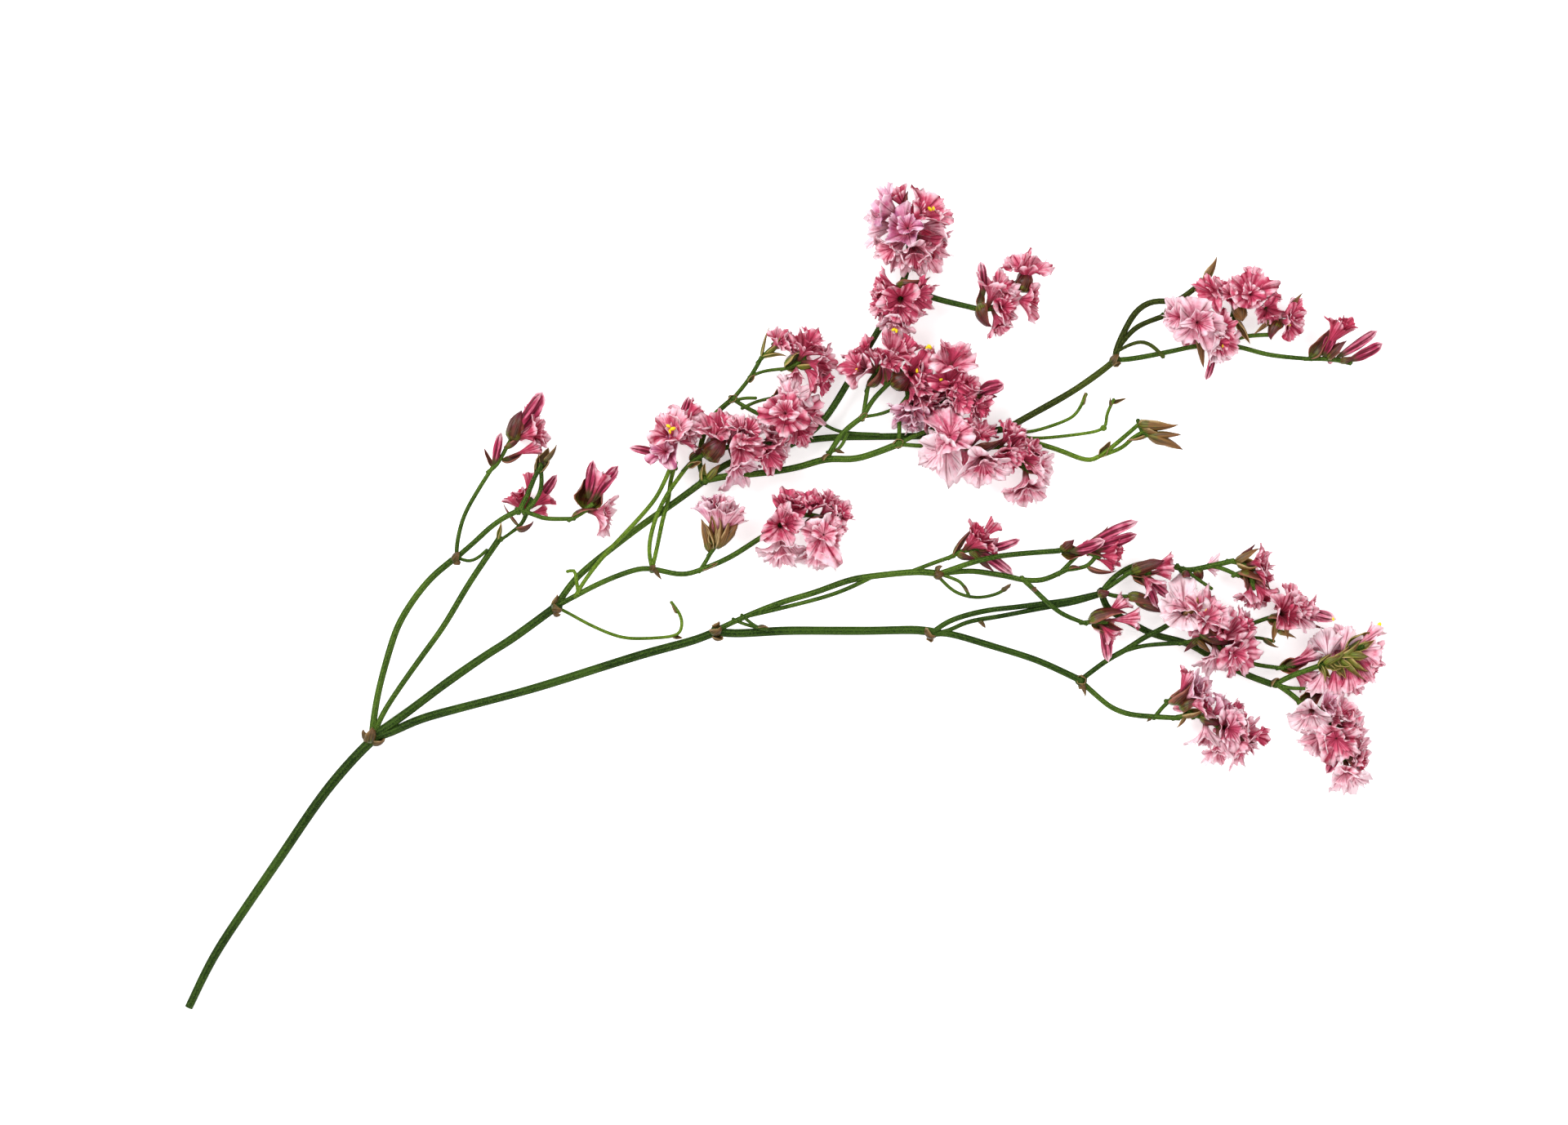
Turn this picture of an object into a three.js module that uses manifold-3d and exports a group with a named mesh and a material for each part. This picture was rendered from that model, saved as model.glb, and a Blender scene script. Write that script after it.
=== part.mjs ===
// A cut flowering stem of pink sea-lavender (statice), lying on a table: one green stem that forks
// into ever thinner branches, each ending in a one-sided spike of papery pink funnel flowers.
//
// X runs along the spray from the cut end, Y across it, and Z up from the table.
import * as THREE from 'three';
import { mergeVertices } from 'three/addons/utils/BufferGeometryUtils.js';
import Module from 'manifold-3d';

// Overall sizes of the spray, in millimetres. Every route below is drawn on a plan of PLAN_LENGTH by
// PLAN_WIDTH by PLAN_HEIGHT, and is stretched to these.
const SPRAY_LENGTH = 266;
const SPRAY_WIDTH = 183;
const SPRAY_HEIGHT = 15;
const PLAN_LENGTH = 266;
const PLAN_WIDTH = 183;
const PLAN_HEIGHT = 15;

// Thicknesses of the stems, from the cut end to the thinnest twig.
const CUT_END = 1.8;
const MAIN_STEM = 2.3;
const BOUGH = 1.9;
const BRANCH = 1.5;
const SIDE_BRANCH = 1.2;
const TWIG = 0.95;
const FINE_TWIG = 0.75;

// Swellings at the forks, where the brown scales sit.
const FORK_KNOT = 3.2;
const BRANCH_KNOT = 2.6;
const TWIG_KNOT = 1.8;

// Blooms: how much wider or narrower than drawn, and how deep the cup of a flower is, as shares.
const FLOWER_SPREAD = 1.0;
const BUD_PLUMPNESS = 1.0;
const CUP_DEPTH = 0.3;
const LOBE_NOTCH = 0.82;

// The gap that a piece keeps to the piece it grows from, or passes.
const GAP = 0.3;

// Fineness of the stems: sides of a section, and the longest step along a route.
const STEM_SIDES = 5;
const TWIG_SIDES = 4;
const STEM_STEP = 14;
const PETAL_LOBES = 5;
const FUNNEL_SIDES = 5;
const BUD_SIDES = 4;

const DARK_GREEN = 0x3f5a2a;
const LEAF_GREEN = 0x4f7030;
const YELLOW_GREEN = 0x6f8f3a;
const PETAL_PINK = 0xd9708f;
const PALE_PINK = 0xe6a3b6;
const DRY_BROWN = 0x8a6238;

const wasm = await Module();
wasm.setup();

// A point of the plan, at the spray's real size. A reach from it may follow, in true millimetres,
// which stays the same when the spray is longer or wider.
function place([x, y, z, reachX = 0, reachY = 0, reachZ = 0]) {
  return new THREE.Vector3(
    (x * SPRAY_LENGTH) / PLAN_LENGTH + reachX,
    (y * SPRAY_WIDTH) / PLAN_WIDTH + reachY,
    (z * SPRAY_HEIGHT) / PLAN_HEIGHT + reachZ,
  );
}

// A closed geometry as a solid, with its shared corners merged and its empty triangles left out.
function solid(geometry) {
  geometry.deleteAttribute('normal');
  geometry.deleteAttribute('uv');
  const merged = mergeVertices(geometry, 1e-4);
  const corners = merged.index.array;
  const triangles = [];
  for (let i = 0; i < corners.length; i += 3) {
    const [a, b, c] = [corners[i], corners[i + 1], corners[i + 2]];
    if (a !== b && b !== c && c !== a) triangles.push(a, b, c);
  }
  return new wasm.Manifold(new wasm.Mesh({
    numProp: 3,
    vertProperties: new Float32Array(merged.attributes.position.array),
    triVerts: new Uint32Array(triangles),
  }));
}

// A stem along a route, tapering from one thickness to another. A grown one is thicker and longer
// all round by the gap, and is what its neighbours are cut with.
function stem([startWidth, endWidth, route], grow) {
  const points = route.map(place);
  const last = points.length - 1;
  const back = points[0].clone().sub(points[1]).setLength(grow);
  const ahead = points[last].clone().sub(points[last - 1]).setLength(grow);
  points[0].add(back);
  points[last].add(ahead);
  const curve = new THREE.CatmullRomCurve3(points, false, 'centripetal');
  const steps = Math.max(points.length - 1, Math.ceil(curve.getLength() / STEM_STEP));
  const sides = startWidth > SIDE_BRANCH ? STEM_SIDES : TWIG_SIDES;
  const section = new THREE.Shape(new THREE.EllipseCurve(0, 0, 1, 1).getPoints(sides).slice(1));
  const geometry = new THREE.ExtrudeGeometry(section, { steps, extrudePath: curve });
  const centres = curve.getSpacedPoints(steps);
  const spots = geometry.attributes.position;
  const spot = new THREE.Vector3();
  for (let i = 0; i < spots.count; i += 1) {
    spot.fromBufferAttribute(spots, i);
    let ring = 0;
    for (let j = 1; j <= steps; j += 1) {
      if (spot.distanceTo(centres[j]) < spot.distanceTo(centres[ring])) ring = j;
    }
    const width = THREE.MathUtils.lerp(startWidth, endWidth, ring / steps);
    spot.sub(centres[ring]).setLength(width / 2 + grow).add(centres[ring]);
    spots.setXYZ(i, spot.x, spot.y, spot.z);
  }
  return solid(geometry);
}

// The swelling at a fork.
function knot([x, y, z, width], grow) {
  const ball = new THREE.OctahedronGeometry(width / 2 + grow);
  ball.translate(...place([x, y, z]).toArray());
  return solid(ball);
}

// Outlines of the blooms, from the base at 0 to the tip at 1, as [share of the radius, share of the
// length]. A flower is a funnel with a hollowed face, and a bud, bract or dry bud is a spindle.
const OUTLINES = {
  flower: [[0, 0], [1, 1], [0, 1 - CUP_DEPTH]],
  funnel: [[0, 0], [1, 1], [0, 1 - CUP_DEPTH]],
  bud: [[0, 0], [1, 0.36], [0, 1]],
  bract: [[0, 0], [1, 0.55], [0, 1]],
  dry: [[0, 0], [1, 0.36], [0, 1]],
};

// One bloom, from its base on the spike to the middle of its mouth, or to its tip.
function bloom([kind, base, tip, radius], grow) {
  const lobed = kind === 'flower';
  const open = lobed || kind === 'funnel';
  const wide = radius * (open ? FLOWER_SPREAD : BUD_PLUMPNESS) + grow;
  const from = place(base);
  const along = place(tip).sub(from);
  const length = along.length() + 2 * grow;
  const outline = OUTLINES[kind].map(([r, l]) => new THREE.Vector2(r * wide, l * length - grow));
  let sides = open ? FUNNEL_SIDES : BUD_SIDES;
  if (lobed) sides = 2 * PETAL_LOBES;
  const shape = new THREE.LatheGeometry(outline, sides);
  if (lobed) {
    const spots = shape.attributes.position;
    for (let i = 0; i < spots.count; i += 1) {
      const turn = Math.atan2(spots.getX(i), spots.getZ(i));
      const side = Math.round((turn * sides) / (2 * Math.PI));
      const share = side % 2 === 0 ? 1 : LOBE_NOTCH;
      spots.setX(i, spots.getX(i) * share);
      spots.setZ(i, spots.getZ(i) * share);
    }
  }
  const up = new THREE.Vector3(0, 1, 0);
  shape.applyQuaternion(new THREE.Quaternion().setFromUnitVectors(up, along.normalize()));
  shape.translate(from.x, from.y, from.z);
  return solid(shape);
}

// The biggest closed body in a solid, without the crumbs that a cut can leave.
function wholeBody(manifold) {
  const mesh = manifold.getMesh();
  const spots = mesh.vertProperties;
  const corners = mesh.triVerts;
  const owner = Array.from({ length: spots.length / 3 }, (_, i) => i);
  const find = (i) => {
    let top = i;
    while (owner[top] !== top) top = owner[top];
    owner[i] = top;
    return top;
  };
  for (let i = 0; i < corners.length; i += 3) {
    owner[find(corners[i + 1])] = find(corners[i]);
    owner[find(corners[i + 2])] = find(corners[i]);
  }
  const volumes = new Map();
  const point = (i) => new THREE.Vector3().fromArray(spots, 3 * i);
  for (let i = 0; i < corners.length; i += 3) {
    const [a, b, c] = [point(corners[i]), point(corners[i + 1]), point(corners[i + 2])];
    const body = find(corners[i]);
    volumes.set(body, (volumes.get(body) ?? 0) + a.dot(b.cross(c)) / 6);
  }
  const biggest = [...volumes].reduce((best, entry) => (entry[1] > best[1] ? entry : best))[0];
  const kept = [];
  for (let i = 0; i < corners.length; i += 3) {
    if (find(corners[i]) === biggest) kept.push(corners[i], corners[i + 1], corners[i + 2]);
  }
  const geometry = new THREE.BufferGeometry();
  geometry.setAttribute('position', new THREE.BufferAttribute(new Float32Array(spots), 3));
  geometry.setIndex(kept);
  const whole = geometry.toNonIndexed();
  whole.computeVertexNormals();
  whole.computeBoundingBox();
  return whole;
}

const spray = new THREE.Group();
const grownPieces = [];

// Adds one piece of the plant: its stems, swellings and blooms joined into one body, and cut clear
// of every piece that is there already.
function grow(name, color, { stems = [], knots = [], blooms = [] }) {
  const build = (gap) => [
    ...stems.map((item) => stem(item, gap)),
    ...knots.map((item) => knot(item, gap)),
    ...blooms.map((item) => bloom(item, gap)),
  ].reduce((joined, part) => joined.add(part));
  const grown = build(GAP);
  let body = build(0);
  for (const other of grownPieces) body = body.subtract(other);
  grownPieces.push(grown);
  const material = new THREE.MeshStandardMaterial({ color, roughness: 0.75, metalness: 0 });
  const piece = new THREE.Mesh(wholeBody(body), material);
  piece.name = name;
  spray.add(piece);
}

// --- The main stem and the left-hand branches -------------------------------------------------

grow('main_stem', DARK_GREEN, {
  stems: [[CUT_END, MAIN_STEM, [
    [-131.9, -91.1, 0.9], [-126.5, -80.1, 1.1], [-119.6, -69.5, 1.5], [-111.4, -57.6, 2.1],
    [-102.6, -44.7, 2.8], [-95.6, -36.3, 3.5], [-90.7, -31.4, 4],
  ]]],
  knots: [[-90.9, -30.8, 4, FORK_KNOT]],
});

grow('left_branch', LEAF_GREEN, {
  stems: [[BRANCH, BRANCH, [
    [-90.9, -31, 4], [-90.6, -27.6, 4.2], [-89.3, -20.2, 4.8], [-86.4, -10, 5.5], [-84.3, -4.9, 5.8],
    [-80.9, 0.4, 6], [-77.2, 4.7, 6.2], [-73.6, 7.7, 6.3],
  ]]],
});

grow('left_branch_twigs', LEAF_GREEN, {
  stems: [
    [SIDE_BRANCH, SIDE_BRANCH, [
      [-72, 8.8, 6.3], [-67.8, 12.4, 7.2], [-64.6, 15.3, 8.2], [-61.3, 17.6, 8.8], [-58, 19.2, 8.8],
    ]],
    [TWIG, TWIG, [
      [-72, 8.8, 6.3], [-71.9, 12, 6.4], [-70.3, 18.2, 6.6], [-66.6, 24.7, 6.8], [-64.6, 27.8, 6.9],
    ]],
    [SIDE_BRANCH, TWIG, [[-58, 19.2, 8.8], [-56.2, 22.7, 8.9], [-54.8, 26.2, 8.6], [-53.6, 28.4, 8.4]]],
    [TWIG, TWIG, [[-56.6, 19, 8.6], [-54.2, 21.8, 8.2], [-53.2, 25, 8], [-53.4, 28.6, 8.3]]],
    [TWIG, TWIG, [[-58, 19.2, 8.8], [-54.8, 18.2, 8.6], [-52, 17.3, 8.3], [-46.7, 17.3, 8]]],
    [FINE_TWIG, FINE_TWIG, [[-72, 8.8, 6.3], [-69.6, 8, 6.2], [-67.4, 8.7, 6.1], [-66, 9.9, 6]]],
  ],
  knots: [[-72, 8.8, 6.3, BRANCH_KNOT]],
  blooms: [
    ['bud', [-53.9, 27.6, 8.3], [-51.8, 32.6, 8.9], 1.6],
    ['bud', [-54.3, 27, 8.5], [-54, 31.4, 8.2], 0.8],
    ['bract', [-52.6, 29.8, 8.4], [-49.6, 33, 8], 0.8],
  ],
});

grow('slender_branch', YELLOW_GREEN, {
  stems: [
    [TWIG, SIDE_BRANCH, [
      [-90.7, -31, 4], [-88.7, -26.2, 4.6], [-84.9, -20.2, 4.8], [-79.7, -12.9, 5], [-74.8, -6.1, 5.1],
      [-69.9, 2.2, 5.1], [-65.4, 9, 5.1], [-63.2, 12.2, 5],
    ]],
    [FINE_TWIG, FINE_TWIG, [[-63.2, 12.2, 5], [-61.6, 13.2, 4.9], [-60.2, 14.2, 4.8]]],
  ],
  knots: [[-62.5, 12.8, 5, TWIG_KNOT]],
  blooms: [
    ['bud', [-63, 12.6, 5.2], [-62.6, 16.4, 5.6], 0.75],
  ],
});

// --- The middle branch, its twigs and the trailing twig ---------------------------------------

grow('middle_branch', DARK_GREEN, {
  stems: [[BOUGH, BOUGH, [
    [-90.5, -30.6, 4], [-83.7, -25.9, 4.6], [-74, -18.6, 5.1], [-65, -12.4, 5.5], [-59.9, -9.2, 5.7],
    [-50.6, -2.4, 6],
  ]]],
  knots: [[-50, -2, 6, FORK_KNOT]],
});

grow('middle_low_branch', LEAF_GREEN, {
  stems: [
    [SIDE_BRANCH, SIDE_BRANCH, [
      [-50, -2, 6.2], [-46.4, 0, 6.4], [-40, 3.3, 6.4], [-33.2, 5.9, 6.3], [-29, 6.3, 6.3],
      [-22.5, 5, 6.4], [-17.6, 6.3, 6.6], [-11.8, 8.8, 6.8], [-6.4, 12.2, 7], [-2.8, 14.5, 7],
    ]],
    [TWIG, TWIG, [[-18.2, 6.2, 6.6], [-17, 8, 6.8], [-16, 9.8, 7]]],
  ],
  knots: [[-28.8, 6.4, 6.3, TWIG_KNOT]],
  blooms: [
    ['bract', [-28.8, 6.8, 6.6], [-27, 4, 7], 0.6],
    ['bract', [-18.4, 6, 6.6], [-14.4, 7.2, 7.4], 0.6],
  ],
});

grow('middle_high_branch', LEAF_GREEN, {
  stems: [[BRANCH, BRANCH, [
    [-50, -1.8, 6], [-46.8, 2.9, 5.6], [-42.9, 6.8, 5.2], [-35.7, 12.5, 4.9], [-30, 16.8, 4.8],
    [-24.3, 20.7, 5], [-17.6, 25.6, 5.7],
  ]]],
  knots: [[-17.4, 25.8, 5.8, BRANCH_KNOT]],
  blooms: [
    ['bract', [-17.8, 25.6, 6.2], [-17.6, 29.4, 7], 1],
    ['bract', [-16.8, 26, 6.2], [-13.8, 29, 7], 1],
  ],
});

grow('riser_twigs', YELLOW_GREEN, {
  stems: [
    [TWIG, TWIG, [
      [-28.9, 6.4, 6.3], [-29.6, 10.7, 6.8], [-28.2, 17.2, 7.3], [-25.4, 22.9, 8.2], [-21.9, 27.8, 7.8],
    ]],
    [TWIG, TWIG, [
      [-28.9, 6.4, 6.3], [-27.7, 11.5, 6.8], [-26.6, 17, 7], [-25.3, 21.6, 6.6], [-24.9, 25.4, 6.4],
      [-23.9, 29, 6.6],
    ]],
  ],
});

grow('front_twigs', YELLOW_GREEN, {
  stems: [
    [TWIG, TWIG, [
      [-45.6, 0.6, 6.6], [-43.6, 3.9, 7.2], [-39.3, 9.4, 7.4], [-33.6, 15.4, 7.3], [-28.6, 21.1, 7.8],
      [-26.3, 25.2, 8.2], [-25, 28.2, 7.8],
    ]],
    [TWIG, FINE_TWIG, [
      [-45.2, 1.4, 6.8], [-45.5, 4.1, 7.7], [-46, 5.9, 8], [-47.4, 5.4, 8],
    ]],
  ],
});

grow('trailing_twig', YELLOW_GREEN, {
  stems: [
    [FINE_TWIG, FINE_TWIG, [
      [-49.6, -2.4, 6], [-47.6, -3.4, 5.6], [-42.1, -6.4, 4.8], [-35.7, -8.9, 4], [-29.6, -9.1, 3.4],
      [-23.9, -8.5, 3], [-22.5, -6.6, 3], [-22.8, -4, 3.2], [-24.3, -1.8, 3.6],
    ]],
  ],
  blooms: [
    ['bract', [-23.6, -3.6, 3.2], [-25.1, -1.1, 3.8], 0.6],
    ['bract', [-24.6, -8.6, 3], [-22.4, -9, 3], 0.6],
  ],
});

// --- The upper branches, from the leafy fork --------------------------------------------------

grow('centre_low_branch', LEAF_GREEN, {
  stems: [
    [BRANCH, BRANCH, [
      [-17.4, 25.8, 5.8], [-12, 26.8, 6], [-5.6, 27.3, 6], [2.9, 28.6, 6], [9.4, 30.5, 6],
      [15.5, 30.5, 6.2], [20.5, 31.9, 6.4], [25.4, 33.8, 6.6],
    ]],
    [TWIG, TWIG, [[25.4, 33.8, 6.6], [25.6, 37, 7], [25.4, 41.4, 7]]],
    [TWIG, TWIG, [[25.4, 33.8, 6.6], [29.6, 35.9, 6.6], [32.6, 36.9, 6.5]]],
    [TWIG, TWIG, [[25.4, 33.8, 6.6], [29.9, 33.4, 6.5], [32.9, 33.5, 6.4]]],
  ],
  knots: [[9.6, 30.6, 6, TWIG_KNOT], [25.4, 33.8, 6.6, BRANCH_KNOT]],
});

grow('centre_high_branch', DARK_GREEN, {
  stems: [[BRANCH, BRANCH, [
    [-17.4, 25.8, 5.8], [-12.6, 29.4, 4.4], [-5, 32.2, 3.6], [2.5, 34.2, 3.4], [10, 35.3, 3.4],
    [20, 35.5, 3.6], [33.7, 35.7, 3.8], [42, 36, 4], [49.6, 37.4, 4.4],
  ]]],
  knots: [[49.8, 37.5, 4.4, TWIG_KNOT]],
});

grow('centre_fork_twigs', LEAF_GREEN, {
  stems: [
    [SIDE_BRANCH, SIDE_BRANCH, [[9.8, 31, 6.2], [12.3, 35.2, 6.6], [15.1, 38, 6.8], [17.6, 39.8, 7]]],
    [TWIG, TWIG, [[17.6, 39.8, 7], [18.1, 43, 7], [18.6, 46, 7]]],
    [SIDE_BRANCH, TWIG, [[17.6, 39.8, 7], [19.9, 43.7, 7.2], [23.2, 47, 7.4]]],
    [FINE_TWIG, FINE_TWIG, [[17.6, 39.8, 7], [21.4, 40.4, 6.8], [24.4, 41.6, 6.8]]],
    [FINE_TWIG, FINE_TWIG, [[10.4, 32.2, 6.3], [12.4, 32.8, 6.8], [13.8, 35.4, 7.6]]],
  ],
  knots: [[17.6, 39.9, 7, TWIG_KNOT]],
  blooms: [['bract', [11.2, 32.6, 6.5], [13.4, 31.8, 7.4], 0.5]],
});

grow('top_branch', DARK_GREEN, {
  stems: [
    [BRANCH, BRANCH, [
      [2.2, 34.1, 3.4], [5.4, 35.9, 4.4], [8.8, 39, 5], [12.2, 43.9, 5], [18.8, 55.2, 4.8],
      [21.9, 60.6, 4.8], [24.4, 66, 5.2], [27, 71, 5.6], [28, 79, 6.4],
    ]],
    [BRANCH, SIDE_BRANCH, [[24.6, 66.4, 5.2], [29, 67.6, 5], [33.7, 65.9, 5.6], [42.2, 63.8, 6.6]]],
    [FINE_TWIG, FINE_TWIG, [[8.4, 38.6, 5], [11.3, 37, 5.1], [14.6, 36.3, 5.2], [20.4, 36, 5.2]]],
  ],
});

grow('upper_left_twigs', LEAF_GREEN, {
  stems: [
    [SIDE_BRANCH, SIDE_BRANCH, [
      [-17.4, 25.8, 5.8], [-18.6, 30, 4], [-17.6, 36, 3.8], [-15.1, 40.4, 4.6], [-11.1, 43.8, 5.8],
    ]],
    [TWIG, TWIG, [[-11.1, 43.8, 5.8], [-8.1, 47.4, 6], [-6, 50.7, 6.2], [-5.2, 52.2, 6.3]]],
    [FINE_TWIG, FINE_TWIG, [[-6.9, 48.8, 6], [-4.2, 49.9, 6.1], [0.2, 50.4, 6.2]]],
    [TWIG, TWIG, [[-11.1, 43.8, 5.8], [-7.5, 41.5, 5.8], [-2, 38.9, 6]]],
    [FINE_TWIG, FINE_TWIG, [[-8.4, 42, 5.8], [-5.5, 43.3, 6], [-1.6, 44.1, 6]]],
    [FINE_TWIG, FINE_TWIG, [[-10.6, 43.4, 5.9], [-8.7, 43.9, 6.6], [-6.8, 43.9, 7]]],
  ],
  knots: [[-11.1, 43.6, 5.8, TWIG_KNOT]],
});

// --- The right-hand branch --------------------------------------------------------------------

grow('right_branch', DARK_GREEN, {
  stems: [[BRANCH, BRANCH, [
    [49.8, 37.5, 4.4], [54, 39.9, 4.6], [63.3, 45.1, 5.2], [70.1, 49.8, 5.7], [73, 52.2, 6],
  ]]],
  knots: [[73.3, 52.6, 6, BRANCH_KNOT]],
});

grow('right_arc_twigs', DARK_GREEN, {
  stems: [
    [BRANCH, SIDE_BRANCH, [
      [73.3, 52.6, 6], [73.8, 55.5, 6.2], [76.6, 61.3, 6.6], [79.1, 64.1, 6.8], [82.2, 65.3, 6.9],
      [86.4, 65.3, 6.8], [89.3, 67, 6.6], [92.6, 69.7, 6.5],
    ]],
    [SIDE_BRANCH, SIDE_BRANCH, [[73.8, 55, 6.2], [76.6, 58.4, 6.2], [79.5, 60.4, 6.2], [84.4, 62.2, 6]]],
    [FINE_TWIG, TWIG, [
      [74, 54.4, 6.2], [75.8, 55.4, 7.2], [78.8, 56.3, 7.4], [81.4, 55.3, 7.6], [83.2, 53.5, 7.6],
    ]],
  ],
});

grow('right_low_twig', LEAF_GREEN, {
  stems: [
    [SIDE_BRANCH, TWIG, [
      [73.3, 52.4, 5.9], [77.4, 52.7, 5.7], [85.6, 54.3, 5], [92, 55.6, 4.2], [99.9, 55.5, 4.6],
      [107.2, 53.5, 5.6], [115.8, 52.6, 6.2],
    ]],
    [TWIG, TWIG, [[94.6, 55.8, 4.3], [99.5, 56.9, 5], [102.6, 57.7, 5.6], [106.8, 57.9, 6.2]]],
  ],
});

grow('right_thin_twigs', YELLOW_GREEN, {
  stems: [
    [FINE_TWIG, FINE_TWIG, [
      [50, 37.4, 4.4], [53.8, 36.4, 4.3], [61.6, 38.7, 4.6], [64.9, 40.8, 4.8], [66.6, 44.2, 5],
    ]],
    [FINE_TWIG, FINE_TWIG, [
      [49.9, 37.2, 4.3], [54, 35.1, 4], [65.2, 36, 4.2], [70.8, 37.3, 4.4], [71.5, 40.4, 4.6],
      [72.7, 43, 4.8],
    ]],
    [SIDE_BRANCH, TWIG, [
      [49.8, 37.2, 4.3], [54.4, 34.7, 3.4], [61, 32.6, 3.2], [66.8, 30.4, 3.4], [70, 31.2, 3.8],
      [74.6, 34.8, 4.6], [78.7, 38.4, 5.2],
    ]],
    [TWIG, TWIG, [[70, 31.2, 3.8], [74.6, 32.9, 4.2], [77.2, 35.2, 4.8], [79.3, 36.4, 5.2]]],
  ],
  knots: [[70.8, 37.4, 4.4, TWIG_KNOT]],
  blooms: [
    ['bract', [66.1, 42.4, 4.9], [66.9, 45.2, 5.4], 0.6],
    ['bract', [72.4, 42, 4.7], [72.6, 44, 5.2], 0.5],
    ['bract', [72.6, 42.8, 4.8], [75.6, 44, 5], 0.5],
    ['dry', [70, 31, 4.2], [72.1, 34.2, 5.4], 1],
  ],
});

// --- The lower branch and everything that grows from it ---------------------------------------

grow('lower_branch', DARK_GREEN, {
  stems: [[BOUGH, BOUGH, [
    [-90.4, -31, 4], [-86.6, -29.8, 3.9], [-80.1, -26.9, 3.9], [-69.9, -24.1, 4], [-55.2, -20.2, 4.3],
    [-40, -15.4, 4.7], [-30, -12.3, 5], [-20, -9.6, 5.3], [-15.4, -7.8, 5.5],
  ]]],
  knots: [[-14.7, -7.4, 5.5, FORK_KNOT]],
});

grow('lower_high_branch', LEAF_GREEN, {
  stems: [
    [SIDE_BRANCH, BRANCH, [
      [-14.7, -7.2, 5.6], [-7.1, -3.7, 6.1], [0, -1, 6.5], [7.1, 1.1, 6.9], [14.3, 3.7, 7.2],
      [20, 4.7, 7.2], [29, 5.6, 7], [32.4, 5.4, 7],
    ]],
    [TWIG, TWIG, [[28, 5.6, 7.1], [32.7, 7.4, 6.8], [37, 8.9, 6.6]]],
    [TWIG, TWIG, [
      [-6.4, -3.8, 6.1], [0, -2.3, 6.1], [8.9, 0, 6.4], [14.4, 2, 6.8], [19, 4.2, 7.2],
    ]],
    [FINE_TWIG, FINE_TWIG, [[-10.4, -5.1, 5.8], [-8.4, -6, 5.8], [-4.2, -7, 6.8]]],
    [FINE_TWIG, FINE_TWIG, [[-8.6, -4.4, 6], [-7, -5.8, 6.2], [-5.6, -6.6, 6.5]]],
  ],
  blooms: [['bract', [-5.6, -6.6, 6.6], [-3.3, -6.5, 7.2], 0.6]],
});

grow('lower_high_twigs', LEAF_GREEN, {
  stems: [
    [SIDE_BRANCH, SIDE_BRANCH, [
      [34.4, 5.2, 7.2], [40.7, 7.4, 8.2], [45.5, 8.7, 8.7], [51, 9.5, 8.7], [60, 10.2, 8.2],
    ]],
    [SIDE_BRANCH, SIDE_BRANCH, [
      [34.4, 5.2, 7.2], [40.7, 5.8, 6], [45.5, 5.3, 5.8], [49.6, 4.6, 6], [53.1, 3.8, 6.2],
      [57, 3.8, 6.3], [60, 4.9, 6.4], [62.2, 6, 6.5],
    ]],
    [TWIG, TWIG, [[61.2, 5.5, 6.4], [63, 7.4, 6.8], [64.6, 9, 7.2]]],
    [SIDE_BRANCH, TWIG, [
      [53.1, 3.8, 6.2], [55.4, 1.6, 6.8], [58.3, -1.2, 7.8], [61.7, -3.8, 7.8], [66.2, -5.6, 7.4],
    ]],
    [FINE_TWIG, FINE_TWIG, [[35.4, 4.8, 7.4], [37.5, 4.1, 7.6], [39.4, 3, 7.4], [40.5, 1.2, 7]]],
    [FINE_TWIG, FINE_TWIG, [
      [34.4, 4.4, 7], [37.3, 1.6, 6], [40.7, 0.2, 5.2], [44.1, 0, 4.8], [47.6, 0.9, 4.8],
      [49.2, 2, 5],
    ]],
  ],
  knots: [[34.1, 5, 7, BRANCH_KNOT]],
  blooms: [
    ['bract', [48.2, 1.2, 4.9], [50.2, 2.9, 5.6], 0.6],
    ['bract', [55, 2, 6.8], [56, 1.4, 8], 0.6],
    ['bract', [39.6, 2.8, 7.4], [40.7, 0.8, 7], 0.45],
  ],
});

grow('lower_low_branch', DARK_GREEN, {
  stems: [[BOUGH, BOUGH, [
    [-14.7, -7.6, 5.5], [-10, -8, 4.9], [0, -7.4, 4.6], [10, -7.4, 4.5], [20, -7.4, 4.5],
    [29, -7.2, 4.6], [32.2, -7.6, 4.8],
  ]]],
  knots: [[32.8, -8, 4.8, FORK_KNOT]],
});

// The fork where the pair of stems meet again, which they stop short of by its knot.
const PAIR_FORK = [70.3, 1.1, 6];
const PAIR_STOP = -BRANCH_KNOT / 2;

grow('lower_middle_branch', DARK_GREEN, {
  stems: [
    [SIDE_BRANCH, SIDE_BRANCH, [
      [33, -7.8, 5], [37, -5.1, 5.4], [44.5, -3, 5.6], [51.4, -2.2, 5.4], [58.2, -1.3, 5.2],
      [63.4, -0.6, 5.4], [...PAIR_FORK, PAIR_STOP - 0.2, -0.5, -0.1],
    ]],
    [TWIG, SIDE_BRANCH, [
      [33.2, -8, 4.8], [36.4, -7.4, 4.6], [41, -5.4, 4.7], [48, -4.2, 4.8], [58.2, -2.2, 4.7],
      [64, -1.2, 5.2], [...PAIR_FORK, PAIR_STOP - 0.4, -0.9, -0.3],
    ]],
  ],
  blooms: [['bract', [43.4, -5, 4.8], [44.4, -6.8, 4.8], 0.6]],
});

grow('lower_far_branch', DARK_GREEN, {
  stems: [[BRANCH, BRANCH, [
    [33, -8.2, 4.8], [36.6, -8, 4.2], [46.2, -10.8, 4], [53.1, -12.9, 4], [58.2, -14.8, 4.2],
    [65, -18, 4.7],
  ]]],
  knots: [[65.8, -18.4, 4.8, FORK_KNOT]],
  blooms: [['bract', [65.9, -18.6, 5], [66.3, -21.8, 5.4], 0.8]],
});

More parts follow.
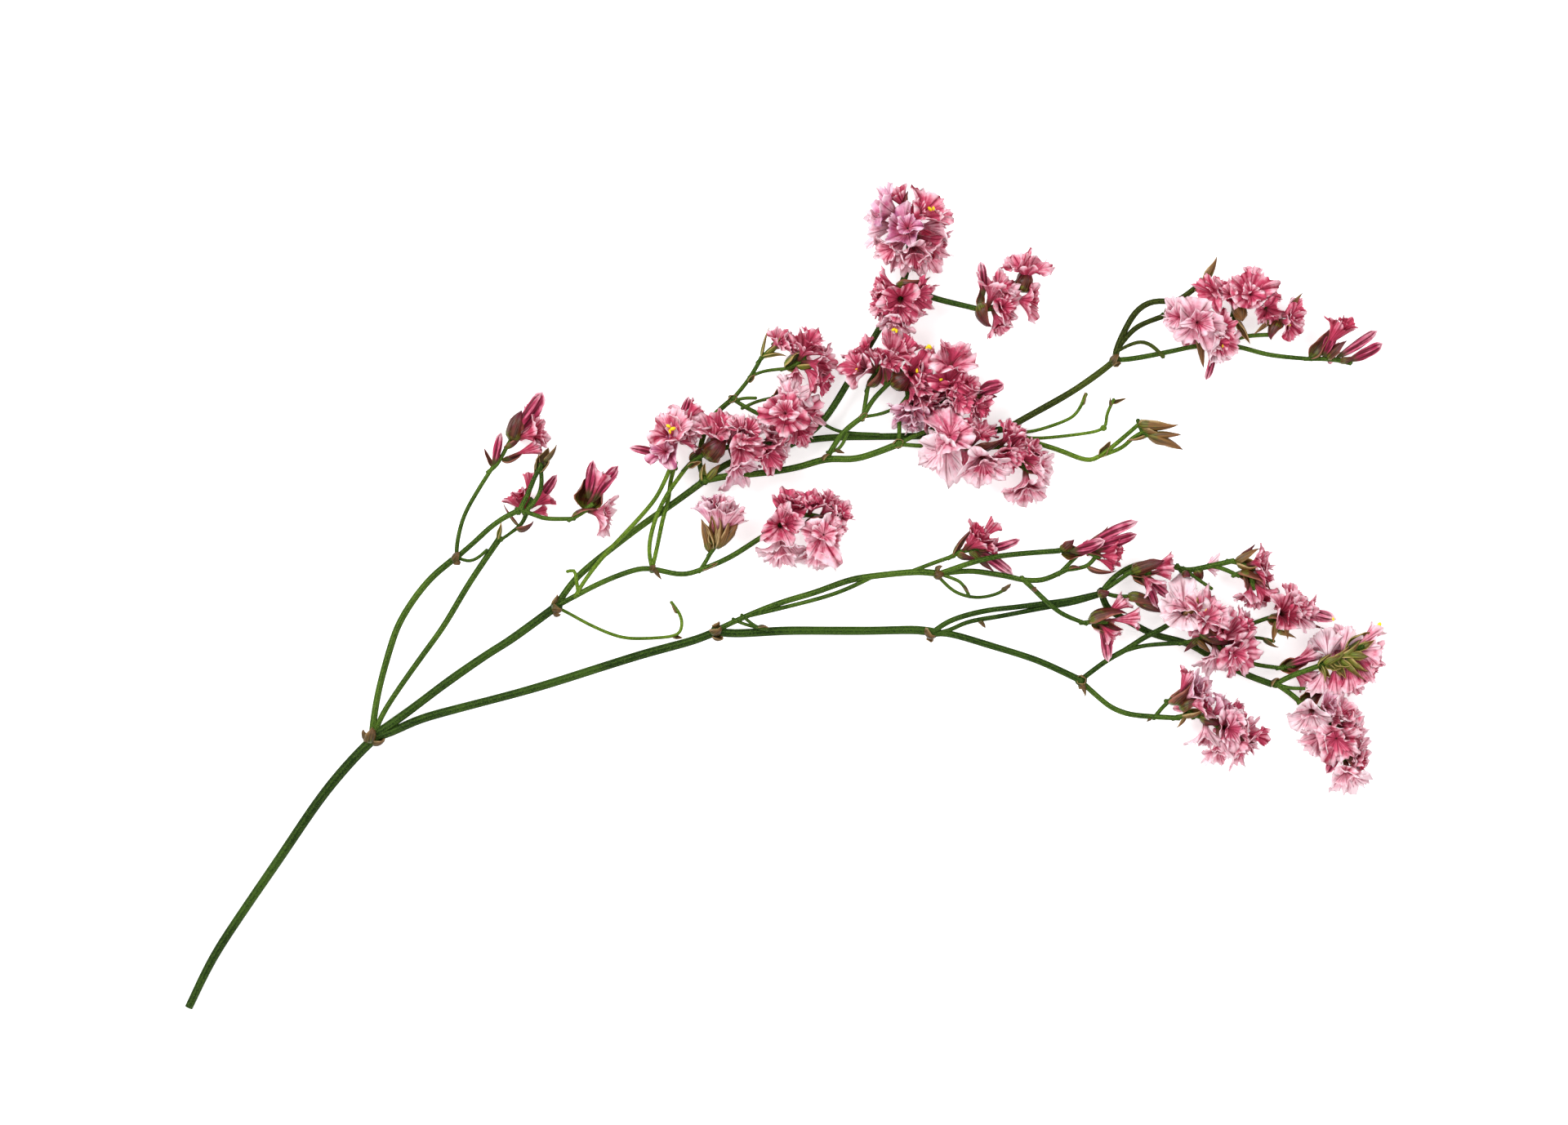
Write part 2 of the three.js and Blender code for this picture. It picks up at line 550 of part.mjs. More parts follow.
grow('lower_right_twigs', LEAF_GREEN, {
  stems: [
    [SIDE_BRANCH, SIDE_BRANCH, [
      [70.3, 1.2, 6.2], [73, 4.4, 5.6], [77.4, 7, 4.6], [82, 7.6, 4.2], [86.8, 6.6, 5], [89.4, 6, 6],
      [93.3, 6.7, 6.6], [98.5, 7.9, 7],
    ]],
    [TWIG, TWIG, [[70.3, 1.2, 6.2], [73.2, 3.2, 6.7], [76, 5.2, 7]]],
    [TWIG, TWIG, [[70.3, 1.2, 6.2], [73.4, 0.2, 6.3], [76.4, 0.2, 6.4]]],
    [TWIG, TWIG, [[94.4, 6.9, 6.6], [97, 6.3, 6.6], [99.8, 5, 6.8]]],
    [TWIG, FINE_TWIG, [[88.8, 6, 5.8], [90.6, 4.6, 6], [93.9, 2.3, 6.2]]],
    [TWIG, TWIG, [[87.4, 6.5, 5.2], [88.6, 4.6, 5.4], [90.4, 2.4, 5.2]]],
  ],
  knots: [[...PAIR_FORK, BRANCH_KNOT], [88.8, 5.8, 5.8, TWIG_KNOT]],
  blooms: [
    ['bract', [76, 0.4, 6.4], [82, -1.4, 7.2], 1.7],
    ['bud', [77.6, -0.6, 6.3], [84.2, -3.4, 6.8], 1.4],
    ['funnel', [92.2, 6.5, 6.6], [95.4, 7, 4.4], 2.2],
    ['bud', [91.2, 6.4, 6.3], [92.4, 3.9, 5], 1.2],
  ],
});

grow('lower_diagonal_branch', DARK_GREEN, {
  stems: [[BRANCH, BRANCH, [
    [70.3, 1, 6], [71.4, -2, 4.6], [74, -4, 4], [78.1, -6.3, 4], [82.4, -8.4, 4.4], [89.4, -10.2, 4.4],
    [95, -13.4, 4], [102.1, -17, 4.6], [107.1, -18.9, 5.3],
  ]]],
});

grow('lower_end_twigs', LEAF_GREEN, {
  stems: [
    [SIDE_BRANCH, SIDE_BRANCH, [[108.8, -19.1, 5.4], [112, -17.4, 6.2], [117, -15.5, 7.2]]],
    [SIDE_BRANCH, SIDE_BRANCH, [[108.8, -19.1, 5.4], [111.6, -21, 5.6], [114.4, -23.4, 6]]],
    [TWIG, FINE_TWIG, [[108.8, -19.1, 5.4], [111.4, -20, 6], [114.6, -20.1, 6.6]]],
  ],
  knots: [[108.8, -19.1, 5.4, BRANCH_KNOT]],
});

grow('lower_outer_twigs', LEAF_GREEN, {
  stems: [
    [TWIG, TWIG, [[94.6, -13.2, 4], [98, -10, 3.4], [102, -6.6, 4], [106.4, -4.8, 5.8]]],
    [FINE_TWIG, FINE_TWIG, [[98, -10, 3.4], [104, -8.9, 4.6], [107.6, -9.6, 5.4]]],
    [TWIG, TWIG, [[95.8, -12.1, 3.8], [100, -13.4, 3.4], [104.4, -14.9, 4.6], [109.6, -15.6, 5.8]]],
  ],
  blooms: [['bract', [106, -9.2, 5], [109.2, -10.9, 5.6], 0.8]],
});

grow('lowest_twigs', LEAF_GREEN, {
  stems: [
    [SIDE_BRANCH, SIDE_BRANCH, [
      [65.8, -18.6, 4.8], [70.7, -23, 4.8], [73.7, -24.9, 5], [78, -26.1, 5.4], [86.6, -26.6, 6.2],
    ]],
    [TWIG, TWIG, [[82.2, -26.2, 5.8], [83.4, -24.6, 6.2], [85, -23, 6.6]]],
  ],
  blooms: [['bract', [81.6, -26.4, 5.6], [80.2, -27.4, 5.8], 0.4]],
});

grow('lowest_rising_twigs', DARK_GREEN, {
  stems: [
    [SIDE_BRANCH, SIDE_BRANCH, [
      [65.8, -18.2, 5], [71.5, -13.9, 5.4], [75.4, -11.7, 5.8], [79.6, -8.9, 6.4], [83.4, -7, 6.6],
      [86.2, -5.2, 6.8],
    ]],
    [TWIG, TWIG, [[74.4, -12.2, 5.7], [78.1, -11, 6], [82.4, -10.4, 6.2], [88, -10.1, 6.6]]],
  ],
});

// --- The flower spikes. Each is one rachis with its flowers, buds and bracts --------------------

grow('spike_left_top', PETAL_PINK, {
  stems: [[TWIG, TWIG, [
    [-64.6, 28, 6.9], [-63.2, 29.2, 7], [-61.5, 32, 7.2], [-60.2, 34.4, 7.4], [-58.5, 36.5, 7.4],
  ]]],
  blooms: [
    ['bud', [-63.8, 28.8, 7], [-62.2, 36, 8.4], 1.2],
    ['bract', [-63.9, 28.7, 7], [-65.9, 32.6, 7.2], 0.7],
    ['bract', [-60, 34.6, 7.4], [-57.5, 40.8, 8.6], 2.2],
    ['bud', [-60, 35, 7.5], [-53.2, 44.7, 9], 2.3],
    ['funnel', [-59.6, 36, 7], [-55.2, 41, 6.4], 2],
    ['funnel', [-59.4, 34.9, 7.2], [-53.4, 36.2, 9], 3.2],
    ['funnel', [-60.4, 31, 7], [-53.6, 33.4, 6.4], 2],
    ['bract', [-61.5, 33, 7.2], [-57.4, 35.6, 7.6], 1.2],
    ['bract', [-62, 30.2, 7], [-57.4, 31.4, 6.8], 1.3],
    ['funnel', [-60.2, 34.4, 7.4], [-57.8, 36.6, 1.4], 2.2],
  ],
});

grow('spike_left_middle', PETAL_PINK, {
  stems: [[FINE_TWIG, SIDE_BRANCH, [
    [-60, 14.4, 4.8], [-58, 16, 4.4], [-56.8, 18.4, 4.2], [-56, 21, 4.2],
  ]]],
  blooms: [
    ['bract', [-59, 15.2, 4.6], [-55.2, 16.2, 5.4], 1.4],
    ['bract', [-58.4, 15.8, 4.4], [-61.2, 20.6, 4.4], 0.9],
    ['funnel', [-57, 18, 4.2], [-59.2, 22.4, 4.4], 3.2],
    ['funnel', [-56.4, 19.6, 4.2], [-55.8, 27.4, 5.2], 1.6],
    ['bud', [-56.2, 19.4, 4.2], [-50.2, 26.7, 5], 1.3],
    ['funnel', [-56, 19.6, 4.4], [-51.8, 22.3, 4.8], 2.2],
    ['funnel', [-56.6, 18.4, 4], [-52.4, 19.2, 4], 1.4],
    ['funnel', [-56.6, 18.8, 4], [-57.6, 20.8, 0.9], 1.8],
  ],
});

grow('spike_left_right', PETAL_PINK, {
  stems: [[TWIG, SIDE_BRANCH, [[-46.6, 17.3, 8], [-44.5, 18.5, 7.9], [-42.6, 20, 7.8]]]],
  blooms: [
    ['bract', [-46.4, 17.5, 8], [-41, 19.6, 8.4], 1.4],
    ['bract', [-43.6, 19.4, 7.8], [-41, 26.6, 8.4], 3.4],
    ['funnel', [-42.8, 20.6, 7.8], [-39.4, 27.2, 8.6], 2.5],
    ['bud', [-41.8, 21, 7.8], [-36.5, 28.7, 8.6], 1.6],
    ['bud', [-43, 21.6, 8], [-41.8, 29.8, 9], 1.4],
    ['funnel', [-43, 19, 7], [-38.5, 18, 8.4], 3.9],
    ['funnel', [-42.8, 19.8, 7.8], [-43, 21.6, 1.3], 2.3],
  ],
});

grow('spike_upper_left', PETAL_PINK, {
  stems: [
    [TWIG, SIDE_BRANCH, [[-24.8, 28.6, 7.4], [-24.8, 31, 7.2], [-24, 34.5, 7], [-22.4, 38, 6.8]]],
    [TWIG, TWIG, [[-23.9, 29, 6.6], [-24.6, 31.2, 7]]],
  ],
  blooms: [
    ['flower', [-24.3, 33.5, 7.2], [-24.7, 37.4, 13], 4.3],
    ['funnel', [-23.6, 35.5, 6.8], [-20.8, 39, 9.5], 3.9],
    ['bud', [-23.2, 37.6, 6.8], [-20.9, 44, 6.6], 1],
    ['funnel', [-22.6, 37.6, 6.8], [-19, 42.4, 6.8], 2.1],
    ['funnel', [-24.7, 31, 7.2], [-26, 32.8, 11], 3.9],
    ['funnel', [-24.8, 31, 6.8], [-28.4, 31.8, 7], 2.4],
    ['bud', [-25.6, 31.2, 6.8], [-33.6, 32.9, 7], 1.2],
    ['bud', [-25.4, 32.6, 7], [-24.7, 28.3, 9.2], 1.1],
    ['funnel', [-24, 34.5, 7], [-19.3, 34.4, 8.4], 2.2],
    ['bud', [-24.4, 34, 7], [-29.4, 36.6, 6.6], 0.8],
    ['funnel', [-24.2, 34, 6.8], [-26, 36.6, 1.3], 2.4],
    ['funnel', [-23.8, 35, 6.8], [-21, 35.6, 1.3], 2.2],
  ],
});

grow('spike_upper_middle', PETAL_PINK, {
  stems: [[TWIG, SIDE_BRANCH, [
    [-21.6, 28.2, 7.8], [-19.5, 30.4, 7.5], [-16.5, 31.7, 7.2], [-12.5, 33, 7.2], [-8, 34.5, 7.2],
    [-3.6, 34.2, 7],
  ]]],
  blooms: [
    ['dry', [-21.2, 28.7, 7.8], [-18.2, 29.8, 8.2], 0.8],
    ['bract', [-20.5, 30, 7.4], [-17.4, 32.6, 8.2], 1.3],
    ['bract', [-17, 30.8, 7], [-12.8, 34.8, 9.8], 2.9],
    ['flower', [-15.2, 33, 7.2], [-15.2, 37.8, 10], 4.3],
    ['funnel', [-12, 33.8, 7.2], [-10.5, 38.6, 9.5], 3.2],
    ['funnel', [-9.5, 34.4, 7.4], [-8, 36.6, 11.5], 3.4],
    ['funnel', [-7, 34.4, 7], [-5.3, 38, 8.5], 3.3],
    ['funnel', [-10.2, 33.8, 7.4], [-8, 32.2, 12], 3.9],
    ['flower', [-11.8, 33, 7], [-9.2, 26.8, 9.4], 4.4],
    ['funnel', [-5, 34.2, 7.2], [-1.9, 30.8, 10.5], 3.7],
    ['funnel', [-4.5, 34.2, 7.2], [-1.5, 35.8, 9], 2.8],
    ['funnel', [-4, 34, 6.6], [0.8, 33.2, 7], 2.8],
    ['funnel', [-14.6, 32.4, 6.8], [-13.8, 35.8, 1.3], 2.5],
    ['funnel', [-7.6, 34.4, 6.8], [-6, 32.6, 1.3], 2.5],
  ],
});

grow('spike_upper_star', PETAL_PINK, {
  stems: [
    [TWIG, TWIG, [[-2, 38.9, 6], [0.6, 39.2, 6.3], [2.2, 41, 6.4], [1.4, 43.4, 6.2]]],
    [FINE_TWIG, FINE_TWIG, [[-1.6, 44.1, 6], [1.4, 43.4, 6.2]]],
  ],
  blooms: [
    ['flower', [1.1, 39.6, 6.4], [0.1, 40.3, 13], 4.3],
    ['funnel', [1.3, 42.9, 6.2], [2.7, 46, 8.4], 3.8],
    ['funnel', [2, 40.8, 6.4], [6.6, 41.5, 8.8], 3.8],
    ['funnel', [1.6, 40, 6.2], [4, 36.4, 8.6], 3.7],
    ['bract', [-1.9, 43.8, 6], [0.4, 47, 6.8], 1.2],
    ['bract', [0.8, 44, 6], [0.6, 48.4, 6.4], 0.8],
    ['funnel', [2.1, 41.1, 6.4], [3, 43, 1.3], 2.4],
  ],
});

grow('spike_upper_tuft', PETAL_PINK, {
  stems: [
    [TWIG, TWIG, [[-5.2, 52.2, 6.3], [-3.6, 54, 6.4], [-1.6, 55.6, 6.6]]],
    [FINE_TWIG, SIDE_BRANCH, [[0.2, 50.4, 6.2], [3, 51.4, 6.4], [4.2, 52.8, 6.4]]],
    [TWIG, TWIG, [[-1.6, 55.6, 6.6], [1.4, 54.8, 6], [4.2, 52.8, 6.4]]],
  ],
  blooms: [
    ['bract', [-4.7, 52.8, 6.3], [-2.6, 59, 7], 0.9],
    ['bract', [-4.6, 52.8, 6.4], [0.3, 53.8, 7], 1.1],
    ['bract', [-3.8, 54, 6.4], [-0.8, 57.2, 8], 1.3],
    ['funnel', [-2.8, 54.6, 6.6], [-0.3, 57.2, 9], 2.7],
    ['funnel', [-2.4, 54.8, 6.6], [2, 56, 8], 2.7],
    ['bract', [0.6, 50.4, 6.1], [5.4, 53, 8], 2.3],
    ['bract', [3, 51, 6.2], [7.9, 52.6, 6.8], 1.6],
    ['funnel', [3.4, 52.2, 6.6], [5.7, 56, 9.5], 4],
    ['funnel', [4, 52.6, 6.2], [7.8, 55.4, 6.8], 2.4],
    ['funnel', [4, 52, 6.4], [9.6, 50.8, 8.6], 3.8],
    ['funnel', [3.8, 51.6, 6], [8, 47.4, 7], 3.3],
    ['funnel', [3, 51.4, 6], [2.8, 48.3, 7.4], 1.9],
    ['funnel', [3.6, 52.4, 6.2], [4.6, 54, 1.3], 2.4],
  ],
});

grow('spike_middle_bouquet', PETAL_PINK, {
  stems: [[TWIG, SIDE_BRANCH, [[-16.1, 9.7, 7], [-14.9, 11.4, 7], [-13.9, 14, 7.2]]]],
  blooms: [
    ['dry', [-16.2, 10, 7], [-17.6, 17, 7.4], 1.2],
    ['dry', [-15, 11.4, 7], [-15.4, 16.8, 8.6], 1.4],
    ['dry', [-14.7, 11.2, 7], [-12.6, 16.8, 9], 1.6],
    ['dry', [-14.5, 11.3, 7], [-10.2, 16.2, 8], 1.7],
    ['funnel', [-14.6, 12.6, 7.2], [-16.9, 20.8, 9], 2.9],
    ['funnel', [-14.1, 13, 7.4], [-14.6, 21.2, 11], 2.9],
    ['funnel', [-13.9, 13, 7.4], [-11.7, 19.8, 10.5], 3.3],
    ['funnel', [-13.8, 13, 7.2], [-9.8, 18.2, 8], 2.3],
    ['funnel', [-14.2, 13, 7], [-14.6, 21.6, 6], 2.5],
    ['funnel', [-14, 13.4, 6.8], [-13.6, 17.2, 1.5], 2.3],
  ],
});

grow('spike_middle_ring', PETAL_PINK, {
  stems: [[TWIG, SIDE_BRANCH, [
    [-2.8, 14.5, 7], [0, 16.5, 6.8], [3.5, 18, 6.6], [7, 18, 6.6], [9.6, 16.8, 6.6],
    [9.2, 14.6, 6.6], [7.8, 12, 6.4],
  ]]],
  blooms: [
    ['funnel', [-0.8, 16, 7], [-0.1, 15.5, 12.6], 4.1],
    ['flower', [-1.2, 15.6, 6.4], [-0.2, 10, 7.6], 4.6],
    ['funnel', [0.8, 16.9, 7], [2, 20.6, 9.6], 4.2],
    ['funnel', [3, 17.8, 6.8], [3.8, 22, 8], 2.8],
    ['funnel', [5.6, 18, 6.6], [7, 21.6, 9], 3.2],
    ['funnel', [8, 17.6, 6.6], [10.6, 20.8, 9], 2.9],
    ['funnel', [9.5, 16.8, 6.6], [13, 19.2, 8.6], 3.2],
    ['funnel', [9.6, 15.8, 6.6], [12.6, 15.8, 9.5], 2.6],
    ['flower', [8.6, 13.8, 6.8], [8.9, 12.8, 11.8], 4.6],
    ['funnel', [8, 12.4, 6.2], [7.3, 8.2, 7.6], 3.9],
    ['bract', [4.6, 15, 6.4], [9.2, 17.4, 9], 1.9],
    ['bract', [-1.6, 15.4, 6.9], [-0.6, 20.8, 7.2], 1.5],
    ['funnel', [2.6, 17.6, 6.4], [2, 19.6, 1.3], 2.4],
    ['funnel', [9, 16.4, 6.4], [10.6, 14.8, 1.3], 2.4],
  ],
});

grow('spike_top', PETAL_PINK, {
  stems: [[SIDE_BRANCH, SIDE_BRANCH, [
    [28, 79, 6.4], [28, 82, 6.8], [28, 84.6, 7],
  ]]],
  blooms: [
    ['flower', [27.6, 82.6, 7], [21, 86.6, 9], 4.7],
    ['funnel', [27.6, 82, 6.6], [19, 81.2, 8], 3.7],
    ['funnel', [27.8, 84, 7], [25, 89.4, 8.6], 2.4],
    ['bract', [28.2, 82, 8], [26.6, 88.8, 9.6], 2],
    ['dry', [28, 81.6, 7.6], [29.8, 84.6, 10], 0.9],
    ['flower', [28.4, 82.4, 7.2], [32.6, 85.6, 11.6], 4.5],
    ['funnel', [28, 80, 6.6], [26.3, 81.2, 13.4], 4],
    ['funnel', [28.4, 81.6, 6.8], [35.4, 82, 8], 3.4],
    ['funnel', [28.2, 80, 6.6], [35.2, 77.6, 8], 3.3],
    ['funnel', [28, 79.6, 7], [23, 75.2, 10.6], 3.9],
    ['funnel', [28.2, 79.4, 7.2], [28.7, 74.2, 12], 3.9],
    ['funnel', [28.4, 79.6, 7], [33.2, 74.2, 9.6], 4],
    ['funnel', [28, 82.6, 6.6], [24.8, 82.6, 1.3], 2.5],
    ['funnel', [28, 82.6, 6.6], [31.4, 80.6, 1.3], 2.5],
  ],
});

grow('spike_top_low', PETAL_PINK, {
  stems: [[TWIG, SIDE_BRANCH, [[26.6, 69.6, 6.8], [26, 67, 7.4], [25.6, 63.6, 7.2]]]],
  blooms: [
    ['bract', [25, 69, 6.8], [32, 69.4, 8.6], 1.8],
    ['funnel', [26, 68, 7], [21.2, 69.2, 8.4], 2.9],
    ['funnel', [25.8, 66, 7.2], [21.2, 65, 9.4], 3.5],
    ['funnel', [25.9, 66.2, 7.4], [25.6, 64.4, 12.6], 4.2],
    ['funnel', [26.2, 67.4, 7.2], [31, 66, 9.4], 3.9],
    ['funnel', [25.8, 64.6, 7], [28.2, 60.8, 8], 3],
    ['funnel', [25.6, 64, 7], [24.4, 59.6, 9.4], 3.3],
  ],
});

grow('spike_top_side', PETAL_PINK, {
  stems: [[SIDE_BRANCH, SIDE_BRANCH, [
    [42.2, 63.8, 6.6], [45, 63.4, 7], [48, 65, 7], [51, 67, 7], [53.6, 69, 7],
  ]]],
  blooms: [
    ['bract', [43.4, 64.8, 7], [46, 59.9, 8.6], 2.3],
    ['bract', [43.2, 63.6, 6.6], [43.8, 69, 7], 1.2],
    ['flower', [45, 63.8, 7.2], [46.8, 69.2, 9.6], 4.3],
    ['bud', [44.2, 66, 7.4], [43.5, 73.6, 7.6], 1.2],
    ['funnel', [46, 63.8, 7.2], [49.4, 63.8, 10.6], 3.4],
    ['funnel', [49.8, 66, 7], [55.2, 64.7, 8.6], 3.5],
    ['funnel', [46, 63.6, 6.6], [48, 59.4, 7.6], 3],
    ['bract', [52.2, 67.4, 7], [54.2, 71.6, 8], 2.3],
    ['flower', [53, 68.4, 7], [53.8, 73.4, 8.6], 4.5],
    ['funnel', [46.4, 64, 6.8], [48.4, 66.4, 1.3], 2.5],
  ],
});

grow('spike_centre_left', PETAL_PINK, {
  stems: [
    [TWIG, SIDE_BRANCH, [
      [18.6, 46, 7], [20, 49, 7], [22, 51.4, 7], [25, 50.6, 7], [27, 48, 7.2], [27.5, 44.5, 7],
      [28.3, 41.8, 7],
    ]],
    [TWIG, TWIG, [[25.4, 41.6, 7], [27.2, 44, 7]]],
    [TWIG, TWIG, [[23.2, 47.2, 7.4], [25.8, 47.6, 7.2], [27, 48, 7.2]]],
  ],
  blooms: [
    ['funnel', [20.2, 49.6, 7], [15.8, 50.5, 11], 3.7],
    ['funnel', [20.4, 49.8, 7], [16.4, 55.2, 8.4], 3.3],
    ['bract', [18.6, 46.6, 6.8], [21.6, 50.8, 8.2], 2.1],
    ['bract', [20.2, 49.4, 6.8], [17.2, 52.8, 8], 0.9],
    ['funnel', [20.6, 50, 7], [20.6, 54.2, 8.6], 2.6],
    ['flower', [22.6, 51, 7], [25.4, 55.4, 10.6], 4.4],
    ['funnel', [22.8, 51, 6.8], [23.8, 52.4, 10.8], 2.8],
    ['funnel', [24.4, 50.8, 6.6], [28.8, 56.4, 7.6], 2.2],
    ['bract', [24, 46.6, 7.4], [28.2, 49, 9.8], 2.5],
    ['funnel', [26.4, 48.6, 7.4], [29.6, 50, 12.4], 3.4],
    ['bract', [23, 47.2, 7.4], [23.1, 51, 9], 0.8],
    ['funnel', [27.3, 45.8, 7.2], [31.4, 45.9, 11], 3.9],
    ['funnel', [27.8, 43.2, 7], [27.7, 39.8, 9.6], 4],
    ['funnel', [28.1, 42.6, 7], [33, 41, 9.6], 3.5],
    ['funnel', [22.6, 51.3, 7], [22.6, 49, 1.3], 2.4],
    ['funnel', [27.2, 46.6, 6.8], [28.6, 48.6, 1.3], 2.4],
  ],
});

grow('spike_centre_right', PETAL_PINK, {
  stems: [
    [TWIG, SIDE_BRANCH, [[32.6, 36.9, 6.5], [34.8, 40.4, 6.2], [36, 44.6, 6.2], [35.8, 49.6, 6.4]]],
    [TWIG, TWIG, [[35.6, 43, 6.2], [39, 43.6, 6.4], [42.4, 43.9, 6.6]]],
  ],
  blooms: [
    ['funnel', [35.6, 49.4, 6.4], [31.9, 54, 7.6], 1.7],
    ['bract', [35.8, 49, 6.6], [33.4, 53.8, 8], 1.2],
    ['flower', [35.9, 48.8, 6.8], [37.6, 52.8, 10.6], 4.5],
    ['funnel', [36, 46.4, 6.8], [36.4, 48, 11.6], 3.7],
    ['funnel', [37, 44, 6.8], [41.2, 47.4, 10], 3.2],
    ['bud', [42, 43.8, 6.8], [48.3, 46.8, 8.6], 2],
    ['bract', [41.8, 43.7, 6.6], [47, 43.8, 7.4], 1.5],
    ['funnel', [37.8, 43.3, 6.8], [39.2, 43.4, 11.6], 3],
    ['funnel', [40, 43.5, 6.4], [43.6, 41.2, 9], 2.8],
    ['funnel', [39.8, 43.6, 6.4], [42.4, 44.8, 9], 1.8],
    ['funnel', [36, 45.4, 6.2], [38.4, 46.6, 1.3], 2.5],
  ],
});

grow('spike_centre_low', PALE_PINK, {
  stems: [[TWIG, SIDE_BRANCH, [
    [32.9, 33.5, 6.4], [36.4, 33.9, 6.4], [40, 33.2, 6.4], [44, 32.8, 6.4], [48, 33.2, 6.4],
    [51.5, 31.3, 6.4], [53.4, 28, 6.4],
  ]]],
  blooms: [
    ['flower', [36.7, 34, 6.8], [36.9, 36.4, 12.4], 4.9],
    ['flower', [36.4, 33.6, 6.2], [35, 30.6, 9.8], 5.2],
    ['funnel', [41.4, 33.4, 6.4], [44.2, 37.4, 8.6], 3.7],
    ['bract', [41.6, 32.6, 6.8], [48.2, 34.8, 9], 1.8],
    ['flower', [43.6, 32.4, 6.6], [44, 28.2, 11.4], 5],
    ['funnel', [47.8, 33.2, 6.4], [50.6, 37.2, 8.6], 3.4],
    ['funnel', [49, 32.8, 6.6], [51.6, 34, 10], 3],
    ['funnel', [48.6, 32.8, 6.8], [49.4, 30.4, 11], 3],
    ['funnel', [51.8, 30.8, 6.4], [56.2, 32.2, 8.6], 3],
    ['bract', [51.6, 30, 7], [56.4, 26.8, 8.6], 1.6],
    ['funnel', [51.8, 30.6, 7], [54.6, 29.8, 10], 2.2],
    ['funnel', [53, 28.8, 6.4], [58, 28.2, 8], 3.6],
    ['flower', [53.4, 28.2, 6.2], [53.6, 22.8, 8], 4.6],
    ['funnel', [40.6, 33.2, 6.2], [39.6, 31, 1.3], 2.5],
    ['funnel', [50.2, 32.2, 6.2], [52, 33.8, 1.3], 2.5],
  ],
});

grow('spike_right_large', PETAL_PINK, {
  stems: [
    [SIDE_BRANCH, SIDE_BRANCH, [[84.4, 62.2, 6], [88.4, 61.6, 6.2], [92, 59.6, 6.4], [95.2, 58, 6.5]]],
    [TWIG, SIDE_BRANCH, [
      [92.6, 69.6, 6.5], [96, 66.8, 6.6], [99.5, 65.5, 6.6], [103, 65.5, 6.6], [107, 63.6, 6.6],
      [109.6, 60.8, 6.6],
    ]],
    [SIDE_BRANCH, SIDE_BRANCH, [[99.5, 65.5, 6.6], [99, 61.4, 6.5], [95.2, 58, 6.5]]],
  ],
  blooms: [
    ['flower', [90, 60.8, 6.8], [91.2, 60, 12.6], 5],
    ['funnel', [88.6, 61.5, 6.4], [86.6, 62, 9.6], 3.6],
    ['funnel', [95, 58.4, 6.8], [96.8, 60, 11.4], 2.8],
    ['funnel', [95, 58, 6.8], [97, 55.2, 10.6], 3.4],
    ['funnel', [91.6, 59, 7], [95.4, 53.6, 9], 2.4],
    ['funnel', [94.6, 57.8, 6.4], [95.8, 51.6, 7.4], 2.5],
    ['bud', [94.8, 56, 6.8], [93.3, 48.2, 6.8], 1],
    ['dry', [91.8, 59.6, 6.4], [92, 51.2, 7.6], 1.2],
    ['funnel', [96, 66.8, 6.8], [93.2, 67, 10.6], 3.4],
    ['funnel', [98.8, 65.6, 6.8], [98.4, 67.2, 11], 3.3],
    ['flower', [102.2, 65.6, 6.8], [102.8, 67.8, 12], 4.4],
    ['funnel', [102.2, 66, 6.8], [103.4, 72, 9], 2],
    ['funnel', [103.8, 65.3, 6.6], [107.4, 67.6, 8.6], 2.8],
    ['funnel', [105.8, 64.4, 6.6], [107, 62.4, 9.2], 3.2],
    ['dry', [100, 65, 6.8], [101, 61.2, 9], 1.9],
    ['dry', [99.2, 62, 6.8], [102.9, 56.2, 7.6], 1],
    ['dry', [108.6, 62, 6.6], [103.4, 58.8, 6.9], 0.9],
    ['funnel', [109.4, 61, 6.8], [112.4, 60.2, 9.6], 3.3],
    ['funnel', [108.8, 61.8, 6.4], [113, 62.8, 7.8], 3.6],
    ['bract', [109.4, 61, 6.4], [107.6, 56.9, 7.4], 1.8],
    ['dry', [110.6, 62.2, 6.4], [114.4, 66.8, 6.8], 0.8],
    ['dry', [92.8, 69.4, 6.6], [94.9, 75, 7.2], 1.3],
    ['funnel', [91, 60.2, 6.4], [89.6, 57.6, 1.3], 2.5],
    ['funnel', [102.8, 65.5, 6.4], [104, 67.4, 1.3], 2.5],
  ],
});

grow('spike_right_end', PETAL_PINK, {
  stems: [[TWIG, SIDE_BRANCH, [[115.8, 52.6, 6.2], [119, 52.6, 6.4], [122, 52.4, 6.4], [124.4, 51.9, 6.4]]]],
  blooms: [
    ['bract', [116.2, 52.8, 6.4], [120.6, 58.4, 8], 1.9],
    ['funnel', [118.4, 53.4, 6.6], [123, 60, 9], 3],
    ['bud', [119, 52.8, 6.6], [121.2, 58, 7.6], 1.5],
    ['bud', [121.6, 52.6, 6.6], [130.5, 58.5, 8], 1.4],
    ['bract', [120, 52.6, 6.6], [124.2, 56, 8], 1.5],
    ['bud', [124, 52, 6.4], [131.7, 55.7, 7.4], 1.4],
    ['bract', [122.6, 52, 6.2], [126.4, 53.2, 7], 1.1],
    ['funnel', [119.6, 52.6, 6.2], [121.4, 55, 1.3], 2.3],
  ],
});

